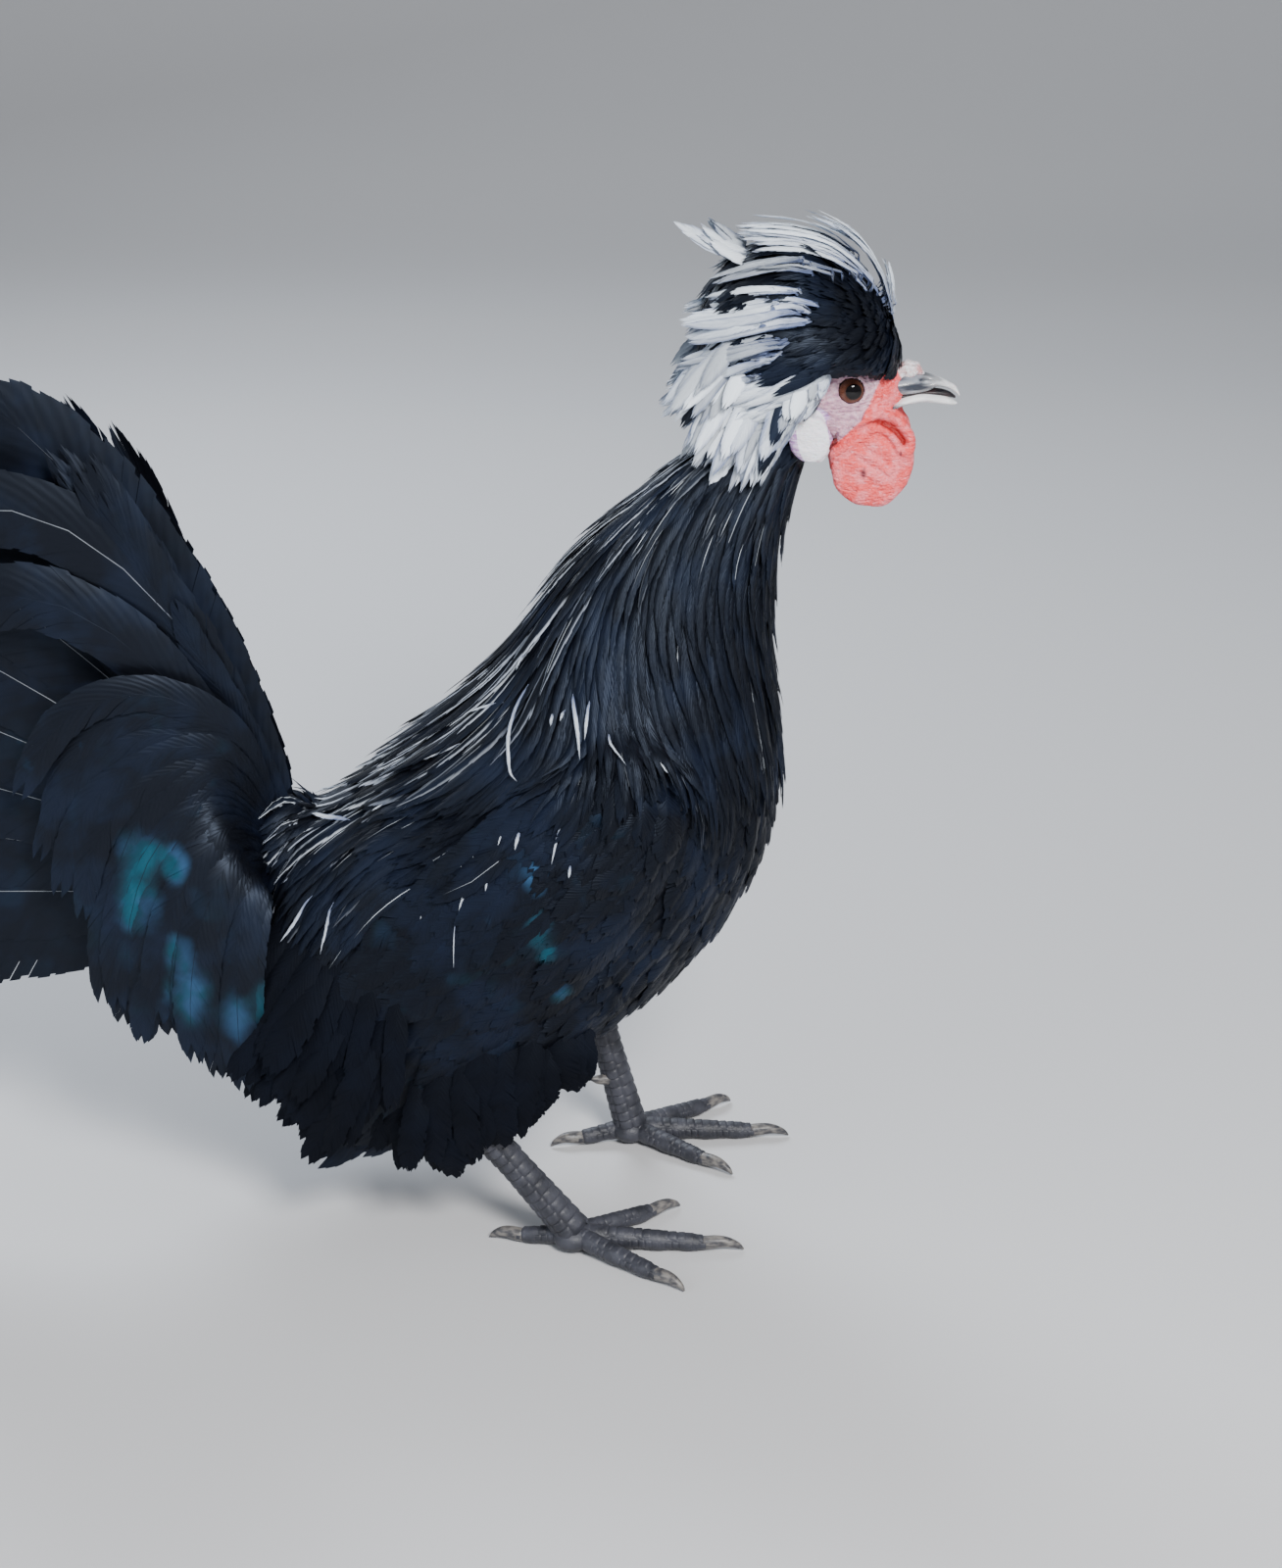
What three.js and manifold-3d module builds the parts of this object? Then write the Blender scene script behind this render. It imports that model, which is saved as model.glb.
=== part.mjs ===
// A crested cockerel standing on both feet, life size, in millimetres.
// +X runs from the tail to the beak, +Y to the bird's left, +Z up, with the floor at Z = 0.
// The right half is described, and mirrored for the left where the two match.
import * as THREE from "three";
import { mergeVertices } from "three/addons/utils/BufferGeometryUtils.js";
import Module from "manifold-3d";

const wasm = await Module();
wasm.setup();

// Clearance that touching pieces keep
const GAP = 0.3;
// Detail finer than this is left out where pieces cross
const FINE = 0.06;
const SIDES = { right: -1, left: 1 };
const rad = THREE.MathUtils.degToRad;

// The trunk and neck, from the tail root to the skull. Each station has the places [x, z] of
// its back and belly in the middle plane, and half its width.
const TRUNK = [
  { back: [-151, 168], belly: [-151, 148], half: 10 },
  { back: [-142, 178], belly: [-151, 119], half: 32 },
  { back: [-124, 189], belly: [-134, 91], half: 47 },
  { back: [-102, 206], belly: [-104, 73], half: 57 },
  { back: [-80, 225], belly: [-70, 67], half: 62 },
  { back: [-62, 243], belly: [-36, 75], half: 64 },
  { back: [-50, 258], belly: [-4, 95], half: 64 },
  { back: [-41, 272], belly: [25, 123], half: 60 },
  { back: [-33, 285], belly: [47, 157], half: 54 },
  { back: [-25, 296], belly: [56, 191], half: 47 },
  { back: [-15, 307], belly: [56, 224], half: 39 },
  { back: [-1, 320], belly: [53, 254], half: 32 },
  { back: [14, 334], belly: [54, 283], half: 26 },
  { back: [29, 346], belly: [58, 308], half: 21 },
  { back: [42, 357], belly: [65, 328], half: 17 },
  { back: [52, 366], belly: [75, 343], half: 14 },
];
const RUMP_END = 4; // the station where the rump parts from the trunk
const NECK_START = 10; // and the one where the neck does
const NECK_END = 15;

// The bare head, from the bill's root to the nape
const SKULL = [
  { back: [107, 369], belly: [106, 359], half: 5 },
  { back: [102, 376], belly: [101, 352], half: 9 },
  { back: [93, 384], belly: [93, 348], half: 12.5 },
  { back: [82, 390], belly: [82, 345], half: 15 },
  { back: [70, 392], belly: [72, 344], half: 16.5 },
  { back: [58, 388], belly: [60, 346], half: 15 },
  { back: [50, 380], belly: [52, 353], half: 9 },
];
const UPPER_BILL = [
  { back: [99, 372], belly: [99, 361.6], half: 7.6 },
  { back: [106, 372.4], belly: [106, 362.2], half: 7 },
  { back: [113, 371], belly: [113, 363], half: 5.6 },
  { back: [119, 368.4], belly: [119, 363], half: 4 },
  { back: [123.6, 365], belly: [123.2, 361.6], half: 2.3 },
  { back: [125.8, 361], belly: [125.2, 359.8], half: 0.8 },
];
const LOWER_BILL = [
  { back: [99, 361], belly: [99, 354.5], half: 7 },
  { back: [108, 361.6], belly: [108, 356], half: 5.6 },
  { back: [116, 360.8], belly: [116, 356.8], half: 4 },
  { back: [121.6, 359.6], belly: [121.6, 357.4], half: 2.3 },
  { back: [124.4, 359], belly: [124.4, 358.4], half: 0.8 },
];
const EYE = { x: 82, y: 11.2, z: 367, r: 6.6 };
const LID = { r: 6.1, tube: 1.2, y: 14.6 };
const NOSTRIL = { x: 110.5, y: 6.4, z: 368.4, r: 1.5 };
const EAR = { x: 67, y: 17, z: 361, r: 2.6 };
const EARLOBE = { x: 66, y: 16.5, z: 348.5, wide: 8.5, thick: 3.6, tall: 10.5, around: 11 };
const WATTLE = { x: 91, y: 11.5, z: 337.5, wide: 17, thick: 3, tall: 19, around: 13 };
const COMB = { x: 104, z: 373, bulbs: [[0, 0, 0, 4.6], [1.6, 3.2, 3, 2.9]] };

// The crest: a core on the skull's knob, and feathers that rise from it and fall to a dome
const CREST_CORE = { x: 70, z: 392, long: 29, wide: 24, tall: 23 };
const CREST_DOME = { x: 62, z: 385, front: 42, side: 36, back: 46, top: 46, fall: 17 };
const CREST_LEAN = rad(45); // its feathers part from a place this far forward of the top
const CREST_ROWS = [
  { count: 7, root: 14, tip: 54, from: 0, to: 309, wide: 17 },
  { count: 8, root: 44, tip: 86, from: 64, to: 296, wide: 18 },
  { count: 9, root: 72, tip: 116, from: 80, to: 280, wide: 18 },
  { count: 9, root: 100, tip: 146, from: 58, to: 302, wide: 18 },
  { count: 4, root: 124, tip: 170, from: 130, to: 230, wide: 17 },
  { count: 2, root: 52, tip: 92, from: 172, to: 188, wide: 10, reach: 19 },
];

// Neck hackles: rows from the nape down, each with the station of its roots and tips
const HACKLE_ROWS = [
  { root: 14.2, tip: 12.0, wide: 12, side: 4, lift: 6.5 },
  { root: 13.2, tip: 10.8, wide: 13, side: 4.5, lift: 7 },
  { root: 12.1, tip: 9.5, wide: 14.5, side: 5, lift: 7.5 },
  { root: 11.0, tip: 8.1, wide: 16, side: 5.5, lift: 8 },
];
const THROAT_RISE = 1.1; // stations by which the hackles of the throat end higher
const HACKLE_SPAN = rad(148); // from the nape to the last hackle of the throat
const SHOULDER_LIFT = 7; // more height for the hackles that fall over the wing

// Saddle hackles fall from the back over the rump's sides
const SADDLE_ROWS = [
  { root: 3.9, tip: 2.2, start: 10, end: 40, wide: 13, count: 4, lift: 6 },
  { root: 3.2, tip: 1.4, start: 12, end: 50, wide: 15, count: 3, lift: 6.5 },
  { root: 2.4, tip: 0.5, start: 10, end: 62, wide: 14, count: 3, lift: 7 },
];

// The closed wing lies in a plane of its own: s runs from the bend to the tip, t up its width
const WING_BEND = { x: 22, z: 196 };
const WING_TILT = rad(47);
const WING = [
  { s: -18, low: 22, high: 36, y: 57 },
  { s: 10, low: 0, high: 58, y: 66 },
  { s: 50, low: -6, high: 66, y: 70 },
  { s: 90, low: -4, high: 62, y: 69 },
  { s: 130, low: 4, high: 50, y: 63 },
  { s: 165, low: 12, high: 36, y: 55 },
];
const WING_THICK = 9;
const WING_ROUND = 80; // radius of its curve from edge to edge
// Tiers from the tip's long quills to the shoulder's scale-like coverts. Each runs from the
// upper edge to the lower one, with roots and tips at [s, t].
const WING_TIERS = [
  { flight: true, count: 3, root: [[112, 34], [90, 6]], tip: [[200, 38], [222, 12]], wide: 23, lift: [-3, 0.6] },
  { flight: true, count: 6, root: [[74, 56], [62, 4]], tip: [[168, 62], [204, 2]], wide: 27, lift: [-2, 3] },
  { count: 4, root: [[46, 52], [38, 4]], tip: [[108, 64], [114, -6]], wide: 26, lift: [-2, 5.5] },
  { count: 4, root: [[18, 50], [13, 6]], tip: [[76, 63], [80, -5]], wide: 24, lift: [-2, 6] },
  { count: 3, root: [[-4, 42], [-5, 20]], tip: [[42, 56], [44, 4]], wide: 23, lift: [-2, 6.5] },
];

// The tail: main feathers in a fan on each side, curved sickles, and coverts on their roots
const TAIL_BULB = { x: -150, z: 163, long: 20, wide: 21, tall: 29 };
const FAN = {
  count: 7,
  top: rad(66),
  low: rad(-8),
  back: rad(9), // how far a feather turns backwards along its length
  rootTop: [-148, 180],
  rootLow: [-156, 146],
  long: [212, 192],
  wide: 50,
  y: [4, 14],
};
const SICKLE = {
  path: [[-150, 5, 176], [-184, 17, 268], [-238, 22, 318], [-300, 22, 312], [-340, 20, 262]],
  wide: 30,
};
// Curved coverts of one side, as the places of root, shoulder, fall and tip
const TAIL_COVERTS = [
  { path: [[-153, 8, 178], [-176, 28, 206], [-202, 36, 190], [-219, 40, 154], [-223, 40, 106]], wide: 17 },
  { path: [[-154, 10, 174], [-172, 32, 192], [-190, 41, 172], [-202, 45, 142], [-206, 45, 102]], wide: 17 },
  { path: [[-155, 12, 168], [-166, 36, 176], [-178, 46, 152], [-184, 50, 122], [-186, 49, 88]], wide: 16 },
  { path: [[-154, 12, 160], [-158, 38, 160], [-164, 49, 134], [-168, 52, 106], [-170, 50, 74]], wide: 16 },
  { path: [[-152, 7, 182], [-166, 22, 226], [-198, 29, 246], [-232, 32, 236], [-254, 32, 202]], wide: 19 },
  { path: [[-156, 12, 156], [-178, 32, 160], [-204, 38, 146], [-226, 40, 122], [-240, 39, 92]], wide: 18 },
];

// Legs
const HIP = { x: -24, y: 32, z: 132, r: 27, knee: 20, end: 9 };
const HOCK = { right: [-86, 47, 76], left: [-26, 47, 92] };
const ANKLE = { right: [-31, 47, 9], left: [-5, 47, 9] };
const SHANK = { top: 8, middle: 6.3, low: 7.6, scutes: 8, raise: 0.14 };
const PAD = { wide: 9, tall: 8, z: 6 };
const SPUR = { at: 0.68, long: 7, r: 3.2 };
const TOES = [
  { name: "hallux", turn: 192, long: 25, r: 4.2, claw: 12, scutes: 2 },
  { name: "inner", turn: -36, long: 43, r: 4.6, claw: 14, scutes: 3 },
  { name: "middle", turn: 2, long: 58, r: 4.9, claw: 15, scutes: 4 },
  { name: "outer", turn: 37, long: 46, r: 4.6, claw: 13, scutes: 3 },
];
const TOE_RAISE = 0.14;

// Thickness of feather blades at the shaft
const BLADE = 0.8;
const FLIGHT_BLADE = 1;

const V = (x, y, z) => new THREE.Vector3(x, y, z);
const mix = THREE.MathUtils.lerp;

/** A repeatable number from -1 to 1 for each key. */
const vary = (key) => 2 * ((Math.abs(Math.sin(key * 12.9898) * 43758.5453)) % 1) - 1;

/** The closed body of an indexed set of points, with its faces turned outwards. */
function closed(points, faces) {
  const mesh = (list) =>
    new wasm.Manifold(
      new wasm.Mesh({
        numProp: 3,
        vertProperties: new Float32Array(points.flatMap((p) => [p.x, p.y, p.z])),
        triVerts: new Uint32Array(list),
      }),
    );
  const made = mesh(faces);
  if (made.volume() >= 0) return made;
  return mesh(faces.toReversed());
}

/** The closed body of a ready-made shape. */
function solidOf(geometry) {
  const g = geometry.clone();
  g.deleteAttribute("normal");
  g.deleteAttribute("uv");
  const merged = mergeVertices(g, 1e-4);
  const places = merged.attributes.position;
  const points = Array.from({ length: places.count }, (_, i) => V().fromBufferAttribute(places, i));
  return closed(points, Array.from(merged.index.array));
}

/** Skins a list of equal rings, closed at both ends. */
function skin(rings) {
  const n = rings[0].length;
  const points = rings.flat();
  const faces = [];
  for (let i = 0; i + 1 < rings.length; i++) {
    for (let j = 0; j < n; j++) {
      const k = (j + 1) % n;
      const [a, b, c, d] = [i * n + j, i * n + k, (i + 1) * n + j, (i + 1) * n + k];
      faces.push(a, b, d, a, d, c);
    }
  }
  const last = (rings.length - 1) * n;
  for (let j = 1; j + 1 < n; j++) {
    faces.push(0, j + 1, j);
    faces.push(last, last + j, last + j + 1);
  }
  return closed(points, faces);
}

/** A smooth number between the entries of a list. */
function along(list, u) {
  const last = list.length - 1;
  const i = Math.max(0, Math.min(last - 1, Math.floor(u)));
  const t = u - i;
  const [b, c] = [list[i], list[i + 1]];
  const a = i > 0 ? list[i - 1] : 2 * b - c;
  const d = i + 2 <= last ? list[i + 2] : 2 * c - b;
  return b + 0.5 * t * (c - a + t * (2 * a - 5 * b + 4 * c - d + t * (3 * (b - c) + d - a)));
}

/** A body of oval sections between a back line and a belly line. */
class Loft {
  constructor(stations) {
    this.end = stations.length - 1;
    this.lists = [
      stations.map((s) => s.back[0]),
      stations.map((s) => s.back[1]),
      stations.map((s) => s.belly[0]),
      stations.map((s) => s.belly[1]),
      stations.map((s) => s.half),
    ];
  }

  /** The surface point at station u, with angle 0 on the back and positive to the left. */
  point(u, angle) {
    const [bx, bz, vx, vz, half] = this.lists.map((l) => along(l, u));
    const c = Math.cos(angle) / 2;
    return V((bx + vx) / 2 + (bx - vx) * c, half * Math.sin(angle), (bz + vz) / 2 + (bz - vz) * c);
  }

  centre(u) {
    return this.point(u, 0).add(this.point(u, Math.PI)).multiplyScalar(0.5);
  }

  /** The outward normal at station u. */
  normal(u, angle) {
    const e = 1e-3;
    const du = this.point(u + e, angle).sub(this.point(u - e, angle));
    const da = this.point(u, angle + e).sub(this.point(u, angle - e));
    const n = du.cross(da).normalize();
    return n.dot(this.point(u, angle).sub(this.centre(u))) < 0 ? n.negate() : n;
  }

  /** The solid between two stations, with its ends moved along by the growth too. */
  solid(from, to, rings, sides, grow = 0) {
    const list = [];
    for (let i = 0; i <= rings; i++) {
      const u = mix(from, to, i / rings);
      const end = (i === rings) - (i === 0);
      const way = this.centre(u + 0.01).sub(this.centre(u - 0.01)).normalize();
      const ring = [];
      for (let j = 0; j < sides; j++) {
        const a = (2 * Math.PI * j) / sides;
        const p = this.point(u, a).addScaledVector(this.normal(u, a), grow);
        ring.push(p.addScaledVector(way, end * grow));
      }
      list.push(ring);
    }
    return skin(list);
  }
}

/** A tapered bar along a curve. The radius depends on the place along it and round it. */
function bar(points, radius, steps, sides, grow = 0) {
  const curve = new THREE.CatmullRomCurve3(points);
  const rings = steps.map((t, i) => {
    const end = (i === steps.length - 1) - (i === 0);
    const way = curve.getTangent(t);
    const side = V(0, 0, 1).cross(way).normalize();
    const up = way.clone().cross(side).normalize();
    const middle = curve.getPoint(t).addScaledVector(way, end * grow);
    return Array.from({ length: sides }, (_, j) => {
      const a = (2 * Math.PI * j) / sides;
      const r = radius(t, Math.sin(a), i) + grow;
      return middle.clone().addScaledVector(side, Math.cos(a) * r).addScaledVector(up, Math.sin(a) * r);
    });
  });
  return skin(rings);
}

/** Evenly spaced places from 0 to 1. */
const even = (count) => Array.from({ length: count + 1 }, (_, i) => i / count);

/** Places for plates that each rise to their far edge and drop to the next. */
function plated(count) {
  const steps = [0];
  for (let k = 0; k < count; k++) {
    if (k > 0) steps.push((k + 0.12) / count);
    steps.push((k + 1) / count);
  }
  return steps;
}

/** How far a ring of a plated bar is raised on its upper side. */
const raised = (i, up, amount) => (i % 2 === 1 ? 1 + amount * Math.sqrt(Math.max(0, up)) : 1);

/** An oval ball. */
function ball(centre, radii, around = 16, rows = 10, grow = 0) {
  const g = new THREE.SphereGeometry(1, around, rows);
  g.rotateX(Math.PI / 2);
  g.scale(radii[0] + grow, radii[1] + grow, radii[2] + grow);
  g.translate(...centre);
  return solidOf(g);
}

/** A box between two corners. */
function block(low, high) {
  const size = high.map((v, i) => v - low[i]);
  const g = new THREE.BoxGeometry(...size);
  g.translate(...low.map((v, i) => v + size[i] / 2));
  return solidOf(g);
}

/** The largest closed body of a solid. */
const largest = (solid) => solid.decompose().sort((a, b) => b.volume() - a.volume())[0];

/** The solid for one side, from the one made for the right. */
const onSide = (solid, side) => (side > 0 ? solid.mirror([0, 1, 0]) : solid);

/**
 * A feather as one closed blade. Its rows hold the shaft's place p, the outward direction out
 * and the width w. Both of its faces are split alike.
 */
function blade(rows, { thick = BLADE, roll = 0 }, grow = 0) {
  const last = rows.length - 1;
  const top = [];
  const low = [];
  rows.forEach(({ p, out, w }, i) => {
    const way = rows[Math.min(last, i + 1)].p.clone().sub(rows[Math.max(0, i - 1)].p).normalize();
    const up = out.clone().addScaledVector(way, -out.dot(way)).normalize().applyAxisAngle(way, roll);
    const across = way.clone().cross(up);
    const end = (i === last) - (i === 0);
    const half = thick * (1 - 0.4 * (i / last)) * 0.5 + grow;
    for (const f of [-1, 1]) {
      const q = p.clone().addScaledVector(across, f * (w / 2 + grow)).addScaledVector(way, end * grow);
      top.push(q.clone().addScaledVector(up, half));
      low.push(q.addScaledVector(up, -half));
    }
  });
  const under = top.length;
  const faces = [];
  const quad = (a, b, c, d) => faces.push(a, b, c, a, c, d);
  for (let i = 0; i < last; i++) {
    const [a, b, d, e] = [2 * i, 2 * i + 1, 2 * i + 2, 2 * i + 3];
    quad(a, b, e, d);
    faces.push(under + a, under + e, under + b, under + a, under + d, under + e);
    quad(a, d, under + d, under + a);
    quad(e, b, under + b, under + e);
  }
  const [d, e] = [2 * last, 2 * last + 1];
  quad(1, 0, under, under + 1);
  quad(d, e, under + e, under + d);
  return closed([...top, ...low], faces);
}

// Outlines of a blade: shares of its length, each with the share of its greatest width there
const LANCE = [[0, 0.14], [0.34, 1], [0.7, 0.82], [1, 0.12]];
const ROUND = [[0, 0.12], [0.34, 0.9], [0.8, 1], [1, 0.45]];
const QUILL = [[0, 0.14], [0.3, 0.66], [0.68, 1], [0.92, 0.96], [1, 0.5]];
const SWORD = [[0, 0.14], [0.22, 0.85], [0.45, 1], [0.72, 0.9], [1, 0.14]];
const SICKLE_EDGE = [[0, 0.14], [0.16, 0.7], [0.34, 1], [0.52, 1], [0.7, 0.95], [0.86, 0.7], [1, 0.14]];

/** The rows of a blade from a place and an outward direction at each share of its length. */
const rowsOf = (outline, wide, at) => outline.map(([t, share]) => ({ ...at(t), w: share * wide }));

const trunkLoft = new Loft(TRUNK);
const skullLoft = new Loft(SKULL);
const torso = (grow) => trunkLoft.solid(RUMP_END + 0.012, NECK_START, 8, 18, grow);
const rumpCore = (grow) => trunkLoft.solid(0, RUMP_END, 5, 18, grow);
const neckCore = (grow) => trunkLoft.solid(NECK_START + 0.012, NECK_END, 6, 14, grow);

/** A hackle that lies along the trunk's surface and rises from it to its tip. */
function lyingFeather({ root, tip, start, end, lift, extra = 0, wide, roll }, grow) {
  const at = (t) => {
    const u = mix(root, tip, t);
    const a = mix(start, end, t);
    const out = trunkLoft.normal(u, a);
    const height = lift * t + extra * t - 2.4 * (1 - t) ** 4;
    return { p: trunkLoft.point(u, a).addScaledVector(out, height), out };
  };
  return blade(rowsOf(LANCE, wide, at), { roll }, grow);
}

/** The neck with its hackles. */
function neck(grow = 0) {
  const parts = [neckCore(grow)];
  HACKLE_ROWS.forEach((row, r) => {
    const count = Math.ceil(row.side);
    const shift = row.side === count ? 0 : 0.5;
    for (let k = 0; k <= count; k++) {
      const share = (k - shift) / (Math.floor(row.side) + 0.3);
      if (share < 0) continue;
      for (const side of k - shift === 0 ? [0] : [-1, 1]) {
        const key = r * 31 + k * 2 + (side > 0);
        const a = side * HACKLE_SPAN * share ** 1.15;
        const beside = Math.exp(-(((Math.abs(a) - rad(88)) / rad(34)) ** 2));
        const feather = {
          root: row.root + 0.08 * vary(key),
          tip: row.tip + 0.12 * vary(key + 7) + THROAT_RISE * share ** 2,
          start: a,
          end: a * (1 + 0.03 * vary(key + 3)),
          lift: row.lift + 0.3 * vary(key + 5),
          extra: SHOULDER_LIFT * beside * (r / (HACKLE_ROWS.length - 1)) ** 1.5,
          wide: row.wide * (1 + 0.08 * vary(key + 9)),
          roll: -side * rad(10),
        };
        parts.push(lyingFeather(feather, grow));
      }
    }
  });
  return wasm.Manifold.union(parts);
}

/** The rump with its saddle hackles. */
function rump(grow = 0) {
  const parts = [rumpCore(grow)];
  SADDLE_ROWS.forEach((row, r) => {
    for (const side of [-1, 1]) {
      for (let k = 0; k < row.count; k++) {
        const key = 400 + r * 23 + k * 2 + (side > 0);
        const share = (k + 0.35 + 0.3 * (r % 2)) / row.count;
        const a = rad(mix(row.start, row.start + 62, share)) * side;
        const feather = {
          root: row.root - 0.4 * share + 0.08 * vary(key),
          tip: row.tip - 0.3 * share + 0.12 * vary(key + 7),
          start: a,
          end: a + side * rad((row.end - row.start) * (0.45 + 0.4 * share)),
          lift: row.lift + 0.5 * vary(key + 5),
          wide: row.wide * (1 + 0.08 * vary(key + 9)),
          roll: -side * rad(7),
        };
        parts.push(lyingFeather(feather, grow));
      }
    }
  });
  return wasm.Manifold.union(parts);
}

/** How far the crest's feathers reach in a direction. */
function domeReach(way) {
  const level = Math.hypot(way.x, way.y) + 1e-6;
  const ahead = way.x / level;
  const { front, side, back, top, fall } = CREST_DOME;
  const flat = side + ((ahead > 0 ? front : back) - side) * ahead * ahead;
  const up = Math.max(0, way.z) ** 2;
  const down = Math.acos(way.z);
  return mix(flat, top, up) + fall * Math.max(0, (down - rad(100)) / rad(40)) * Math.max(0, -ahead);
}

/** A direction at an angle from the crest's parting, and round it from the bill's side. */
const crestWay = (far, round) =>
  V(Math.sin(far) * Math.cos(round), Math.sin(far) * Math.sin(round), Math.cos(far)).applyAxisAngle(
    V(0, 1, 0),
    CREST_LEAN,
  );

/** The crest, feather by feather on its core. */
function crest(grow = 0) {
  const { x, z, long, wide: broad, tall } = CREST_CORE;
  const core = V(x, 0, z);
  const dome = V(CREST_DOME.x, 0, CREST_DOME.z);
  const parts = [ball([x, 0, z], [long, broad, tall], 10, 7, grow)];
  CREST_ROWS.forEach((row, r) => {
    for (let k = 0; k < row.count; k++) {
      const key = 900 + r * 41 + k;
      const round = rad(mix(row.from, row.to, k / (row.count - 1)) + 3 * vary(key));
      const [a, b] = [rad(row.root + 3 * vary(key + 2)), rad(row.tip + 4 * vary(key + 4))];
      const start = crestWay(a, round).multiply(V(long, broad, tall)).multiplyScalar(0.72).add(core);
      const reach = domeReach(crestWay(b, round)) + (row.reach ?? 0) + 1.5 * vary(key + 6);
      const tip = dome.clone().addScaledVector(crestWay(b, round), reach);
      const middle = crestWay((a + b) / 2, round);
      const crown = dome.clone().addScaledVector(middle, domeReach(middle) * 1.1);
      const curve = new THREE.QuadraticBezierCurve3(start, crown, tip);
      const at = (t) => {
        const p = curve.getPoint(t);
        return { p, out: p.clone().sub(dome).normalize() };
      };
      const wide = row.wide * (1 + 0.08 * vary(key + 8));
      parts.push(blade(rowsOf(ROUND, wide, at), { roll: rad(9) }, grow));
    }
  });
  return wasm.Manifold.union(parts);
}

/** The place in the wing's list of stations for a distance from the bend. */
function wingStation(s) {
  const next = WING.findIndex((w) => s < w.s);
  const i = Math.max(0, (next < 0 ? WING.length : next) - 1);
  const j = Math.min(i, WING.length - 2);
  return j + (s - WING[j].s) / (WING[j + 1].s - WING[j].s);
}

/** A place on the right wing's outer face, or above it. */
function wingPoint(s, t, lift = 0) {
  const [c, d] = [Math.cos(WING_TILT), Math.sin(WING_TILT)];
  const u = wingStation(s);
  const [low, high, y] = ["low", "high", "y"].map((key) => along(WING.map((w) => w[key]), u));
  const bend = y - (t - (low + high) / 2) ** 2 / (2 * WING_ROUND);
  return V(WING_BEND.x - c * s - d * t, -bend - lift, WING_BEND.z - d * s + c * t);
}

/** The right wing's board, on which the feathers are set. */
function wingCore(grow) {
  const steps = 5;
  const across = 4;
  const lows = WING.map((w) => w.low);
  const highs = WING.map((w) => w.high);
  const rings = even(steps).map((share, i) => {
    const end = (i === steps) - (i === 0);
    const s = mix(WING[0].s, WING[WING.length - 1].s, share);
    const u = wingStation(s);
    const edge = (k) => mix(along(lows, u) - grow, along(highs, u) + grow, k / across);
    const outer = even(across).map((_, k) => wingPoint(s + end * grow, edge(k), grow));
    const deep = (k) => WING_THICK * (1 - 0.5 * share) * (0.35 + 0.65 * Math.sin((Math.PI * k) / across));
    const inner = even(across).map((_, k) => wingPoint(s + end * grow, edge(k), -deep(k) - grow));
    return [...outer, ...inner.reverse()];
  });
  return skin(rings);
}

/** A wing with its tiers of feathers. */
function wing(side, grow = 0) {
  const parts = [wingCore(grow)];
  WING_TIERS.forEach((tier, r) => {
    for (let k = 0; k < tier.count; k++) {
      const key = 1500 + r * 37 + k + (side > 0 ? 300 : 0);
      const share = k / (tier.count - 1);
      const [root, tip] = [tier.root, tier.tip].map(([up, down]) => [
        mix(up[0], down[0], share),
        mix(up[1], down[1], share),
      ]);
      const long = 2.5 * vary(key);
      const at = (t) => {
        const s = mix(root[0], tip[0] + long, t);
        const drop = 7 * Math.sin(Math.PI * t) * (tier.flight ? 1 : 0.4);
        const u = mix(root[1], tip[1], t) - drop;
        const lift = mix(tier.lift[0], tier.lift[1], Math.sqrt(t));
        const p = wingPoint(s, u, lift);
        const out = wingPoint(s, u + 1, lift).sub(p).cross(wingPoint(s + 1, u, lift).sub(p));
        return { p, out: out.y > 0 ? out.negate() : out };
      };
      const widths = tier.flight ? QUILL : ROUND;
      const shape = tier.flight ? { thick: FLIGHT_BLADE, roll: rad(7) } : { roll: rad(8) };
      parts.push(blade(rowsOf(widths, tier.wide * (1 + 0.05 * vary(key + 5)), at), shape, grow));
    }
  });
  return onSide(wasm.Manifold.union(parts), side);
}

/** A feather along a smooth path, its face turned to the right side. */
function pathFeather(path, widths, wide, shape, grow) {
  const curve = new THREE.CatmullRomCurve3(path.map(([x, y, z]) => V(x, -y, z)));
  const at = (t) => ({ p: curve.getPoint(t), out: V(0, -1, 0.12) });
  return blade(rowsOf(widths, wide, at), shape, grow);
}

/** The tail, with both sides of its fan, the sickles and the coverts. */
function tail(grow = 0) {
  const { x, z, long, wide, tall } = TAIL_BULB;
  const parts = [ball([x, 0, z], [long, wide, tall], 10, 8, grow)];
  for (const side of [-1, 1]) {
    const half = [];
    for (let k = 0; k < FAN.count; k++) {
      const key = 2200 + k + (side > 0 ? 50 : 0);
      const share = k / (FAN.count - 1);
      const angle = mix(FAN.top, FAN.low, share) + rad(1.2) * vary(key);
      const reach = mix(FAN.long[0], FAN.long[1], share) + 4 * vary(key + 3);
      const root = FAN.rootTop.map((v, i) => mix(v, FAN.rootLow[i], share));
      const path = even(4).map((t) => {
        const a = angle - FAN.back * (1 - share) * t * t;
        const spread = mix(FAN.y[0], FAN.y[1], share) * mix(0.8, 1, t);
        return [root[0] - Math.cos(a) * reach * t, spread, root[1] + Math.sin(a) * reach * t];
      });
      half.push(pathFeather(path, QUILL, FAN.wide, { thick: FLIGHT_BLADE, roll: rad(8) }, grow));
    }
    half.push(pathFeather(SICKLE.path, SICKLE_EDGE, SICKLE.wide, { thick: FLIGHT_BLADE }, grow));
    for (const covert of TAIL_COVERTS) {
      half.push(pathFeather(covert.path, SWORD, covert.wide, { roll: rad(10) }, grow));
    }
    parts.push(...half.map((f) => onSide(f, side)));
  }
  return wasm.Manifold.union(parts);
}

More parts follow.
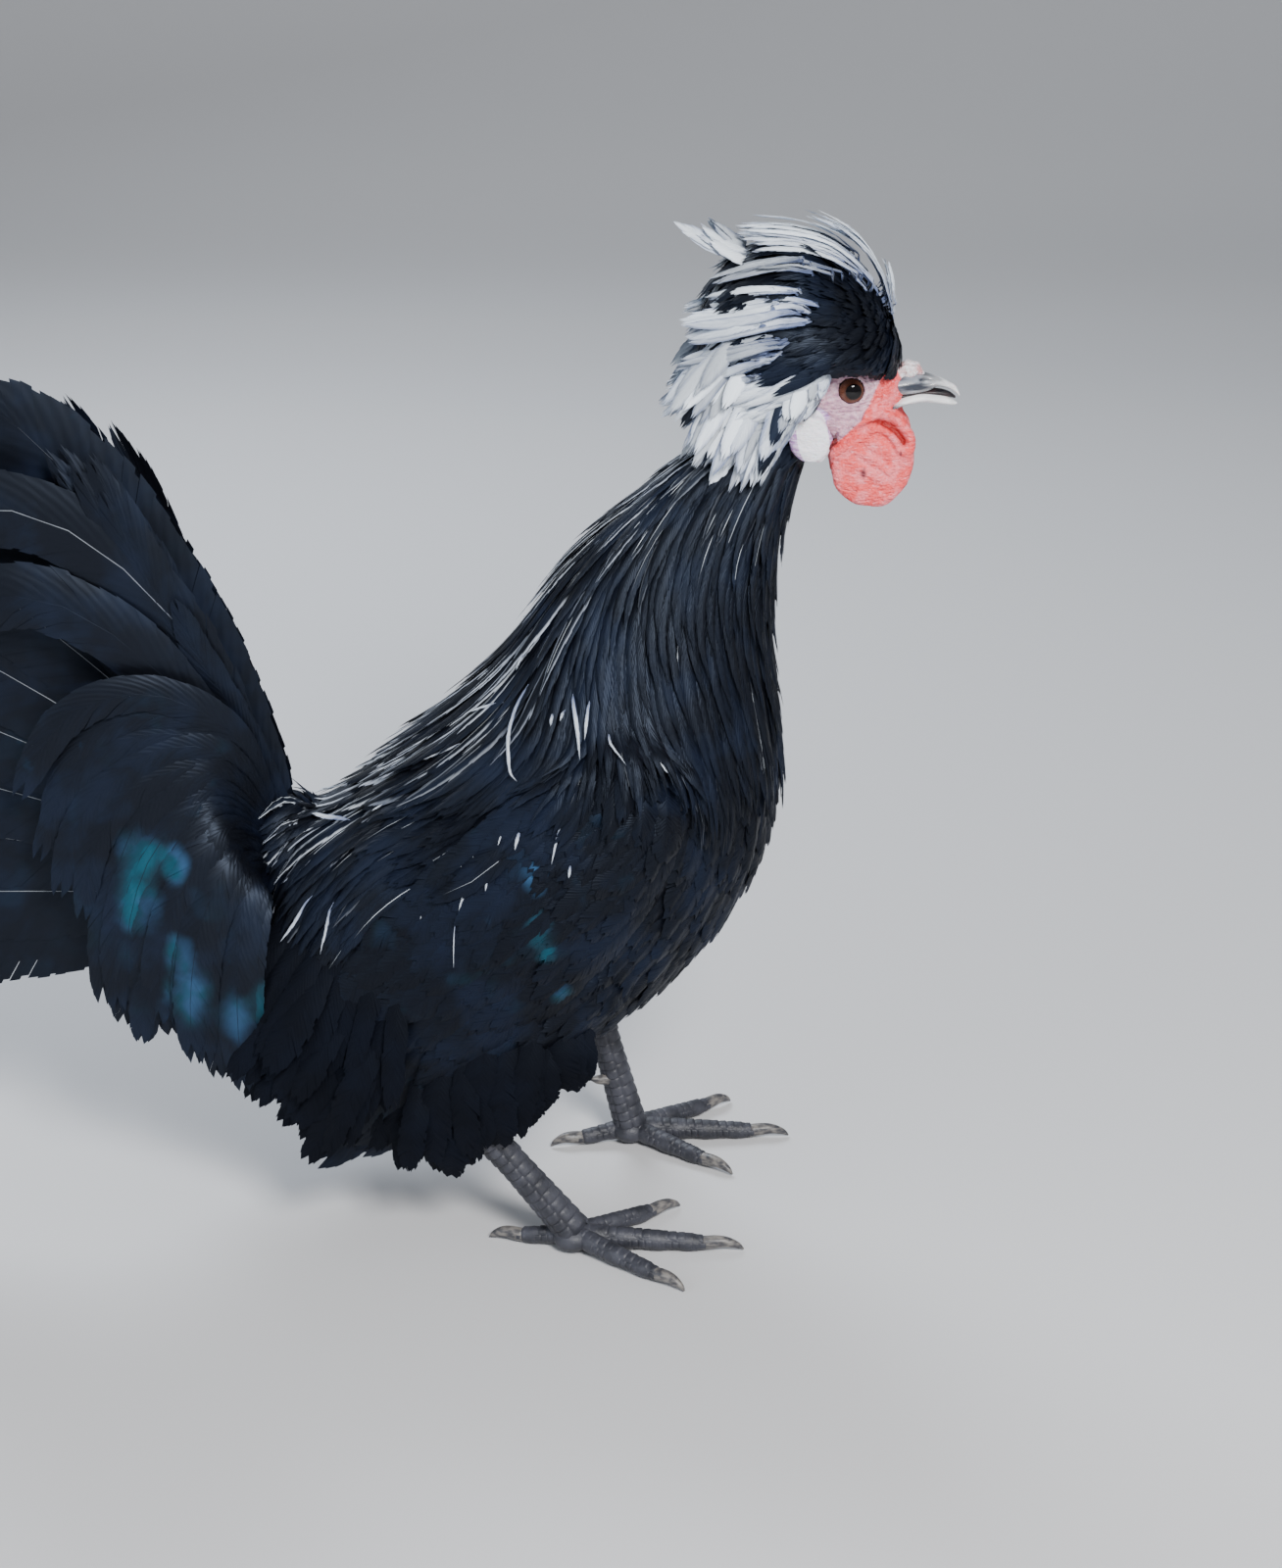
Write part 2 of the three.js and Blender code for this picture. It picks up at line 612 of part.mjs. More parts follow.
/** The bare head, with its lids raised round the eyes and the ears hollowed. */
function head() {
  let solid = skullLoft.solid(0, SKULL.length - 1, 8, 14);
  for (const side of [-1, 1]) {
    const lid = new THREE.TorusGeometry(LID.r, LID.tube, 4, 12);
    lid.rotateX(Math.PI / 2);
    lid.translate(EYE.x, side * LID.y, EYE.z);
    solid = solid.add(solidOf(lid));
  }
  for (const side of [-1, 1]) {
    solid = solid.subtract(ball([EAR.x, side * EAR.y, EAR.z], [EAR.r, EAR.r, EAR.r * 1.2], 8, 5));
  }
  return solid;
}

const skull = (grow) => skullLoft.solid(0, SKULL.length - 1, 8, 14, grow);
const eye = (side, grow = 0) => ball([EYE.x, side * EYE.y, EYE.z], [EYE.r, EYE.r, EYE.r], 12, 8, grow);
const lowerBill = (grow) => new Loft(LOWER_BILL).solid(0, LOWER_BILL.length - 1, 6, 8, grow);

/** The upper half of the bill, with its nostrils hollowed. */
function upperBill(grow = 0) {
  let solid = new Loft(UPPER_BILL).solid(0, UPPER_BILL.length - 1, 7, 10, grow);
  if (grow) return solid;
  for (const side of [-1, 1]) {
    const { x, y, z, r } = NOSTRIL;
    solid = solid.subtract(ball([x, side * y, z], [r * 1.8, r, r], 8, 5));
  }
  return solid;
}

/** The low comb, a knob with a small bulb on each side. */
function comb(grow = 0) {
  const bulbs = COMB.bulbs.flatMap(([x, y, z, r]) =>
    (y === 0 ? [0] : [-1, 1]).map((side) => ball([COMB.x + x, side * y, COMB.z + z], [r, r, r], 8, 6, grow)),
  );
  return wasm.Manifold.union(bulbs);
}

/** A round flap of skin hung in its own plane, with a thick rim and folds across it. */
function flap({ x, y, z, wide, thick, tall, around }, side, folds, grow = 0) {
  const g = new THREE.SphereGeometry(1, around, around - 4);
  const places = g.attributes.position;
  for (let i = 0; i < places.count; i++) {
    const p = V().fromBufferAttribute(places, i);
    const across = Math.hypot(p.x, p.z);
    const turn = Math.atan2(p.z, p.x);
    const rim = 1 + folds * (Math.exp(-(((across - 0.8) / 0.18) ** 2)) - 0.5);
    const fold = 1 + folds * 0.5 * Math.sin(4 * turn + 7 * across) * across * (1 - across);
    const deep = Math.sign(p.y) * Math.abs(p.y) ** 0.6 * (thick * rim * fold + grow);
    p.set(x + p.x * (wide + grow), side * (y + deep), z + p.z * (tall + grow));
    places.setXYZ(i, p.x, p.y, p.z);
  }
  return solidOf(g);
}

const earlobe = (side, grow) => flap(EARLOBE, side, 0.25, grow);
const wattle = (side, grow) => flap(WATTLE, side, 0.6, grow);

/** The feathered part of a leg, from the hip to the hock. */
function thigh(name, grow = 0) {
  const side = SIDES[name];
  const [x, y, z] = HOCK[name];
  const path = [
    V(HIP.x, side * HIP.y, HIP.z),
    V(mix(HIP.x, x, 0.5) - 4, (side * (HIP.y + y)) / 2, mix(HIP.z, z, 0.5)),
    V(x, side * y, z),
  ];
  const radius = (t) => along([HIP.r, HIP.knee, HIP.end], 2 * t);
  return bar(path, radius, even(4), 12, grow);
}

/** The bare part of a leg with its plates, on the ball of the foot. */
function shank(name, grow = 0) {
  const side = SIDES[name];
  const hock = V(HOCK[name][0], side * HOCK[name][1], HOCK[name][2]);
  const ankle = V(ANKLE[name][0], side * ANKLE[name][1], ANKLE[name][2]);
  const path = [hock, hock.clone().lerp(ankle, 0.5), ankle];
  const radius = (t, up, i) =>
    along([SHANK.top, SHANK.middle, SHANK.low], 2 * t) * raised(i, up, SHANK.raise);
  const leg = bar(path, radius, plated(SHANK.scutes), 8, grow);
  const { wide, tall, z } = PAD;
  return leg.add(ball([ankle.x, ankle.y, z], [wide, wide, tall], 10, 6, grow));
}

/** A place on a foot, out from its middle in a toe's direction. */
function footPoint(name, toe, far, z) {
  const turn = rad(toe.turn) * SIDES[name];
  const [x, y] = ANKLE[name];
  return V(x + far * Math.cos(turn), SIDES[name] * y + far * Math.sin(turn), z);
}

function toe(name, spec, grow = 0) {
  const { long, r, scutes } = spec;
  const path = [[3, 5.4], [long * 0.5, 4.1], [long, 3]];
  const radius = (t, up, i) => along([r, r * 0.96, r * 0.76], 2 * t) * raised(i, up, TOE_RAISE);
  return bar(path.map(([far, z]) => footPoint(name, spec, far, z)), radius, plated(scutes), 6, grow);
}

function claw(name, spec, grow = 0) {
  const { long, claw: reach } = spec;
  const path = [[long - 3, 3.4], [long + reach * 0.45, 4], [long + reach, 0.9]];
  const radius = (t) => along([2.7, 2, 0.5], 2 * t);
  return bar(path.map(([far, z]) => footPoint(name, spec, far, z)), radius, even(3), 5, grow);
}

/** The short spur on the inner side of a shank. */
function spur(name, grow = 0) {
  const side = SIDES[name];
  const at = HOCK[name].map((v, i) => mix(v, ANKLE[name][i], SPUR.at));
  const root = V(at[0] - 2, side * (at[1] - 3), at[2] - 2);
  const tip = root.clone().add(V(-SPUR.long - 2, -side * 4, 1.5));
  const middle = root.clone().lerp(tip, 0.5).add(V(0, 0, -0.5));
  return bar([root, middle, tip], (t) => mix(SPUR.r, 0.9, t), even(3), 6, grow);
}

const look = (color, roughness) => new THREE.MeshStandardMaterial({ color, roughness, metalness: 0 });
const PLUMAGE = look(0x15171c, 0.5);
const CREST_WHITE = look(0xe4e6ee, 0.6);
const FACE = look(0xd9a6b0, 0.6);
const RED = look(0xd2443c, 0.5);
const LOBE = look(0xf0edf5, 0.5);
const HORN = look(0xa9a7a0, 0.35);
const SLATE = look(0x5c6068, 0.5);
const IRIS = look(0x8a4a1c, 0.15);

const bird = new THREE.Group();

/** Adds a solid to the bird as a named mesh, once its neighbours are cut from it. */
function add(name, material, shape, ...neighbours) {
  const cut = neighbours.length ? shape.subtract(wasm.Manifold.union(neighbours)) : shape;
  const solid = largest(cut).simplify(FINE);
  const { numProp, vertProperties, triVerts } = solid.getMesh();
  const places = new Float32Array((vertProperties.length / numProp) * 3);
  for (let i = 0; i < places.length / 3; i++) {
    places.set(vertProperties.subarray(i * numProp, i * numProp + 3), i * 3);
  }
  const g = new THREE.BufferGeometry();
  g.setAttribute("position", new THREE.BufferAttribute(places, 3));
  g.setIndex(new THREE.BufferAttribute(triVerts, 1));
  const mesh = new THREE.Mesh(g, material);
  mesh.name = name;
  bird.add(mesh);
}

const near = {
  skull: skull(GAP),
  neck: neck(GAP),
  torso: torso(GAP),
  rump: rump(GAP),
  upperBill: upperBill(GAP),
  lowerBill: lowerBill(GAP),
  comb: comb(GAP),
  tail: tail(GAP),
  eyes: [-1, 1].map((side) => eye(side, GAP)),
  lids: [-1, 1].map((side) => eye(side, LID.tube + 0.8)),
};
const floor = block([-400, -200, -40], [300, 200, 0]);

add("torso", PLUMAGE, torso(), near.neck);
add("rump", PLUMAGE, rump(), near.torso);
add("head", FACE, head(), ...near.eyes);
add("neck", PLUMAGE, neck(), near.skull, ...near.lids);
add("crest", CREST_WHITE, crest(), near.skull, near.neck, near.upperBill, near.comb, ...near.lids);
add("beak_upper", HORN, upperBill(), near.skull);
add("beak_lower", HORN, lowerBill(), near.skull);
add("comb", RED, comb(), near.skull, near.upperBill);
add("tail", PLUMAGE, tail(), near.rump);
for (const [name, side] of Object.entries(SIDES)) {
  const grown = {
    earlobe: earlobe(side, GAP),
    wing: wing(side, GAP),
    thigh: thigh(name, GAP),
    shank: shank(name, GAP),
  };
  add(`eye_${name}`, IRIS, eye(side));
  add(`earlobe_${name}`, LOBE, earlobe(side), near.skull, near.neck, crest(GAP));
  add(`wattle_${name}`, RED, wattle(side), near.skull, near.neck, grown.earlobe, near.lowerBill);
  add(`wing_${name}`, PLUMAGE, wing(side), near.torso, near.rump, near.neck, near.tail);
  add(`thigh_${name}`, PLUMAGE, thigh(name), near.torso, near.rump, grown.wing);
  add(`shank_${name}`, SLATE, shank(name), grown.thigh, grown.wing, near.torso, floor);
  add(`spur_${name}`, HORN, spur(name), grown.shank);
  const done = [grown.shank, floor];
  for (const spec of TOES) {
    add(`toe_${spec.name}_${name}`, SLATE, toe(name, spec), ...done);
    done.push(toe(name, spec, GAP));
    add(`claw_${spec.name}_${name}`, HORN, claw(name, spec), toe(name, spec, GAP), floor);
  }
}

// The floor under the middle of the bird's box is the origin.
const box = new THREE.Box3().setFromObject(bird);
bird.position.set(-(box.min.x + box.max.x) / 2, -(box.min.y + box.max.y) / 2, -box.min.z);

const model = new THREE.Group();
model.add(bird);
export default model;
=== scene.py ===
"""A crested cockerel as a still, life-size model: one skin, its coat of feathers, face and legs.

Places are named in the bird's own frame, in millimetres: +X runs from the tail to the beak, +Y to
the bird's left and +Z up, with the floor at Z = 0. Its middle plane is Y = 0.
"""

import logging
import math
from collections.abc import Callable, Sequence
from dataclasses import dataclass, field
from enum import Enum
from itertools import product

import bpy
import numpy as np
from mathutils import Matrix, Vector
from mathutils.bvhtree import BVHTree


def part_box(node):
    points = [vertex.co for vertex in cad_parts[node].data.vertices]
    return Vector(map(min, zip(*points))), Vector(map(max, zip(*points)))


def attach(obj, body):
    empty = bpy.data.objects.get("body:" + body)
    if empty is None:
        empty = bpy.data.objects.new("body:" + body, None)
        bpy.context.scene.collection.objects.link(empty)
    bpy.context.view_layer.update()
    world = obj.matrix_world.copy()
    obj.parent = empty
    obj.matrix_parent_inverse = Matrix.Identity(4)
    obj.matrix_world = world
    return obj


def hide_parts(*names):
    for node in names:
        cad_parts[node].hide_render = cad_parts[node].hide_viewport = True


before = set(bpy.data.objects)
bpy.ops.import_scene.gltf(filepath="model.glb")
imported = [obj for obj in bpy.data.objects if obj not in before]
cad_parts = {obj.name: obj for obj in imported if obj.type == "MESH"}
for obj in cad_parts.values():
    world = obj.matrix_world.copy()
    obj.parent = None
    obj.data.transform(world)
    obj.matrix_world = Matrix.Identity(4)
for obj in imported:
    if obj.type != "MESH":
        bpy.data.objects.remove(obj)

log = logging.getLogger("cockerel")

Array = np.ndarray
Colour = tuple[float, float, float]
Place = tuple[float, float, float]
Chance = np.random.Generator
Piece = bpy.types.Object
Finish = bpy.types.Material
# The sections of a loft, with five numbers each
Stations = tuple[tuple[float, float, float, float, float], ...]
# Both ends of a line, as two numbers each
Ends = tuple[tuple[float, float], tuple[float, float]]
# The points and faces of a closed body
Body = tuple[Array, list[list[int]]]

MM = 0.001
TAU = 2 * math.pi
SIDES = {"right": -1, "left": 1}
UP = np.array((0.0, 0.0, 1.0))

# The trunk and neck from the tail root to the skull, as [x, z] of the back, [x, z] of the belly
# and half the width at each station
TRUNK = (
    (-151, 168, -151, 148, 10),
    (-142, 178, -151, 119, 32),
    (-124, 189, -134, 91, 47),
    (-102, 206, -104, 73, 57),
    (-80, 225, -70, 67, 62),
    (-62, 243, -36, 75, 64),
    (-50, 258, -4, 95, 64),
    (-41, 272, 25, 123, 60),
    (-33, 285, 47, 157, 54),
    (-25, 296, 56, 191, 47),
    (-15, 307, 56, 224, 39),
    (-1, 320, 53, 254, 32),
    (14, 334, 54, 283, 26),
    (29, 346, 58, 308, 21),
    (42, 357, 65, 328, 17),
    (52, 366, 75, 343, 14),
)
SKULL = (
    (104.5, 369, 103, 360, 4.5),
    (100.5, 374.5, 100, 353, 8.5),
    (93, 384, 93, 348, 12.5),
    (82, 390, 82, 345, 15),
    (70, 392, 72, 344, 16.5),
    (58, 388, 60, 346, 15),
    (50, 380, 52, 353, 9),
)
# Parts of the head, with Y outwards, and half their size on each axis
EYE: Place = (82, 11.2, 367)
EYE_RADIUS = 6.6
EAR: Place = (67, 17, 361)
EARLOBE: Place = (66, 16.5, 348.5)
EARLOBE_RADII: Place = (9.2, 3.4, 10.8)
WATTLE: Place = (91, 11.5, 337.5)
WATTLE_RADII: Place = (16.5, 3.0, 18.5)
COMB: Place = (104, 0, 373)
CREST_CORE: Place = (70, 0, 392)
CREST_CORE_RADII: Place = (29, 24, 23)
TAIL_BULB: Place = (-150, 0, 163)
TAIL_BULB_RADII: Place = (20, 21, 29)

# The closed wing's own plane: s runs from the bend to the tip and t up its width. Each station
# has its s, the lower and the upper edge as t, and how far out the middle of its face lies.
WING_BEND = (22, 196)
WING_TILT = math.radians(47)
WING = (
    (-18, 22, 36, 57),
    (10, 0, 58, 66),
    (50, -6, 66, 70),
    (90, -4, 62, 69),
    (130, 4, 50, 63),
    (165, 12, 36, 55),
)
WING_THICK = 9
# The radius of the wing's curve from edge to edge
WING_ROUND = 80

# Joints of the legs, with Y outwards, and the thigh's radius from the hip to the hock
HIP: Place = (-24, 32, 132)
HIP_RADII = (27, 20, 9)
HOCK = {"right": (-79, 47, 74), "left": (-26, 47, 92)}
ANKLE = {"right": (-29, 47, 9), "left": (-5, 47, 9)}


def frame_shift() -> Array:
    """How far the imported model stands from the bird's own frame, in metres.

    Returns:
        The shift, from where the right eye is and where it is named.
    """
    low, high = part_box("eye_right")
    return np.array((low + high) / 2) - np.array((EYE[0], -EYE[1], EYE[2])) * MM


SHIFT = frame_shift()


def unit(v: Array) -> Array:
    """The same directions with a length of one."""
    return v / np.maximum(np.linalg.norm(v, axis=-1, keepdims=True), 1e-12)


def ease(low: float, high: float, x: Array) -> Array:
    """A smooth step from 0 at low to 1 at high, which may be the lesser of the two."""
    t = np.clip((x - low) / (high - low), 0, 1)
    return t * t * (3 - 2 * t)


def blend(a: Array, b: Array, t: Array) -> Array:
    """The mix of a and b in which t is the share of b."""
    return a + (b - a) * t


def along(rows: Array, u: Array) -> Array:
    """A smooth curve through the rows.

    Args:
        rows: One row of numbers for each station.
        u: Places counted in stations, of any shape.

    Returns:
        A row for each place.
    """
    last = len(rows) - 1
    i = np.clip(np.floor(u).astype(int), 0, last - 1)
    t = (u - i)[..., None]
    b, c = rows[i], rows[i + 1]
    a = np.where((i > 0)[..., None], rows[np.maximum(i - 1, 0)], 2 * b - c)
    d = np.where((i + 2 <= last)[..., None], rows[np.minimum(i + 2, last)], 2 * c - b)
    return b + 0.5 * t * (c - a + t * (2 * a - 5 * b + 4 * c - d + t * (3 * (b - c) + d - a)))


def through(points: Sequence[Place], count: int) -> Array:
    """Points spaced along a smooth line.

    Args:
        points: The places that the line passes, in millimetres.
        count: How many points to return.

    Returns:
        The points, in metres.
    """
    rows = np.array(points, float) * MM
    return along(rows, np.linspace(0, len(rows) - 1, count))


def on_side(place: Place, side: int) -> Place:
    """A place named with Y outwards, on the given side."""
    return (place[0], side * place[1], place[2])


class Loft:
    """A body of oval sections between a back line and a belly line."""

    def __init__(self, stations: Stations) -> None:
        """Keeps the stations, in metres."""
        self.rows = np.array(stations, float) * MM
        self.end = len(stations) - 1

    def point(self, u: Array, angle: Array) -> Array:
        """Surface points at stations u, with angle 0 on the back and positive to the left.

        Args:
            u: Stations along the body.
            angle: Angles round it.

        Returns:
            The points, in metres.
        """
        bx, bz, vx, vz, half = np.moveaxis(along(self.rows, np.asarray(u, float)), -1, 0)
        c = np.cos(angle) / 2
        return np.stack(
            ((bx + vx) / 2 + (bx - vx) * c, half * np.sin(angle), (bz + vz) / 2 + (bz - vz) * c),
            axis=-1,
        )

    def middle(self, u: Array) -> Array:
        """The middle of the section at stations u."""
        return (self.point(u, np.zeros_like(u)) + self.point(u, np.full_like(u, math.pi))) / 2

    def normal(self, u: Array, angle: Array) -> Array:
        """Outward directions at stations u.

        Args:
            u: Stations along the body.
            angle: Angles round it.

        Returns:
            Unit directions.
        """
        e = 1e-3
        du = self.point(u + e, angle) - self.point(u - e, angle)
        da = self.point(u, angle + e) - self.point(u, angle - e)
        n = unit(np.cross(du, da))
        out = self.point(u, angle) - self.middle(u)
        return n * np.sign(np.sum(n * out, axis=-1, keepdims=True))

    def rings(self, start: float, end: float, rings: int, sides: int, inset: float) -> Array:
        """Rings of points along the body, drawn in by the inset.

        Args:
            start: The first ring's station.
            end: The last ring's station.
            rings: How many rings.
            sides: Points in each ring.
            inset: How far in, in metres.

        Returns:
            The points, one row to a ring.
        """
        u, a = np.meshgrid(
            np.linspace(start, end, rings), np.arange(sides) * TAU / sides, indexing="ij"
        )
        return self.point(u, a) - self.normal(u, a) * inset


def tube(rings: Array) -> Body:
    """A closed body from rings of points.

    Args:
        rings: Points of shape (rings, sides, 3).

    Returns:
        Its points and faces.
    """
    count, sides, _ = rings.shape
    faces = []
    for i in range(count - 1):
        for j in range(sides):
            k = (j + 1) % sides
            faces.append([i * sides + j, i * sides + k, (i + 1) * sides + k, (i + 1) * sides + j])
    faces.append(list(range(sides))[::-1])
    faces.append([(count - 1) * sides + j for j in range(sides)])
    return rings.reshape(-1, 3), faces


def ball(centre: Place, radii: Place, around: int = 24) -> Body:
    """An oval ball, with its centre and radii in millimetres.

    Args:
        centre: Its middle.
        radii: Half its size on each axis.
        around: Points in each ring.

    Returns:
        The closed body.
    """
    lat = np.linspace(0, math.pi, around // 2 + 1)[:, None]
    lon = np.arange(around)[None, :] * TAU / around
    lat = np.clip(lat, 0.02, math.pi - 0.02)
    points = np.stack(
        (np.sin(lat) * np.cos(lon), np.sin(lat) * np.sin(lon), np.cos(lat) + 0 * lon), axis=-1
    )
    return tube(points * np.array(radii) * MM + np.array(centre) * MM)


def bar_rings(line: Array, radius: Array, sides: int) -> Array:
    """Rings round a line, with a radius for each of its points or each point of each ring.

    Args:
        line: The middle line's points, in metres.
        radius: The radii in metres.
        sides: Points in each ring.

    Returns:
        The points, one row to a ring.
    """
    way = unit(np.gradient(line, axis=0))
    side = unit(np.cross(UP, way))
    up = np.cross(way, side)
    a = np.arange(sides) * TAU / sides
    radius = np.broadcast_to(np.asarray(radius).reshape(len(line), -1), (len(line), sides))
    spoke = side[:, None] * np.cos(a)[None, :, None] + up[:, None] * np.sin(a)[None, :, None]
    return line[:, None] + spoke * radius[..., None]


def apart(spot: Array, ends: Sequence[float]) -> Array:
    """How far flat places are from the line between two ends.

    Args:
        spot: The places, two numbers each.
        ends: Both ends of the line, as four numbers.

    Returns:
        The distance of each place.
    """
    a, b = np.array(ends[:2], float), np.array(ends[2:], float)
    t = np.clip((spot - a) @ (b - a) / np.sum((b - a) ** 2), 0, 1)
    return np.linalg.norm(spot - a - t[:, None] * (b - a), axis=1)


def plain_mesh(name: str, parts: Sequence[Body]) -> bpy.types.Mesh:
    """One mesh of several closed bodies, moved from the bird's frame to the model's.

    Args:
        name: The mesh's name.
        parts: The bodies.

    Returns:
        The mesh.
    """
    points, faces, start = [], [], 0
    for part_points, part_faces in parts:
        points.append(part_points)
        faces += [[i + start for i in face] for face in part_faces]
        start += len(part_points)
    mesh = bpy.data.meshes.new(name)
    mesh.from_pydata((np.concatenate(points) + SHIFT).tolist(), [], faces)
    mesh.update()
    return mesh


def link(name: str, mesh: bpy.types.Mesh) -> Piece:
    """A new object in the scene for a mesh.

    Args:
        name: The object's name.
        mesh: Its mesh.

    Returns:
        The object.
    """
    made = bpy.data.objects.new(name, mesh)
    bpy.context.scene.collection.objects.link(made)
    return made


def finished(made: Piece) -> None:
    """Works an object's modifiers into its mesh.

    Args:
        made: The object.
    """
    graph = bpy.context.evaluated_depsgraph_get()
    mesh = bpy.data.meshes.new_from_object(made.evaluated_get(graph))
    made.modifiers.clear()
    old = made.data
    made.data = mesh
    bpy.data.meshes.remove(old)
    mesh.name = made.name


def modify(made: Piece, kind: str, **settings: object) -> None:
    """Changes an object's mesh by one modifier.

    Args:
        made: The object.
        kind: The modifier's type.
        settings: Its settings.
    """
    modifier = made.modifiers.new(kind.lower(), kind)
    for name, value in settings.items():
        setattr(modifier, name, value)
    finished(made)


def read(items: bpy.types.bpy_prop_collection, name: str, width: int, kind: type = np.float32) -> Array:
    """A row of numbers for each point, corner or face of a mesh.

    Args:
        items: The mesh's points, corners or faces.
        name: The value's name.
        width: Numbers in each row.
        kind: The numbers' type.

    Returns:
        The rows.
    """
    values = np.empty(len(items) * width, kind)
    items.foreach_get(name, values)
    return values.reshape(-1, width)


def points_of(mesh: bpy.types.Mesh) -> Array:
    """The points of a mesh, in the model's frame."""
    return read(mesh.vertices, "co", 3).astype(float)


def move_points(mesh: bpy.types.Mesh, points: Array) -> None:
    """Moves a mesh's points to new places in the model's frame."""
    mesh.vertices.foreach_set("co", points.astype(np.float32).ravel())


def swing(chance: Chance, count: int) -> Array:
    """Random numbers from -1 to 1."""
    return 2 * chance.random(count) - 1


def each(value: Array | float, count: int) -> Array:
    """One value for each feather, in a shape that fits the corners of its faces."""
    return np.broadcast_to(value, (count,))[:, None, None]


def jitter(chance: Chance, count: int, size: float) -> Array:
    """Random factors that differ from one by up to a size."""
    return 1 + size * swing(chance, count)


def vary(chance: Chance, count: int, size: float) -> Array:
    """Random factors that are spread about one."""
    return 1 + size * chance.normal(0, 1, count)


def write_values(mesh: bpy.types.Mesh, name: str, values: Array, kind: str = "FLOAT") -> None:
    """Stores one number or vector for each point of a mesh under a name."""
    layer = mesh.attributes.new(name, kind, "POINT")
    layer.data.foreach_set("value" if kind == "FLOAT" else "vector", np.asarray(values, np.float32).ravel())


class Wire:
    """A value that flows between the nodes of a material."""

    def __init__(self, graph: "Tree", socket: bpy.types.NodeSocket) -> None:
        """Keeps the socket that the value comes from."""
        self.graph = graph
        self.socket = socket

    def _with(self, operation: str, *values: "Wire | float") -> "Wire":
        """A Math node on some values."""
        return self.graph.node("ShaderNodeMath", {"operation": operation}, dict(enumerate(values)))

    def __add__(self, other: "Wire | float") -> "Wire":
        """The sum."""
        return self._with("ADD", self, other)

    __radd__ = __add__

    def __sub__(self, other: "Wire | float") -> "Wire":
        """The difference."""
        return self._with("SUBTRACT", self, other)

    def __rsub__(self, other: "Wire | float") -> "Wire":
        """The difference from a number."""
        return self._with("SUBTRACT", other, self)

    def __mul__(self, other: "Wire | float") -> "Wire":
        """The product."""
        return self._with("MULTIPLY", self, other)

    __rmul__ = __mul__

    def __pow__(self, other: "Wire | float") -> "Wire":
        """The power."""
        return self._with("POWER", self, other)

    def __abs__(self) -> "Wire":
        """The size without its sign."""
        return self._with("ABSOLUTE", self)

    def sine(self) -> "Wire":
        """The sine of an angle."""
        return self._with("SINE", self)

    def cosine(self) -> "Wire":
        """The cosine of an angle."""
        return self._with("COSINE", self)

    def clamp(self) -> "Wire":
        """The value held between 0 and 1."""
        return self.graph.node("ShaderNodeClamp", {}, {"Value": self})

    def step(self, low: float, high: float) -> "Wire":
        """A smooth step from 0 at low to 1 at high.

        Args:
            low: Where it starts.
            high: Where it ends.

        Returns:
            The step's value.
        """
        return self.graph.node(
            "ShaderNodeMapRange",
            {"interpolation_type": "SMOOTHSTEP"},
            {"Value": self, "From Min": low, "From Max": high},
        )


class Tree:
    """The nodes of one tree."""

    def __init__(self, tree: bpy.types.NodeTree) -> None:
        """Keeps the tree that the nodes go in."""
        self.tree = tree

    def node(
        self,
        kind: str,
        settings: dict[str, object] | None = None,
        sockets: dict[str | int, object] | None = None,
        output: str | int = 0,
    ) -> Wire:
        """Adds a node.

        Args:
            kind: The node's type.
            settings: Its own settings, which are made first.
            sockets: Values or wires for its inputs.
            output: The output that is returned.

        Returns:
            A wire from that output.
        """
        made = self.tree.nodes.new(kind)
        for name, value in (settings or {}).items():
            setattr(made, name, value)
        for name, value in (sockets or {}).items():
            if isinstance(value, Wire):
                self.tree.links.new(value.socket, made.inputs[name])
            elif isinstance(value, tuple) and len(value) == 3 and made.inputs[name].type == "RGBA":
                made.inputs[name].default_value = (*value, 1)
            else:
                made.inputs[name].default_value = value
        return Wire(self, made.outputs[output])

    def axis(self, vector: Wire, letter: str) -> Wire:
        """One axis of a vector."""
        return self.node("ShaderNodeSeparateXYZ", {}, {"Vector": vector}, letter)


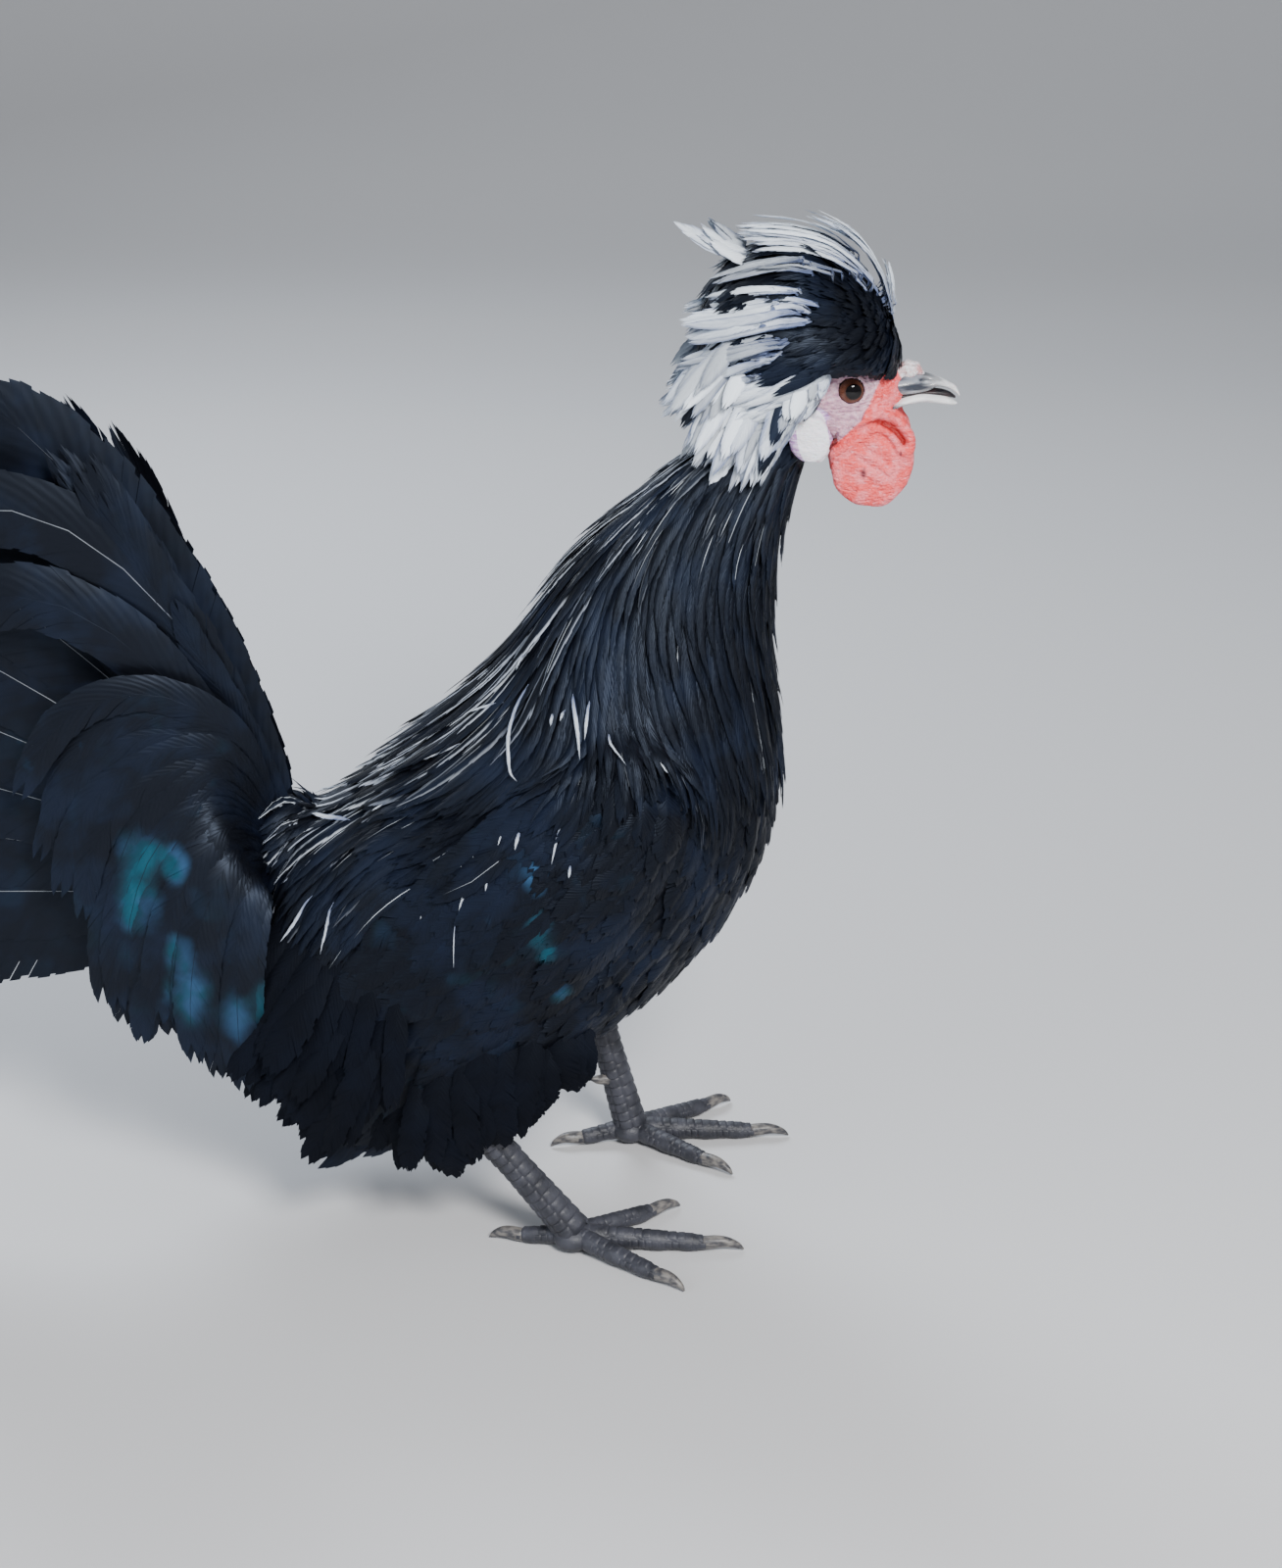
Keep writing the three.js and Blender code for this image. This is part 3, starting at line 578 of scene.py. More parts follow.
class Graph(Tree):
    """The nodes of one material."""

    def __init__(self, name: str) -> None:
        """Starts a material with nothing but its output.

        Args:
            name: The material's name.
        """
        self.material = bpy.data.materials.new(name)
        self.material.use_nodes = True
        super().__init__(self.material.node_tree)
        self.tree.nodes.clear()

    def value(self, name: str) -> Wire:
        """The number that a mesh keeps for each point under a name."""
        return self.node("ShaderNodeAttribute", {"attribute_name": name}, output="Fac")

    def mix(self, a: Wire | Colour, b: Wire | Colour, share: Wire | float) -> Wire:
        """A mix of two colours in which share is the part of b."""
        settings = {"data_type": "RGBA", "clamp_factor": True}
        return self.node("ShaderNodeMix", settings, {0: share, 6: a, 7: b}, output=2)

    def place(self) -> Wire:
        """The place in the object's own space."""
        return self.node("ShaderNodeTexCoord", output="Object")

    def near(self, place: Place, size: Place) -> Wire:
        """How near it is to a place of the bird, from 0 at its half sizes to 1 at the place.

        Args:
            place: The place, in millimetres.
            size: The half sizes.

        Returns:
            The nearness.
        """
        maths = "ShaderNodeVectorMath"
        middle = tuple(np.array(place) * MM + SHIFT)
        at = self.node(maths, {"operation": "SUBTRACT"}, {0: self.place(), 1: middle})
        at = self.node(maths, {"operation": "DIVIDE"}, {0: at, 1: tuple(np.array(size) * MM)})
        return (1 - self.node(maths, {"operation": "LENGTH"}, {0: at}, "Value")).clamp()

    def noise(self, scale: float, detail: float = 2.0, stretch: Place = (1, 1, 1)) -> Wire:
        """Cloudy noise in the object's own space, at a scale in cycles for each metre."""
        place = self.node("ShaderNodeMapping", {}, {"Vector": self.place(), "Scale": stretch})
        return self.node("ShaderNodeTexNoise", {}, {"Vector": place, "Scale": scale, "Detail": detail})

    def finish(
        self,
        colour: Wire | Colour,
        roughness: Wire | float,
        relief: Wire | None = None,
        depth: float = 0.0002,
        **plain: object,
    ) -> Finish:
        """Closes the material with its shader.

        Args:
            colour: The base colour.
            roughness: The roughness.
            relief: A height for the bump, if any.
            depth: What a height of one stands for, in metres.
            plain: Values for other inputs, with spaces as underscores.

        Returns:
            The material.
        """
        sockets: dict[str | int, object] = {"Base Color": colour, "Roughness": roughness}
        sockets |= {name.replace("_", " "): value for name, value in plain.items()}
        if relief is not None:
            sockets["Normal"] = self.node(
                "ShaderNodeBump", {}, {"Height": relief, "Distance": depth, "Strength": 1.0}
            )
        shader = self.node("ShaderNodeBsdfPrincipled", {}, sockets)
        result = self.tree.nodes.new("ShaderNodeOutputMaterial")
        self.tree.links.new(shader.socket, result.inputs["Surface"])
        return self.material


@dataclass(frozen=True)
class Plumage:
    """The finish of feathers, dark with a painted sheen and painted glints, white where the feather says so,
    with painted shade on the white.
    """

    name: str
    dark: Colour = (0.0022, 0.0024, 0.0040)
    # A blue-black that clouds into the dark: a painted sheen
    sheen: Colour = (0.0050, 0.0080, 0.0190)
    # The blue and the green of painted glints
    gloss: Colour = (0.034, 0.105, 0.22)
    green: Colour = (0.012, 0.085, 0.125)
    pale: Colour = (0.86, 0.93, 1.0)
    # The blue-grey of painted shade on the white feathers
    shade: Colour = (0.15, 0.19, 0.34)
    roughness: float = 0.4
    shine: float = 0.27
    # Where blue and green glints are painted, as x, z and a radius
    glints: tuple[tuple[float, float, float], ...] = ()

    def material(self) -> Finish:
        """The material, which reads each vane's own map and values.

        Returns:
            The material.
        """
        g = Graph(self.name)
        white = g.value("white")
        gloss = g.value("gloss")
        tone = g.value("tone")
        vane = g.node("ShaderNodeUVMap", {"uv_map": "Vane"})
        across, down = abs(g.axis(vane, "X") - 0.5) * 2, g.axis(vane, "Y")
        barbs = ((down * 26 - across * 4) * TAU).sine()
        cloud = g.noise(38, 3)
        # Painted sheen: the dark turns blue-black by noise and by each feather's tone
        dark = g.mix(self.dark, self.sheen, (cloud.step(0.42, 0.68) * 0.75 + tone * 0.5).clamp())
        # Painted glints: blue and green highlights painted into the colour, by noise and near the listed
        # spots, dimmer at the vane's root and edges
        glint = gloss * g.noise(46, 2).step(0.55, 0.7) * 0.12
        for x, z, radius in self.glints:
            near = g.near((x, 0, z), (radius, 300, radius * 1.3))
            glint = glint + gloss * (near * 1.3 + g.noise(70, 3) * 1.1 - 0.72).step(0.0, 0.9)
        glint = glint.clamp() * down.step(0.1, 0.3) * (0.85 - across * 0.4)
        dark = g.mix(dark, g.mix(self.gloss, self.green, g.noise(60, 2).step(0.42, 0.6)), glint)
        # Painted shade on white feathers: most at each one's base, under the feathers above, and at its
        # edges, between neighbours, with its tone and barbs mixed in
        root = down.step(0.6, 0.0) * 0.85 + barbs * 0.05 - tone * 0.5 + across.step(0.5, 1.0) * 0.46
        pale = g.mix(self.pale, self.shade, root.clamp())
        laced = g.value("lace") * across.step(0.62, 0.9) * down.step(0.25, 0.5)
        colour = g.mix(dark, pale, (white + laced).clamp())
        rough = self.roughness + cloud * 0.16 + white * 0.2 - glint * 0.12
        return g.finish(
            colour,
            rough,
            barbs * 0.22 + cloud,
            depth=0.00012,
            Specular_IOR_Level=self.shine,
            Specular_Tint=(0.60, 0.74, 1.0, 1.0),
        )


@dataclass(frozen=True)
class Hide:
    """The finish of the skin: bare round the eye, red on the wattles, white on the lobes."""

    name: str = "skin_finish"
    bare: Colour = (0.56, 0.37, 0.48)
    red: Colour = (0.90, 0.085, 0.085)
    lobe: Colour = (0.90, 0.89, 0.96)
    violet: Colour = (0.45, 0.24, 0.52)
    comb: Colour = (0.66, 0.55, 0.57)
    dark: Colour = (0.006, 0.006, 0.010)

    # Two dark scabs on the right wattle, with the half sizes of each
    SCABS = (((87.8, -14, 333.7), (1.7, 9, 2.9)), ((102.2, -14, 341.6), (0.8, 9, 1.5)))

    def material(self) -> Finish:
        """The material, which reads the skin's marks.

        Returns:
            The material.
        """
        g = Graph(self.name)
        fine = g.noise(900, 3)
        cloud = g.noise(160, 3)
        folds = g.noise(420, 4, (1, 1, 2.2))
        beads = g.node("ShaderNodeTexVoronoi", {}, {"Vector": g.place(), "Scale": 900.0}, "Distance")
        red, lobe, white, dark, comb = (g.value(n) for n in ("red", "lobe", "enamel", "coat", "comb"))
        red = (red + cloud * 0.5 + fine * 0.3 - 0.4).step(0.3, 0.7)
        bare = g.mix(self.bare, (0.74, 0.52, 0.62), cloud.step(0.4, 0.65))
        # Darker and paler along the folds that also raise the bump: painted shade in the folds and painted
        # highlights on their ridges
        bare = g.mix(bare, (0.24, 0.14, 0.26), folds.step(0.5, 0.64) * 0.7)
        bare = g.mix(bare, (0.86, 0.74, 0.86), folds.step(0.45, 0.34) * 0.6)
        bare = g.mix(bare, (0.70, 0.26, 0.30), (red * -4 + 2).sine().clamp() * 0.3)
        vivid = g.mix(self.red, (0.96, 0.19, 0.21), cloud.step(0.42, 0.62))
        # On the red, pale pink flecks on the beads are painted highlights, and darker red in the folds is
        # painted shade
        vivid = g.mix(vivid, (1.0, 0.44, 0.52), folds.step(0.48, 0.34) * beads.step(0.1, 0.7) * 0.42)
        vivid = g.mix(vivid, (0.48, 0.02, 0.022), folds.step(0.56, 0.72) * 0.5)
        # Painted shade along the crease round the top of the wattle
        vivid = g.mix(vivid, (0.33, 0.006, 0.006), g.value("crease").step(0.1, 0.8))
        for place, size in self.SCABS:
            scab = (g.near(place, size) * 1.6 + fine * 0.8 - 0.5).clamp()
            vivid = g.mix(vivid, (0.10, 0.018, 0.028), scab * 0.85)
        colour = g.mix(bare, vivid, red)
        milk = (white + cloud * 0.5 + fine * 0.2 - 0.35).step(0.25, 0.6)
        wrinkles = folds.step(0.54, 0.68) * g.near((72, -17, 345), (3.5, 60, 4)).step(0.2, 0.8)
        milk = milk * (1 - wrinkles * 0.7)
        enamel = g.mix(g.mix(self.violet, (0.72, 0.56, 0.80), folds.step(0.4, 0.6)), self.lobe, milk)
        colour = g.mix(colour, enamel, lobe.step(0.05, 0.25))
        knob = g.mix(self.comb, (0.85, 0.83, 0.86), fine.step(0.4, 0.65))
        colour = g.mix(colour, g.mix(knob, (0.55, 0.13, 0.13), cloud.step(0.5, 0.66) * 0.6), comb)
        colour = g.mix(colour, self.dark, dark.step(0.2, 0.8))
        relief = fine * (0.8 - lobe * 0.6) + folds * (red * 0.8 + 1.3) + cloud * 0.8
        relief = relief + beads * (red + 0.5) * 0.35
        return g.finish(
            colour,
            0.50 - red * 0.08 + dark * 0.3,
            relief,
            depth=0.0006,
            Subsurface_Weight=0.2,
            Subsurface_Radius=(0.9, 0.35, 0.25),
            Subsurface_Scale=0.0012,
        )


@dataclass(frozen=True)
class Form:
    """One kind of feather.

    The outline is the width at shares of the length. Each side has clumps of barbs, with columns
    of faces across: they sweep to the tip, cup down, split apart and end raggedly, and their
    normals wobble. The shaft has a width in millimetres, rings of faces and a pale quill.
    """

    outline: tuple[tuple[float, float], ...]
    barbs: int
    sweep: float = 0.12
    cup: float = 0.25
    split: float = 0.3
    ragged: float = 0.1
    columns: int = 1
    shaft: float = 0.35
    rings: int = 4
    wobble: float = 0.12
    quill: float = 0.0


class Kind(Enum):
    """The kinds of feather that the bird wears."""

    HACKLE = Form(
        ((0, 0.3), (0.15, 0.75), (0.4, 1), (0.65, 0.86), (0.85, 0.5), (1, 0.06)), 15, 0.1, 0.35, 0.5,
        shaft=0.25, rings=8,
    )
    BODY = Form(
        ((0, 0.4), (0.2, 0.85), (0.5, 1), (0.75, 0.97), (0.9, 0.72), (1, 0.3)), 10, 0.2, 0.3, 0.35,
        columns=2, wobble=0.07,
    )
    SADDLE = Form(
        ((0, 0.3), (0.2, 0.8), (0.45, 1), (0.7, 0.8), (0.88, 0.45), (1, 0.05)), 15, 0.12, 0.3, 0.5,
        shaft=0.25, rings=8,
    )
    CREST = Form(
        ((0, 0.2), (0.25, 0.65), (0.55, 0.95), (0.78, 1), (0.92, 0.75), (1, 0.25)), 13, 0.13, 0.13, 0.4,
        ragged=0.07,
    )
    LANCET = Form(
        ((0, 0.25), (0.2, 0.6), (0.5, 0.9), (0.7, 1), (0.85, 0.86), (0.94, 0.56), (1, 0.1)), 16, 0.1, 0.3,
        0.12, ragged=0.03, shaft=0.3, rings=6,
    )
    DOWN = Form(
        ((0, 0.5), (0.4, 1), (0.75, 1), (0.9, 0.8), (0.97, 0.55), (1, 0.3)), 18, 0.14, 0.2, 0.45, ragged=0.12,
        wobble=0.07,
    )
    LOOSE = Form(
        ((0, 0.12), (0.15, 0.45), (0.45, 0.75), (0.7, 1), (0.88, 0.8), (0.96, 0.5), (1, 0.1)), 30, 0.13, 0.15,
        0.35, ragged=0.06, shaft=0.5, rings=8,
    )
    COVERT = Form(
        ((0, 0.35), (0.2, 0.8), (0.5, 1), (0.78, 0.97), (0.92, 0.7), (1, 0.25)), 18, 0.16, 0.2, 0.2,
        columns=2, wobble=0.05,
    )
    FLIGHT = Form(
        ((0, 0.15), (0.12, 0.6), (0.4, 0.9), (0.7, 1), (0.9, 0.86), (0.97, 0.6), (1, 0.2)),
        34, 0.1, 0.12, 0.12, ragged=0.04, columns=2, shaft=0.8, rings=8, wobble=0.04, quill=0.1,
    )
    TAIL = Form(
        ((0, 0.12), (0.1, 0.5), (0.35, 0.85), (0.7, 1), (0.88, 0.9), (0.96, 0.62), (1, 0.2)),
        46, 0.09, 0.1, 0.16, ragged=0.05, columns=2, shaft=1.0, rings=10, wobble=0.03, quill=0.24,
    )
    SICKLE = Form(
        ((0, 0.15), (0.12, 0.6), (0.3, 0.95), (0.6, 1), (0.84, 0.94), (0.94, 0.72), (0.98, 0.5), (1, 0.25)),
        36, 0.1, 0.14, 0.2, ragged=0.05, columns=2, shaft=0.6, rings=10, wobble=0.05,
    )


@dataclass
class Feathers:
    """Shaft lines of many feathers of one kind, with what each needs for its looks.

    Lines and outs have the shape (feathers, stations, 3). The rest has one value for each feather.
    """

    kind: Kind
    lines: Array
    outs: Array
    wide: Array
    roots: Array
    white: Array | float = 0.0
    # How strongly each feather shows painted glints
    gloss: Array | float = 0.0
    tone: Array | float = 0.0
    streak: Array | float = 0.0
    lace: Array | float = 0.0
    lean: Array | float = 0.0


@dataclass
class Coat:
    """A piece of plumage: feathers of several kinds joined in one mesh."""

    name: str
    seed: int
    points: list[Array] = field(default_factory=list)
    normals: list[Array] = field(default_factory=list)
    vane: list[Array] = field(default_factory=list)
    bake: list[Array] = field(default_factory=list)
    values: dict[str, list[Array]] = field(
        default_factory=lambda: {"white": [], "gloss": [], "tone": [], "lace": []}
    )

    # The size of a feather's patch on the bake map
    PATCH = 0.003
    # Where along the shaft the barbs' roots start and end
    VANE = (0.04, 0.95)
    # How far the clumps of a vane differ in height, and how high the shaft stands, in metres
    STAGGER = 0.0004
    SHAFT_RISE = 0.00012

    def __post_init__(self) -> None:
        """Starts the piece's own repeatable chance."""
        self.chance = np.random.default_rng(self.seed)

    def add(
        self, kind: Kind, lines: Array, outs: Array, wide: Array, roots: Array, **looks: Array | float
    ) -> None:
        """Adds the vanes and shafts of a group of feathers.

        Args:
            kind: Their kind.
            lines: The shaft lines, in metres.
            outs: The directions away from the body along them.
            wide: The width of each.
            roots: The place of each on the skin's map.
            looks: The white, painted glint, tone, streak, lace and lean of each.
        """
        if len(lines):
            group = Feathers(kind, lines, outs, wide, roots, **looks)
            self._vanes(group)
            self._shafts(group)

    def _axes(self, group: Feathers, t: Array) -> tuple[Array, Array, Array]:
        """The shaft's places and the directions out and across, at shares t of its length.

        Args:
            group: The feathers.
            t: The shares.

        Returns:
            The places and both directions, a row to a feather.
        """
        stations = group.lines.shape[1]
        weights = along(np.eye(stations), t * (stations - 1))
        slope = along(np.eye(stations), t * (stations - 1) + 0.02) - weights
        place = np.einsum("tk,fkc->ftc", weights, group.lines)
        out = unit(np.einsum("tk,fkc->ftc", weights, group.outs))
        way = unit(np.einsum("tk,fkc->ftc", slope, group.lines))
        across = unit(np.cross(way, out))
        return place, np.cross(across, way), across

    def _vanes(self, group: Feathers) -> None:
        """Adds the two sides of each vane, as clumps of barbs that lean to the tip.

        Args:
            group: The feathers.
        """
        form, count = group.kind.value, len(group.lines)
        shape = (count, form.barbs)
        edges = np.linspace(*self.VANE, form.barbs + 1)
        share_at, share = np.array(form.outline).T
        outer = np.minimum(1.0, edges + form.sweep * np.interp(edges, share_at, share))
        outer[-1] = 1.0
        step = edges[1] - edges[0]
        length = np.linalg.norm(group.lines[:, -1] - group.lines[:, 0], axis=-1)
        columns = np.arange(form.columns + 1) / form.columns
        for side in (-1, 1):
            clump = self.chance.random((4, *shape))
            reach = 1 + form.ragged * (2 * clump[0] - 1)
            thick = (clump[3] - 0.5)[..., None]
            lean = side * each(group.lean, count) * 0.16
            for c, d in zip(columns[:-1], columns[1:], strict=True):
                corners = []
                for f, end in ((c, 0), (c, 1), (d, 1), (d, 0)):
                    at = slice(end, form.barbs + end)
                    t = blend(edges, outer, f)[at]
                    place, out, across = self._axes(group, t)
                    half = np.interp(outer[at], share_at, share) * group.wide[:, None] / 2 * reach
                    slip = step * f * (-form.split * clump[1] if end else 0.35 * clump[2])
                    way = np.cross(out, across)
                    p = (
                        place
                        + (across * side + out * lean) * (half * f)[..., None]
                        - out * (form.cup * half * f * f)[..., None]
                        + out * (thick * self.STAGGER * f)
                        - way * (slip * length[:, None])[..., None]
                    )
                    n = unit(out + across * side * (2 * form.cup * f) + form.wobble * thick * way)
                    corners.append((p, n, np.full(shape, 0.5 + 0.5 * side * f), np.broadcast_to(t, shape)))
                order = corners if side < 0 else corners[::-1]
                tone = each(group.tone, count) + 0.35 * (clump[0] - 0.5)[..., None]
                self._keep(group, order, white=group.white, gloss=group.gloss, lace=group.lace, tone=tone)

    def _keep(
        self, group: Feathers, corners: Sequence[tuple[Array, Array, Array, Array]], **values: Array | float
    ) -> None:
        """Keeps one face for each clump of barbs or stretch of shaft.

        Args:
            group: The feathers.
            corners: For each corner, the places, the normals, and u and v over the vane.
            values: What the faces keep under each name, for all, for each feather or for each face.
        """
        points, normals, u, v = (np.stack(part, axis=2) for part in zip(*corners, strict=True))
        self.points.append(points.reshape(-1, 3))
        self.normals.append(normals.reshape(-1, 3))
        uv = np.stack((u, v), axis=-1)
        self.vane.append(uv.reshape(-1, 2))
        self.bake.append((group.roots[:, None, None] + (uv - 0.5) * self.PATCH).reshape(-1, 2))
        for name, value in values.items():
            if np.ndim(value) < 3:
                value = each(value, len(v))
            self.values[name].append(np.broadcast_to(value, v.shape).ravel())

    def _shafts(self, group: Feathers) -> None:
        """Adds the shaft of each feather, a low ridge that thins to the tip.

        Args:
            group: The feathers.
        """
        form, count = group.kind.value, len(group.lines)
        shape = (count, form.rings)
        t = np.linspace(0, 0.9, form.rings + 1)
        place, out, across = self._axes(group, t)
        streak = np.broadcast_to(group.streak, (count,))
        start = 0.5 * self.chance.random(count)
        stop = start + 0.25 + 0.5 * self.chance.random(count)
        half = (form.shaft * MM * (0.5 + 0.9 * streak))[:, None] * (1 - 0.95 * t) / 2 + 0.00004
        near, far = slice(None, -1), slice(1, None)
        for left, right in ((-1.0, 0.0), (0.0, 1.0)):
            corners = []
            for f, at in ((left, near), (right, near), (right, far), (left, far)):
                high = (1 - abs(f)) * half + self.SHAFT_RISE
                p = place + across * (f * half)[..., None] + out * high[..., None]
                n = unit(out[:, at] + across[:, at] * f * 0.8)
                corners.append((p[:, at], n, np.full(shape, 0.5), np.broadcast_to(t[at], shape)))
            v = np.stack([corner[3] for corner in corners], axis=2)
            shown = ease(0.0, 0.12, v - each(start, count)) * ease(0.0, 0.12, each(stop, count) - v)
            pale = np.maximum(each(streak, count) * shown, form.quill * ease(1.0, 0.5, v))
            white = np.maximum(each(group.white, count), pale)
            self._keep(group, corners, white=white, gloss=0.0, lace=0.0, tone=each(group.tone, count) + 0.3)

    def build(self, material: Finish) -> Piece:
        """The piece as one mesh object with its maps and values.

        Args:
            material: The coat's material.

        Returns:
            The object.
        """
        points = np.concatenate(self.points) + SHIFT
        count = len(points)
        mesh = bpy.data.meshes.new(self.name)
        mesh.vertices.add(count)
        move_points(mesh, points)
        mesh.loops.add(count)
        mesh.loops.foreach_set("vertex_index", np.arange(count, dtype=np.int32))
        mesh.polygons.add(count // 4)
        mesh.polygons.foreach_set("loop_start", np.arange(0, count, 4, dtype=np.int32))
        mesh.update(calc_edges=True)
        mesh.polygons.foreach_set("use_smooth", np.ones(count // 4, bool))
        for name, parts in (("OFBake", self.bake), ("Vane", self.vane)):
            layer = mesh.uv_layers.new(name=name)
            layer.uv.foreach_set("vector", np.concatenate(parts).astype(np.float32).ravel())
        for name, parts in self.values.items():
            write_values(mesh, name, np.concatenate(parts))
        mesh.normals_split_custom_set_from_vertices(np.concatenate(self.normals).tolist())
        mesh.materials.append(material)
        log.info("%s: %d triangles", self.name, count // 2)
        return link(self.name, mesh)


@dataclass
class Skin:
    """The bird's skin, one surface from the face to the thighs, which carries every feather.

    The depth under the coat is in millimetres. The fineness of the skin and of the guide is in
    metres, and a share of the faces away from the face is kept.
    """

    coat_depth: float = 3.0
    voxel: float = 0.0009
    guide_voxel: float = 0.004
    kept_share: float = 0.22

    # For each ring of the lids, its radius, how far out it lies and its thickness
    LIDS = ((7.6, 13.0, 1.4), (5.75, 14.9, 1.0))
    # The red folds beside the bill, as places and radii
    FOLDS = (
        (96.5, 9.0, 353.5, (7.5, 3.6, 5.5)),
        (89, 11.6, 354, (8, 3.2, 6)),
        (100.9, 10.4, 352.2, (4.2, 3.2, 5.0)),
        (103.4, 11.3, 346.6, (4.3, 3.2, 5.6)),
        (100.6, 3.9, 367.0, (4.4, 2.2, 3.7)),
        (98.6, 5.2, 362.6, (4.0, 2.4, 3.6)),
    )
    # Where the red skin begins, as z and x
    RED_EDGE = (
        (344.5, 75), (346.9, 78.5), (355.5, 86.3), (357.4, 86.9), (360.2, 89.1), (365, 90.8), (370.6, 93.4),
        (375, 96.5),
    )
    # The crease round the top of the wattle, as x and z
    CREASE = (
        (74.5, 344), (79, 346.9), (86.3, 351.6), (90, 353.8), (93.7, 354.5), (97.5, 353.1), (100.9, 350.2),
        (102.8, 347.8), (103.8, 345),
    )
    # The comb's small bumps, as places from its middle and the radius of each
    COMB_BUMPS = (
        (1.6, 0, -2.4, 4.0),
        (-0.2, 2.0, -0.4, 2.3),
        (1.2, 0.9, 0.8, 2.2),
        (4.2, 1.3, 0.0, 2.2),
        (5.8, 1.5, -2.0, 1.8),
        (2.2, 3.5, -1.8, 2.0),
        (7.0, 0.7, -3.2, 1.5),
    )

    def __post_init__(self) -> None:
        """Makes the skin and the map of its surface."""
        self.trunk = Loft(TRUNK)
        self.skull = Loft(SKULL)
        self.piece = self._surface()
        self._model()
        self._mark()
        self._unwrap()
        self._index()

    def _bodies(self) -> list[Body]:
        """The closed bodies that the skin covers.

        Returns:
            The bodies.
        """
        inset = self.coat_depth * MM
        parts = [
            tube(self.trunk.rings(0.15, self.trunk.end, 60, 48, inset)),
            tube(self.skull.rings(0, self.skull.end, 30, 40, 0.0)),
            ball(TAIL_BULB, tuple(r - 4 for r in TAIL_BULB_RADII)),
            ball(CREST_CORE, tuple(r * 0.72 for r in CREST_CORE_RADII)),
        ]
        for dx, y, dz, radius in self.COMB_BUMPS:
            for side in (-1, 1) if y else (1,):
                parts.append(ball((COMB[0] + dx, side * y, COMB[2] + dz), (radius,) * 3))
        for name, side in SIDES.items():
            parts.append(self._wing_board(side))
            parts.append(self._thigh(name))
            parts += self._face_parts(side)
        return parts

    def _face_parts(self, side: int) -> list[Body]:
        """The lids, the wattle and the lobe of one side.

        Args:
            side: The side, -1 or 1.

        Returns:
            The bodies.
        """
        a = np.linspace(0, TAU, 33)[:-1]
        x, _, z = EYE
        lids = []
        for radius, lift, thick in self.LIDS:
            level = side * (lift - 0.25 * np.cos(a))
            ring = np.stack((x + radius * np.cos(a), level, z + radius * 0.92 * np.sin(a)), axis=-1)
            lids.append(self._ring(ring * MM, thick * MM))
        wattle = self._flap(WATTLE, WATTLE_RADII, side, 0.9)
        lobe = self._flap(EARLOBE, EARLOBE_RADII, side, 0.3, 0.16)
        folds = (ball(on_side(place, side), radii) for *place, radii in self.FOLDS)
        return [*lids, wattle, lobe, *folds]

    @staticmethod
    def _ring(line: Array, radius: float, sides: int = 10) -> Body:
        """A closed ring round a loop of points.

        Args:
            line: The loop's points, in metres.
            radius: Half its thickness.
            sides: Its sides.

        Returns:
            The closed body.
        """
        centre = line.mean(axis=0)
        spoke = unit(line - centre)
        axis = unit(np.cross(spoke, np.roll(spoke, -1, axis=0)))
        a = np.arange(sides) * TAU / sides
        turn = spoke[:, None] * np.cos(a)[None, :, None] + axis[:, None] * np.sin(a)[None, :, None]
        faces = []
        for i in range(len(line)):
            here, there = i * sides, (i + 1) % len(line) * sides
            for j in range(sides):
                k = (j + 1) % sides
                faces.append([here + j, here + k, there + k, there + j])
        return (line[:, None] + radius * turn).reshape(-1, 3), faces

    @staticmethod
    def _flap(place: Place, radii: Place, side: int, folds: float, slant: float = 0.0) -> Body:
        """A round flap of skin with a raised rim and a hollow face.

        Args:
            place: Its middle, with Y outwards.
            radii: Half its size on each axis.
            side: The side, -1 or 1.
            folds: The height of the rim.
            slant: How far it leans back.

        Returns:
            The closed body.
        """
        rows, around = 26, 56
        over = np.linspace(0.03, math.pi - 0.03, rows)[:, None]
        reach, face = np.sin(over), np.sign(np.cos(over))
        a = np.arange(around)[None, :] * TAU / around
        lobes = 1 + 0.02 * np.sin(5 * a + 1) + 0.015 * np.sin(9 * a)
        front = np.maximum(0, np.cos(a - 0.75)) ** 2
        rim = np.exp(-(((reach - 0.84) / 0.1) ** 2)) * (0.35 + 0.9 * front)
        groove = np.exp(-(((reach - 0.64) / 0.09) ** 2)) * front
        edge = np.sqrt(np.maximum(0, 1 - reach**4))
        deep = edge * (1 + folds * (0.55 * rim - 0.5 * groove))
        x = place[0] + radii[0] * reach * np.cos(a) * lobes
        z = place[2] + radii[2] * reach * np.sin(a) * lobes
        x = x + slant * (place[2] - z)
        y = side * (place[1] + radii[1] * deep * face)
        return tube(np.stack((x, y, z), axis=-1) * MM)

    def _wing_board(self, side: int) -> Body:
        """The flesh of a closed wing.

        Args:
            side: The side, -1 or 1.

        Returns:
            The closed body.
        """
        share = np.linspace(0.03, 0.97, 24)
        s = blend(WING[0][0], WING[-1][0], share)
        k = np.linspace(0, 1, 13)
        rows = along(np.array(WING, float), Wing.station(s))
        t = rows[:, 1, None] + (rows[:, 2] - rows[:, 1])[:, None] * blend(0.04, 0.96, k)[None, :]
        s = np.broadcast_to(s[:, None], t.shape)
        outer = Wing.place(s, t, -1.0)
        deep = WING_THICK * (1 - 0.5 * share)[:, None] * (0.3 + 0.7 * np.sin(math.pi * k))[None, :]
        inner = Wing.place(s, t, -deep)
        rings = np.concatenate((outer, inner[:, ::-1]), axis=1)
        rings[..., 1] *= -side
        return tube(rings)

    @staticmethod
    def _thigh(name: str) -> Body:
        """The feathered part of a leg.

        Args:
            name: The leg's side.

        Returns:
            The closed body.
        """
        side = SIDES[name]
        x, y, z = HOCK[name]
        knee = (blend(HIP[0], x, 0.5) - 4, side * (HIP[1] + y) / 2, blend(HIP[2], z, 0.5))
        line = through((on_side(HIP, side), knee, on_side(HOCK[name], side)), 14)
        radius = along(np.array(HIP_RADII, float)[:, None], np.linspace(0, 2, 14))[:, 0] - 2
        return tube(bar_rings(line, radius * MM, 24))

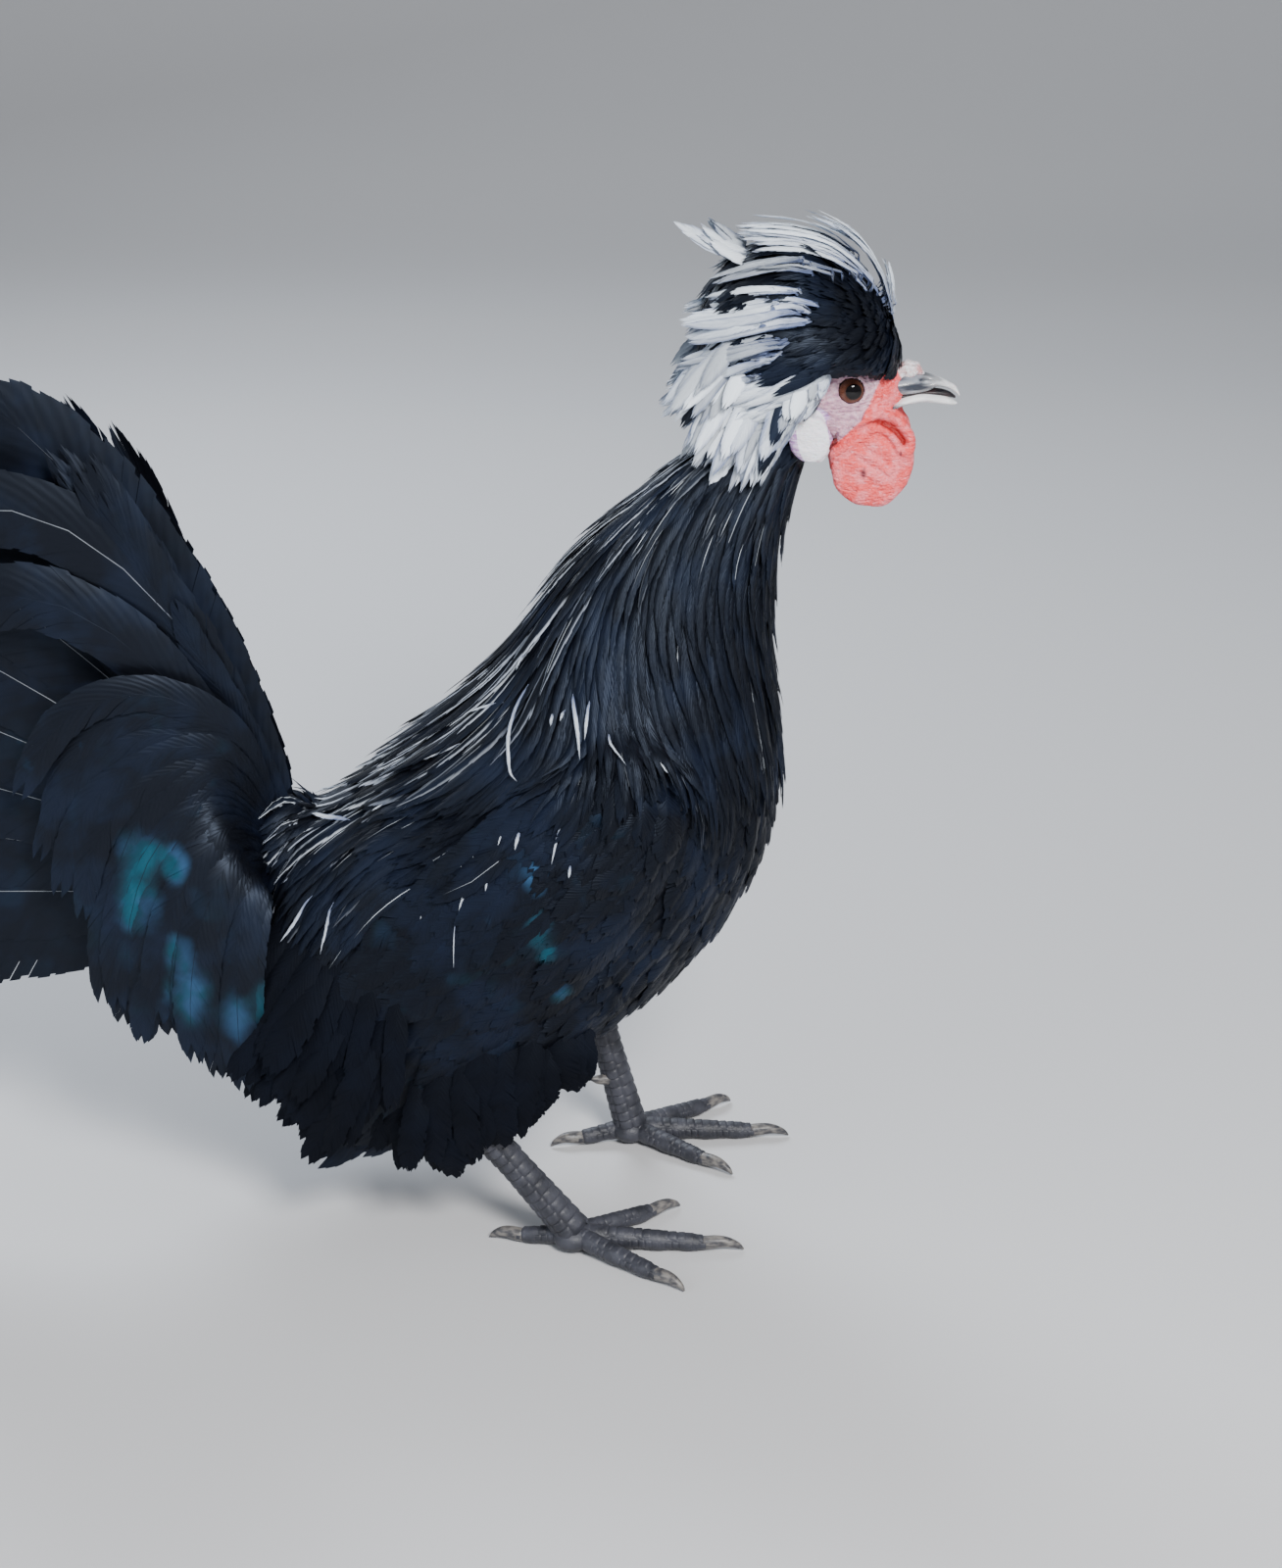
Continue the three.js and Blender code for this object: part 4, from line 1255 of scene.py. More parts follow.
    def _surface(self) -> Piece:
        """Joins the bodies in one closed surface, finest at the face.

        Returns:
            The skin's object.
        """
        made = link("skin", plain_mesh("skin", self._bodies()))
        modify(made, "REMESH", mode="VOXEL", voxel_size=self.voxel, use_smooth_shade=True)
        modify(made, "SMOOTH", iterations=3, factor=0.6)
        plain = np.nonzero(~self.on_face(points_of(made.data) - SHIFT))[0]
        made.vertex_groups.new(name="plain").add(plain.tolist(), 1.0, "REPLACE")
        modify(made, "DECIMATE", ratio=self.kept_share, vertex_group="plain")
        made.vertex_groups.clear()
        log.info("skin: %d faces", len(made.data.polygons))
        return made

    @staticmethod
    def on_face(place: Array) -> Array:
        """Which places are on the bare face and its flaps."""
        x, z = place[:, 0] / MM, place[:, 2] / MM
        return (x > 56) & (z > 316) & (z < 384) & (x + 0.75 * (z - 360) > 48)

    def _model(self) -> None:
        """Shapes the sockets, the ears, the wattles' rims and the folds of the face."""
        mesh = self.piece.data
        place = (points_of(mesh) - SHIFT) / MM
        normals = read(mesh.vertices, "normal", 3).astype(float)
        x, y, z = place.T
        side = np.abs(y)
        eye = np.hypot(x - EYE[0], z - EYE[2])
        deep = ease(5.3, 4.7, eye) * np.maximum(0, side - 12.2) * (side > 9)
        across, up = (x - WATTLE[0]) / WATTLE_RADII[0], (z - WATTLE[2]) / WATTLE_RADII[2]
        reach, turn = np.hypot(across, up), np.arctan2(up, across)
        outer = (reach < 1.25) & (side > WATTLE[1]) & (z < 358)
        rim = 0.7 * np.exp(-(((reach - 0.93) / 0.08) ** 2)) * (0.35 + np.maximum(0, np.cos(turn - 0.9)))
        waves = np.sin(11 * up + 5 * across + 3 * np.sin(3 * up + 2 * across))
        rim = rim + 0.4 * waves * ease(0.8, 0.3, reach)
        spot = np.stack((x, z), axis=1)
        ends = zip(self.CREASE[:-1], self.CREASE[1:], strict=True)
        crease = np.min([apart(spot, (*a, *b)) for a, b in ends], axis=0)
        deeper = blend(1.5, 3.2, ease(84, 96, x)) * ease(343, 346, z)
        wide = blend(0.9, 1.35, ease(86, 98, x))
        # How near each place is to the crease, where the finish paints shade
        self.crease = np.exp(-((crease / wide) ** 2)) * (side > 9) * ease(343, 346, z) * ease(80, 98, x)
        fold = np.exp(-(((crease - 3.2) / 1.3) ** 2)) - deeper * np.exp(-((crease / wide) ** 2))
        lift = np.where(outer, rim, 0) + fold * (side > 9) * ease(73, 76, x)
        lobe = np.hypot((x - EARLOBE[0]) / EARLOBE_RADII[0], (z - EARLOBE[2]) / EARLOBE_RADII[2])
        ripple = np.sin(1.1 * z + 0.9 * np.sin(0.8 * x)) * ease(1.1, 0.6, lobe) * (side > 14)
        lift = lift + 0.18 * ripple - 0.8 * np.exp(-(((lobe - 1.02) / 0.12) ** 2)) * (side > 13)
        rings = np.sin(2.3 * eye + 1.6 * np.sin(3 * np.arctan2(z - EYE[2], x - EYE[0])))
        lift = lift + 0.32 * rings * ease(7.0, 8.2, eye) * ease(17, 12, eye) * (side > 9)
        ear = np.exp(-(((x - EAR[0]) / 2.2) ** 2) - ((z - EAR[2]) / 2.9) ** 2) * (side > 12)
        place = place + normals * (lift - 2.2 * ear)[:, None]
        place[:, 1] -= np.sign(y) * deep
        move_points(mesh, place * MM + SHIFT)
        mesh.update()

    def _mark(self) -> None:
        """Stores where the skin is red, white or covered by the coat."""
        mesh = self.piece.data
        place = (points_of(mesh) - SHIFT) / MM
        x, y, z = place.T
        side = np.abs(y)
        wattle = ((x - WATTLE[0]) / 18.5) ** 2 + ((z - WATTLE[2]) / 20.5) ** 2
        edge = np.interp(z, *np.array(self.RED_EDGE).T)
        red = ease(-1.6, 1.6, x - edge) * ease(376, 373.5, z) * (z > 344.5)
        brow = ease(95, 98, x) * ease(358, 360, z)
        red = np.maximum(red, ease(1.12, 0.96, wattle) * (z <= 344.5))
        red = red * ease(6 - 4 * brow, 8 - 4.5 * brow, side)
        lobe = ease(1.25, 0.8, ((x - EARLOBE[0]) / 10.2) ** 2 + ((z - EARLOBE[2]) / 11.6) ** 2)
        lobe = lobe * ease(12.5, 15, side)
        tilt = x - 67.3 - 0.16 * (348.7 - z)
        white = ease(1.1, 0.9, (np.abs(tilt / 6.2) ** 3 + np.abs((z - 348.9) / 10.4) ** 3) ** (1 / 3))
        comb = ease(8.2, 6.4, np.sqrt((x - COMB[0] - 2.6) ** 2 + y**2 + (z - COMB[2] + 0.4) ** 2))
        ear = 1.5 * np.exp(-(((x - EAR[0]) / 1.9) ** 2) - ((z - EAR[2]) / 3.2) ** 2)
        back = ease(60, 55, x - 0.25 * (z - 350)) + ease(64, 61.5, x) * ease(350, 346, z)
        back = back + ease(381, 386, z) + ease(325, 318, z)
        chin = ease(348, 343, z) * ease(11, 8, side)
        coat = np.clip(back * (1 - lobe) + ear + chin * ease(96, 90, x), 0, 1) * (1 - red * ease(8, 9, side))
        marks = {"red": red, "lobe": lobe, "enamel": white, "comb": comb, "coat": coat, "crease": self.crease}
        for name, values in marks.items():
            write_values(mesh, name, values)

    def _unwrap(self) -> None:
        """Gives the skin the map that its feathers share."""
        bpy.context.view_layer.objects.active = self.piece
        for other in bpy.context.selected_objects:
            other.select_set(False)
        self.piece.select_set(True)
        self.piece.data.uv_layers.new(name="OFBake")
        bpy.ops.object.mode_set(mode="EDIT")
        bpy.ops.mesh.select_all(action="SELECT")
        bpy.ops.uv.smart_project(angle_limit=math.radians(66), island_margin=0.002)
        bpy.ops.object.mode_set(mode="OBJECT")

    def _index(self) -> None:
        """Makes the skin ready for the feathers' questions."""
        mesh = self.piece.data
        mesh.calc_loop_triangles()
        self.corners = read(mesh.loop_triangles, "vertices", 3, np.int32)
        loops = read(mesh.loop_triangles, "loops", 3, np.int32)
        self.points = points_of(mesh) - SHIFT
        normals = read(mesh.vertices, "normal", 3).astype(float)
        self.maps = read(mesh.uv_layers["OFBake"].uv, "vector", 2)[loops].mean(axis=1)
        self.out = unit(normals[self.corners].mean(axis=1))
        self.tree = BVHTree.FromPolygons(self.points.tolist(), self.corners.tolist())
        edge = self.points[self.corners]
        cross = np.cross(edge[:, 1] - edge[:, 0], edge[:, 2] - edge[:, 0])
        self.area = np.linalg.norm(cross, axis=1) / 2
        self.line_u = np.linspace(0, self.trunk.end + 1.5, 260)
        self.line = self.trunk.middle(self.line_u)
        self.guide = self._guide()

    def _guide(self) -> BVHTree:
        """The skin with its creases filled, which the long feathers follow.

        Returns:
            A search tree of its faces.
        """
        mesh = bpy.data.meshes.new("guide")
        mesh.from_pydata(self.points.tolist(), [], self.corners.tolist())
        made = link("guide", mesh)
        modify(made, "REMESH", mode="VOXEL", voxel_size=self.guide_voxel)
        modify(made, "SMOOTH", iterations=16, factor=0.7)
        faces = [list(face.vertices) for face in made.data.polygons]
        tree = BVHTree.FromPolygons(points_of(made.data).tolist(), faces)
        mesh = made.data
        bpy.data.objects.remove(made)
        bpy.data.meshes.remove(mesh)
        return tree

    def smooth(self, place: Array) -> tuple[Array, Array, Array]:
        """The nearest places on the guide, their outward directions and how deep they lie.

        Args:
            place: Places in metres.

        Returns:
            The places, the directions and the depths.
        """
        found = [self.guide.find_nearest(Vector(p)) for p in place]
        base = np.array([f[0] for f in found])
        out = np.array([f[1] for f in found])
        skin, _, _ = self.settle(base)
        return base, out, np.maximum(0, np.sum((skin - base) * out, axis=1))

    def beside(self, x: float, z: float, side: int) -> tuple[Array, Array]:
        """The place on one side of the guide at x and z in millimetres, and its direction.

        Args:
            x: How far ahead.
            z: How high.
            side: The side, -1 or 1.

        Returns:
            The place and the direction.
        """
        found = self.guide.ray_cast(Vector((x * MM, side * 0.3, z * MM)), Vector((0, -side, 0)))
        if found[0] is None:
            found = self.guide.find_nearest(Vector((x * MM, side * 0.05, z * MM)))
        return np.array(found[0]), np.array(found[1])

    def settle(self, place: Array) -> tuple[Array, Array, Array]:
        """The nearest places on the skin, their outward directions and their faces.

        Args:
            place: Places in metres.

        Returns:
            The places, the directions and the faces' numbers.
        """
        found = [self.tree.find_nearest(Vector(p)) for p in place]
        faces = np.array([f[2] for f in found])
        return np.array([f[0] for f in found]), self.out[faces], faces

    def patch(self, place: Array) -> Array:
        """Where the skin at the nearest places lies on its map."""
        return self.maps[self.settle(place)[2]]

    def station(self, place: Array) -> tuple[Array, Array]:
        """The trunk's station nearest to each place, and the angle round it from the back.

        Args:
            place: Places in metres.

        Returns:
            The stations and the angles.
        """
        gap = np.linalg.norm(place[:, None] - self.line[None], axis=-1)
        u = self.line_u[np.argmin(gap, axis=1)]
        middle = self.trunk.middle(u)
        back = unit(self.trunk.point(u, np.zeros_like(u)) - middle)
        from_middle = place - middle
        return u, np.arctan2(from_middle[:, 1], np.sum(from_middle * back, axis=1))

    def backward(self, u: Array) -> Array:
        """The direction from the head to the tail along the trunk."""
        return unit(self.trunk.middle(u - 0.3) - self.trunk.middle(u + 0.3))

    def scatter(self, gap: Callable[[Array], Array], least: float, chance: Chance) -> tuple[Array, Array]:
        """Spreads roots evenly over the skin.

        Args:
            gap: The spacing in metres for each place, where 0 leaves it bare.
            least: The smallest spacing that there is.
            chance: The source of chance.

        Returns:
            The roots and their faces.
        """
        middle = self.points[self.corners].mean(axis=1)
        wanted = gap(middle)
        weight = np.where(wanted > 0, self.area / np.maximum(wanted, least) ** 2, 0)
        tries = int(weight.sum() * 5)
        faces = chance.choice(len(weight), tries, p=weight / weight.sum())
        mixing = chance.dirichlet((1, 1, 1), tries)
        place = np.einsum("nk,nkc->nc", mixing, self.points[self.corners[faces]])
        reach = wanted[faces]
        cells: dict[tuple[int, ...], list[int]] = {}
        kept = []
        keys = np.floor(place / reach.max()).astype(int).tolist()
        spots, limits = place.tolist(), reach.tolist()
        around = list(product((-1, 0, 1), repeat=3))
        for n, (x, y, z) in enumerate(keys):
            near = (m for i, j, k in around for m in cells.get((x + i, y + j, z + k), ()))
            if all(math.dist(spots[n], spots[m]) >= limits[n] for m in near):
                kept.append(n)
                cells.setdefault((x, y, z), []).append(n)
        return place[kept], faces[kept]

    def lay(
        self,
        roots: Array,
        flow: Callable[[Array, float], Array],
        length: Array,
        lift: Array,
        stations: int,
    ) -> tuple[Array, Array]:
        """Lays feathers along the skin.

        Args:
            roots: Where they grow.
            flow: The lie of the coat at places, at a share of the length.
            length: The length of each.
            lift: The height of each one's tip over the skin.
            stations: How many points each line has.

        Returns:
            The lines and their outward directions.
        """
        step = (length / (stations - 1))[:, None]
        skin, _, _ = self.settle(roots)
        base, out, _ = self.smooth(roots)
        lines, outs = [skin - out * 0.0008], [out]
        for k in range(1, stations):
            t = k / (stations - 1)
            way = flow(base, t)
            way = unit(way - out * np.sum(way * out, axis=1, keepdims=True))
            base, found, deep = self.smooth(base + way * step)
            out = unit(blend(out, found, 0.75))
            lines.append(base + out * (deep + lift * t**0.8)[:, None])
            outs.append(out)
        return np.stack(lines, axis=1), np.stack(outs, axis=1)


class Wing:
    """The curved board of a closed wing, by its own distances s and t."""

    @staticmethod
    def station(s: Array) -> Array:
        """The place in the wing's list of stations for a distance from the bend.

        Args:
            s: Distances in millimetres.

        Returns:
            The stations, with their fractions.
        """
        starts = np.array([w[0] for w in WING], float)
        j = np.clip(np.searchsorted(starts, s, side="right") - 1, 0, len(WING) - 2)
        return j + (s - starts[j]) / (starts[j + 1] - starts[j])

    @staticmethod
    def place(s: Array, t: Array, lift: Array | float = 0.0) -> Array:
        """Places over a right wing's outer face, in metres.

        Args:
            s: Distances back from the bend, in millimetres.
            t: Heights over the wing's axis.
            lift: Distances off the face.

        Returns:
            The places.
        """
        c, d = math.cos(WING_TILT), math.sin(WING_TILT)
        rows = along(np.array(WING, float), Wing.station(s))
        low, high, y = rows[..., 1], rows[..., 2], rows[..., 3]
        bend = y - (t - (low + high) / 2) ** 2 / (2 * WING_ROUND)
        x = WING_BEND[0] - c * s - d * t
        z = WING_BEND[1] - d * s + c * t
        return np.stack((x, -bend - lift, z), axis=-1) * MM


@dataclass
class BodyCoat:
    """The feathers that lie on the trunk, neck and thighs."""

    skin: Skin
    seed: int = 11

    # The spacing of feathers in millimetres by the trunk's stations, and the smallest one
    SPACING = ((0, 4, 7.5, 9, 12, 14, 16), (4.0, 4.3, 4.9, 3.9, 3.2, 2.6, 2.3))
    LEAST = 2.6
    # The hackles' length, width and height over the skin by the trunk's stations
    HACKLE_LENGTH = ((8.2, 10, 11.5, 13, 14.5, 16), (74, 96, 86, 62, 40, 26))
    HACKLE_WIDTH = ((8.2, 11, 13, 16), (7.6, 6.6, 5, 3.4))
    HACKLE_LIFT = ((8.2, 11, 14, 16), (9.5, 8.8, 6, 4))
    SADDLE_LENGTH = ((-1, 0, 2, 5.4), (30, 40, 62, 66))
    # How many points a shaft's line has
    STATIONS = 7
    # Single pale feathers, as x and z of their lines, with the width and the height of each: white quills,
    # partly painted highlights where the quills catch the light
    SHAFTS = {
        "hackles": (
            ((-41.1, 249.1), (-45.1, 239.1), (-47.5, 229.9), (-47.2, 220.1), (-42, 211), 1.8, 12),
            ((-25, 250), (-23.8, 244.8), (-22.5, 235.1), (-20.6, 223.9), 1.7, 12),
            ((-18.5, 249.6), (-19.6, 241), (-19.5, 232.9), 1.4, 12),
            ((-31.8, 242.6), (-31.7, 237.4), 1.5, 12),
            ((-27.6, 244), (-28.4, 240), 1.2, 12),
            ((-12.4, 237.9), (-10.7, 229.4), (-6.7, 225.5), 1.0, 12),
            ((1.7, 230.8), (4.1, 225.2), (8.7, 218.5), 1.2, 12),
            ((-41, 258), (-41.7, 251.5), 1.5, 12),
        ),
        "saddle_coat": (
            ((-130.5, 160), (-134.2, 151), (-137.5, 144), 1.4, 15),
            ((-121.5, 160), (-122.2, 152), (-123.6, 143.5), 1.3, 15),
            ((-65.3, 223.9), (-73.8, 217.4), (-82.2, 211.1), 1.2, 10),
            ((-51.2, 240.1), (-58, 235), (-65.5, 229.1), 1.2, 10),
            ((-69.2, 210.7), (-76.5, 203.7), 1.2, 10),
            ((-82.9, 201.2), (-94.4, 193.9), 1.0, 10),
            ((-100.3, 194.9), (-104, 190.5), 1.0, 10),
            ((-117, 185), (-127, 181), (-138.1, 178.7), 2.4, 10),
            ((-105.7, 152.1), (-107, 146), 0.7, 8),
        ),
        "breast_coat": (
            ((-74.5, 211.5), (-77.1, 209.2), 1.0, 8),
            ((-45.9, 201.8), (-47.8, 195), 1.4, 8),
            ((-51.3, 199.6), (-53.4, 194.6), 1.0, 8),
            ((-62.2, 191.4), (-63.2, 187), 1.0, 8),
            ((-72.4, 188.5), (-75.2, 184.9), 1.0, 8),
            ((-64.2, 188.7), (-67.8, 182.3), 1.0, 8),
            ((-64.9, 183.3), (-68, 176), (-70.2, 169.8), 1.2, 8),
            ((-59.5, 182.8), (-59.8, 178.5), 0.9, 8),
            ((-29.9, 207.9), (-32.8, 200), (-34.9, 191.4), 1.1, 8),
            ((-27.9, 190.2), (-28.7, 185.9), 1.2, 8),
            ((-88.1, 165.5), (-87.8, 161), 0.9, 8),
            ((-83.3, 167), (-84, 162), 0.9, 8),
            ((-72.8, 165.6), (-73.5, 156), (-73.8, 146.1), 0.5, 8),
        ),
    }

    # How low the hanging feathers reach on each side, as x and z
    HEMS = {
        -1: (
            (-180, 82), (-170, 67), (-145, 51), (-112, 42), (-92, 36), (-80, 38), (-70, 46), (-57, 53),
            (-45, 61), (-31, 77),
        ),
        1: ((-180, 82), (-170, 67), (-145, 51), (-112, 52), (-70, 62), (-45, 70), (-26, 76), (-14, 86)),
    }

    def __post_init__(self) -> None:
        """Starts the coat's own repeatable chance."""
        self.chance = np.random.default_rng(self.seed)

    def _gap(self, place: Array) -> Array:
        """The spacing of feathers, or 0 where none grow.

        Args:
            place: Places in metres.

        Returns:
            The spacing in metres.
        """
        u, a = self.skin.station(place)
        x, _, z = (place / MM).T
        gap = np.interp(u, *self.SPACING)
        gap = gap * np.where((np.abs(a) > 1.5) & (u < 8.4), 1.18, 1.0)
        nape = (x < 62) & (z < 347)
        bare = (self.skin.on_face(place) & ~nape) | (z > 372) | ((x > 60) & (z > 343)) | (x < -166)
        wing = self._under_wing(place)
        return np.where(bare | wing, 0.0, gap * MM)

    @staticmethod
    def _under_wing(place: Array) -> Array:
        """Which places lie on a wing's board, which has feathers of its own.

        Args:
            place: Places in metres.

        Returns:
            One truth value to a place.
        """
        c, d = math.cos(WING_TILT), math.sin(WING_TILT)
        x, y, z = (place / MM).T
        s = (WING_BEND[0] - x) * c + (WING_BEND[1] - z) * d
        t = (WING_BEND[0] - x) * d - (WING_BEND[1] - z) * c
        rows = along(np.array(WING, float), Wing.station(s))
        inside = (s > 34) & (s < 160) & (t > rows[:, 1] + 3) & (t < rows[:, 2] - 5)
        return inside & (np.abs(y) > 46)

    def _flow(self, place: Array, t: float) -> Array:
        """The lie of the coat.

        Args:
            place: Places in metres.
            t: The share of the feather's length.

        Returns:
            The coat's directions.
        """
        u, a = self.skin.station(place)
        root = ease(4.5, 2.5, u) * ease(2.4, 1.4, np.abs(a))
        back = blend(self.skin.backward(u), np.array((-0.82, 0.0, -0.55)), root[:, None])
        side = np.sin(np.abs(a)) ** 1.5
        low = ease(12.6, 8.6, u) * side
        fall = np.array((0.22 * (2 * t - 0.55), 0.0, -1.0))
        rump = ease(5.5, 1.5, u) * ease(0.15, 0.9, np.abs(a)) * ease(2.6, 1.6, np.abs(a))
        hang = np.array((-0.25, 0.0, -1.0))
        way = blend(back, fall, (0.85 * low * ease(6.5, 8.5, u))[:, None])
        way = blend(way, hang, (0.55 * rump)[:, None])
        x, y, z = (place / MM).T
        tail = ease(-134, -146, x) * ease(130, 150, z)
        apart_y = 0.5 * np.sign(y) * ease(0, 6, np.abs(y))
        part = np.stack((np.full(len(x), -0.75), apart_y, np.full(len(x), -0.45)), axis=1)
        way = blend(way, part, tail[:, None])
        up = ease(-149, -156, x) * ease(160, 172, z)
        return blend(way, np.array((-0.8, 0.0, 0.6)), up[:, None])

    def build(self, material: dict[str, Finish]) -> list[Piece]:
        """Makes the coats of the neck, the body, the saddle and the thighs.

        Args:
            material: The coats' materials by name.

        Returns:
            The pieces.
        """
        roots, faces = self.skin.scatter(self._gap, self.LEAST * MM, self.chance)
        u, a = self.skin.station(roots)
        ab = np.abs(a)
        x, y, z = (roots / MM).T
        maps = self.skin.maps[faces]
        neck = (u > 8.2 + 2.0 * ease(0.6, 1.7, ab)) & (ab < 2.75)
        throat = (u > 9.3) & ~neck
        saddle = (u < 5.4) & (ab < 1.45) & (z > 112)
        back = (u >= 5.4) & (ab < 1.2) & ~neck
        thigh = (z < 84) | ((u < 3) & (ab > 2.0))
        body = ~(neck | throat | saddle | back | thigh)
        made = []
        groups = (
            ("hackles", "neck", neck | throat, 1),
            ("breast_coat", "body", body | back, 2),
            ("saddle_coat", "saddle", saddle, 3),
            ("thigh_coat", "thigh", thigh, 4),
        )
        for name, finish, mask, seed in groups:
            coat = Coat(name, self.seed * 10 + seed)
            self._dress(coat, name, roots[mask], u[mask], ab[mask], maps[mask])
            if name == "thigh_coat":
                vent = (x < -96) & (ab > 1.3) & (z > 70)
                flank = (x > -104) & (x < -22) & (z < 116) & (np.abs(y) > 34)
                for hung in (vent, flank):
                    self._hangers(coat, roots[hung], maps[hung])
            self._shafts(coat, name)
            made.append(coat.build(material[finish]))
        return made

    def _shafts(self, coat: Coat, name: str) -> None:
        """The few single pale feathers on both sides: white quills, partly painted highlights where they
        catch the light.

        Args:
            coat: The coat that takes them.
            name: The coat's name.
        """
        for side in SIDES.values():
            for *line, wide, lift in self.SHAFTS.get(name, ()):
                found = [self.skin.beside(x, z, side) for x, z in line]
                u = np.linspace(0, len(line) - 1, self.STATIONS)
                place = along(np.array([f[0] for f in found]), u)
                outs = unit(along(np.array([f[1] for f in found]), u))
                rise = blend(0.5, 1.0, np.linspace(0, 1, self.STATIONS) ** 0.5)[:, None] * lift * MM
                coat.add(
                    Kind.HACKLE, (place + outs * rise)[None], outs[None], np.full(1, wide * MM),
                    self.skin.patch(place[:1]), white=0.85, tone=-0.3,
                )

    def _hangers(self, coat: Coat, roots: Array, maps: Array) -> None:
        """The loose feathers that hang over the thighs and behind them, under the tail.

        Args:
            coat: The coat that takes them.
            roots: Where they grow.
            maps: Their places on the map.
        """
        chance, count = coat.chance, len(roots)
        side = np.sign(roots[:, 1])
        x, z = roots[:, 0] / MM, roots[:, 2] / MM
        back = blend(-0.04, -0.52, ease(-85, -125, x))
        way = np.stack((back, blend(0.02, 0.16, ease(-85, -125, x)) * side, np.full(count, -0.9)), axis=1)
        way = unit(way + chance.normal(0, 0.06, (count, 3)))
        tip = x + way[:, 0] / -way[:, 2] * np.clip(z - 50, 15, 60)
        right, left = (np.interp(tip, *np.array(self.HEMS[n]).T) for n in (-1, 1))
        hem = np.where(side < 0, right, left)
        length = np.clip((z - hem) / -way[:, 2] * (1 - 0.25 * chance.random(count)), 16, 62) * MM
        t = np.linspace(0, 1, self.STATIONS)
        lines = roots[:, None] + way[:, None] * (length[:, None] * t)[..., None]
        lines[..., 1] += (side * 0.006)[:, None] * np.sin(math.pi * t)
        outs = np.stack((back, side, np.full(count, 0.1)), axis=1)
        outs = np.broadcast_to(unit(outs)[:, None], lines.shape)
        coat.add(
            Kind.DOWN, lines, outs, 12 * MM * vary(chance, count, 0.15), maps,
            tone=0.5 * chance.random(count) - 0.3, lean=swing(chance, count),
        )

    def _dress(self, coat: Coat, name: str, roots: Array, u: Array, a: Array, maps: Array) -> None:
        """Sets the sizes of one group's feathers and adds them to its coat.

        Args:
            coat: The coat that takes them.
            name: The group's name.
            roots: Where they grow.
            u: The trunk's stations there.
            a: The angles from the back.
            maps: Their places on the map.
        """
        chance, count = self.chance, len(roots)
        pick = chance.random(count)
        ridge = ease(0.7, 0.2, a)
        tone = 0.4 * swing(chance, count)
        if name == "hackles":
            length = np.interp(u, *self.HACKLE_LENGTH)
            length = length * np.interp(a, (0, 1.7, 2.4, 3.14), (1, 1, 0.7, 0.5))
            x, z = roots[:, 0] / MM, roots[:, 2] / MM
            edge = 216 - 16 * np.exp(-(((x - 24) / 9) ** 2))
            drop = np.clip((z - edge) / 0.9, 48, 104)
            cape = ease(12.8, 11.6, u) * ease(0.5, 1.1, a) * ease(2.6, 2.2, a)
            length = blend(length, drop, cape) * jitter(chance, count, 0.12)
            wide = np.interp(u, *self.HACKLE_WIDTH) * jitter(chance, count, 0.2)
            lift = np.interp(u, *self.HACKLE_LIFT) * np.interp(a, (0, 2, 3), (1, 1, 0.6))
            shoulder = np.exp(-(((a - 1.45) / 0.6) ** 2)) * ease(10.8, 8.6, u)
            lift = (lift + 2.5 * shoulder) * jitter(chance, count, 0.3)
            often = 0.05 + 0.40 * ridge + 0.16 * ease(11, 14, u) * ease(2.4, 1.4, a)
            streak = np.where(pick < often, 0.3 + 0.6 * chance.random(count), 0)
            kind, lace = Kind.HACKLE, (0.1 + 0.6 * ridge) * (pick < 0.05 + 0.45 * ridge)
        elif name == "saddle_coat":
            ridge = ridge * ease(0.8, 2.4, u)
            length = np.interp(u, *self.SADDLE_LENGTH) * jitter(chance, count, 0.14)
            wide = 7.2 * jitter(chance, count, 0.2)
            lift = 7.5 * jitter(chance, count, 0.35)
            streak = np.where(pick < 0.09 + 0.3 * ridge, 0.3 + 0.5 * chance.random(count), 0)
            lace = (0.1 + 0.6 * ridge) * (pick < 0.03 + 0.4 * ridge) * (roots[:, 0] > -0.118)
            streak = streak * (roots[:, 0] > -0.126)
            kind = Kind.SADDLE
        elif name == "thigh_coat":
            length = np.where(u < 3, 40, 27) * jitter(chance, count, 0.25)
            wide = 11 * jitter(chance, count, 0.2)
            lift = np.where(u < 3, 8, 4.8) * jitter(chance, count, 0.5)
            streak, kind, lace = 0.0, Kind.DOWN, 0.0
        else:
            on_back = a < 1.2
            length = np.where(on_back, 52, 30) * jitter(chance, count, 0.14)
            wide = np.where(on_back, 8.5, 12.5) * jitter(chance, count, 0.12)
            lift = np.where(on_back, 8.0, 4.6) * jitter(chance, count, 0.25)
            streak = np.where((pick < 0.25) & on_back, 0.4, 0)
            kind, lace = Kind.BODY, 0.6 * ridge * (pick < 0.4)
        lines, outs = self.skin.lay(roots, self._flow, length * MM, lift * MM, self.STATIONS)
        coat.add(
            kind, lines, outs, wide * MM, maps, streak=streak, lace=lace, tone=tone, lean=swing(chance, count)
        )


def mirrored(points: Array, side: int) -> Array:
    """Points made for the right, on the given side."""
    return points * np.array((1.0, -side, 1.0))


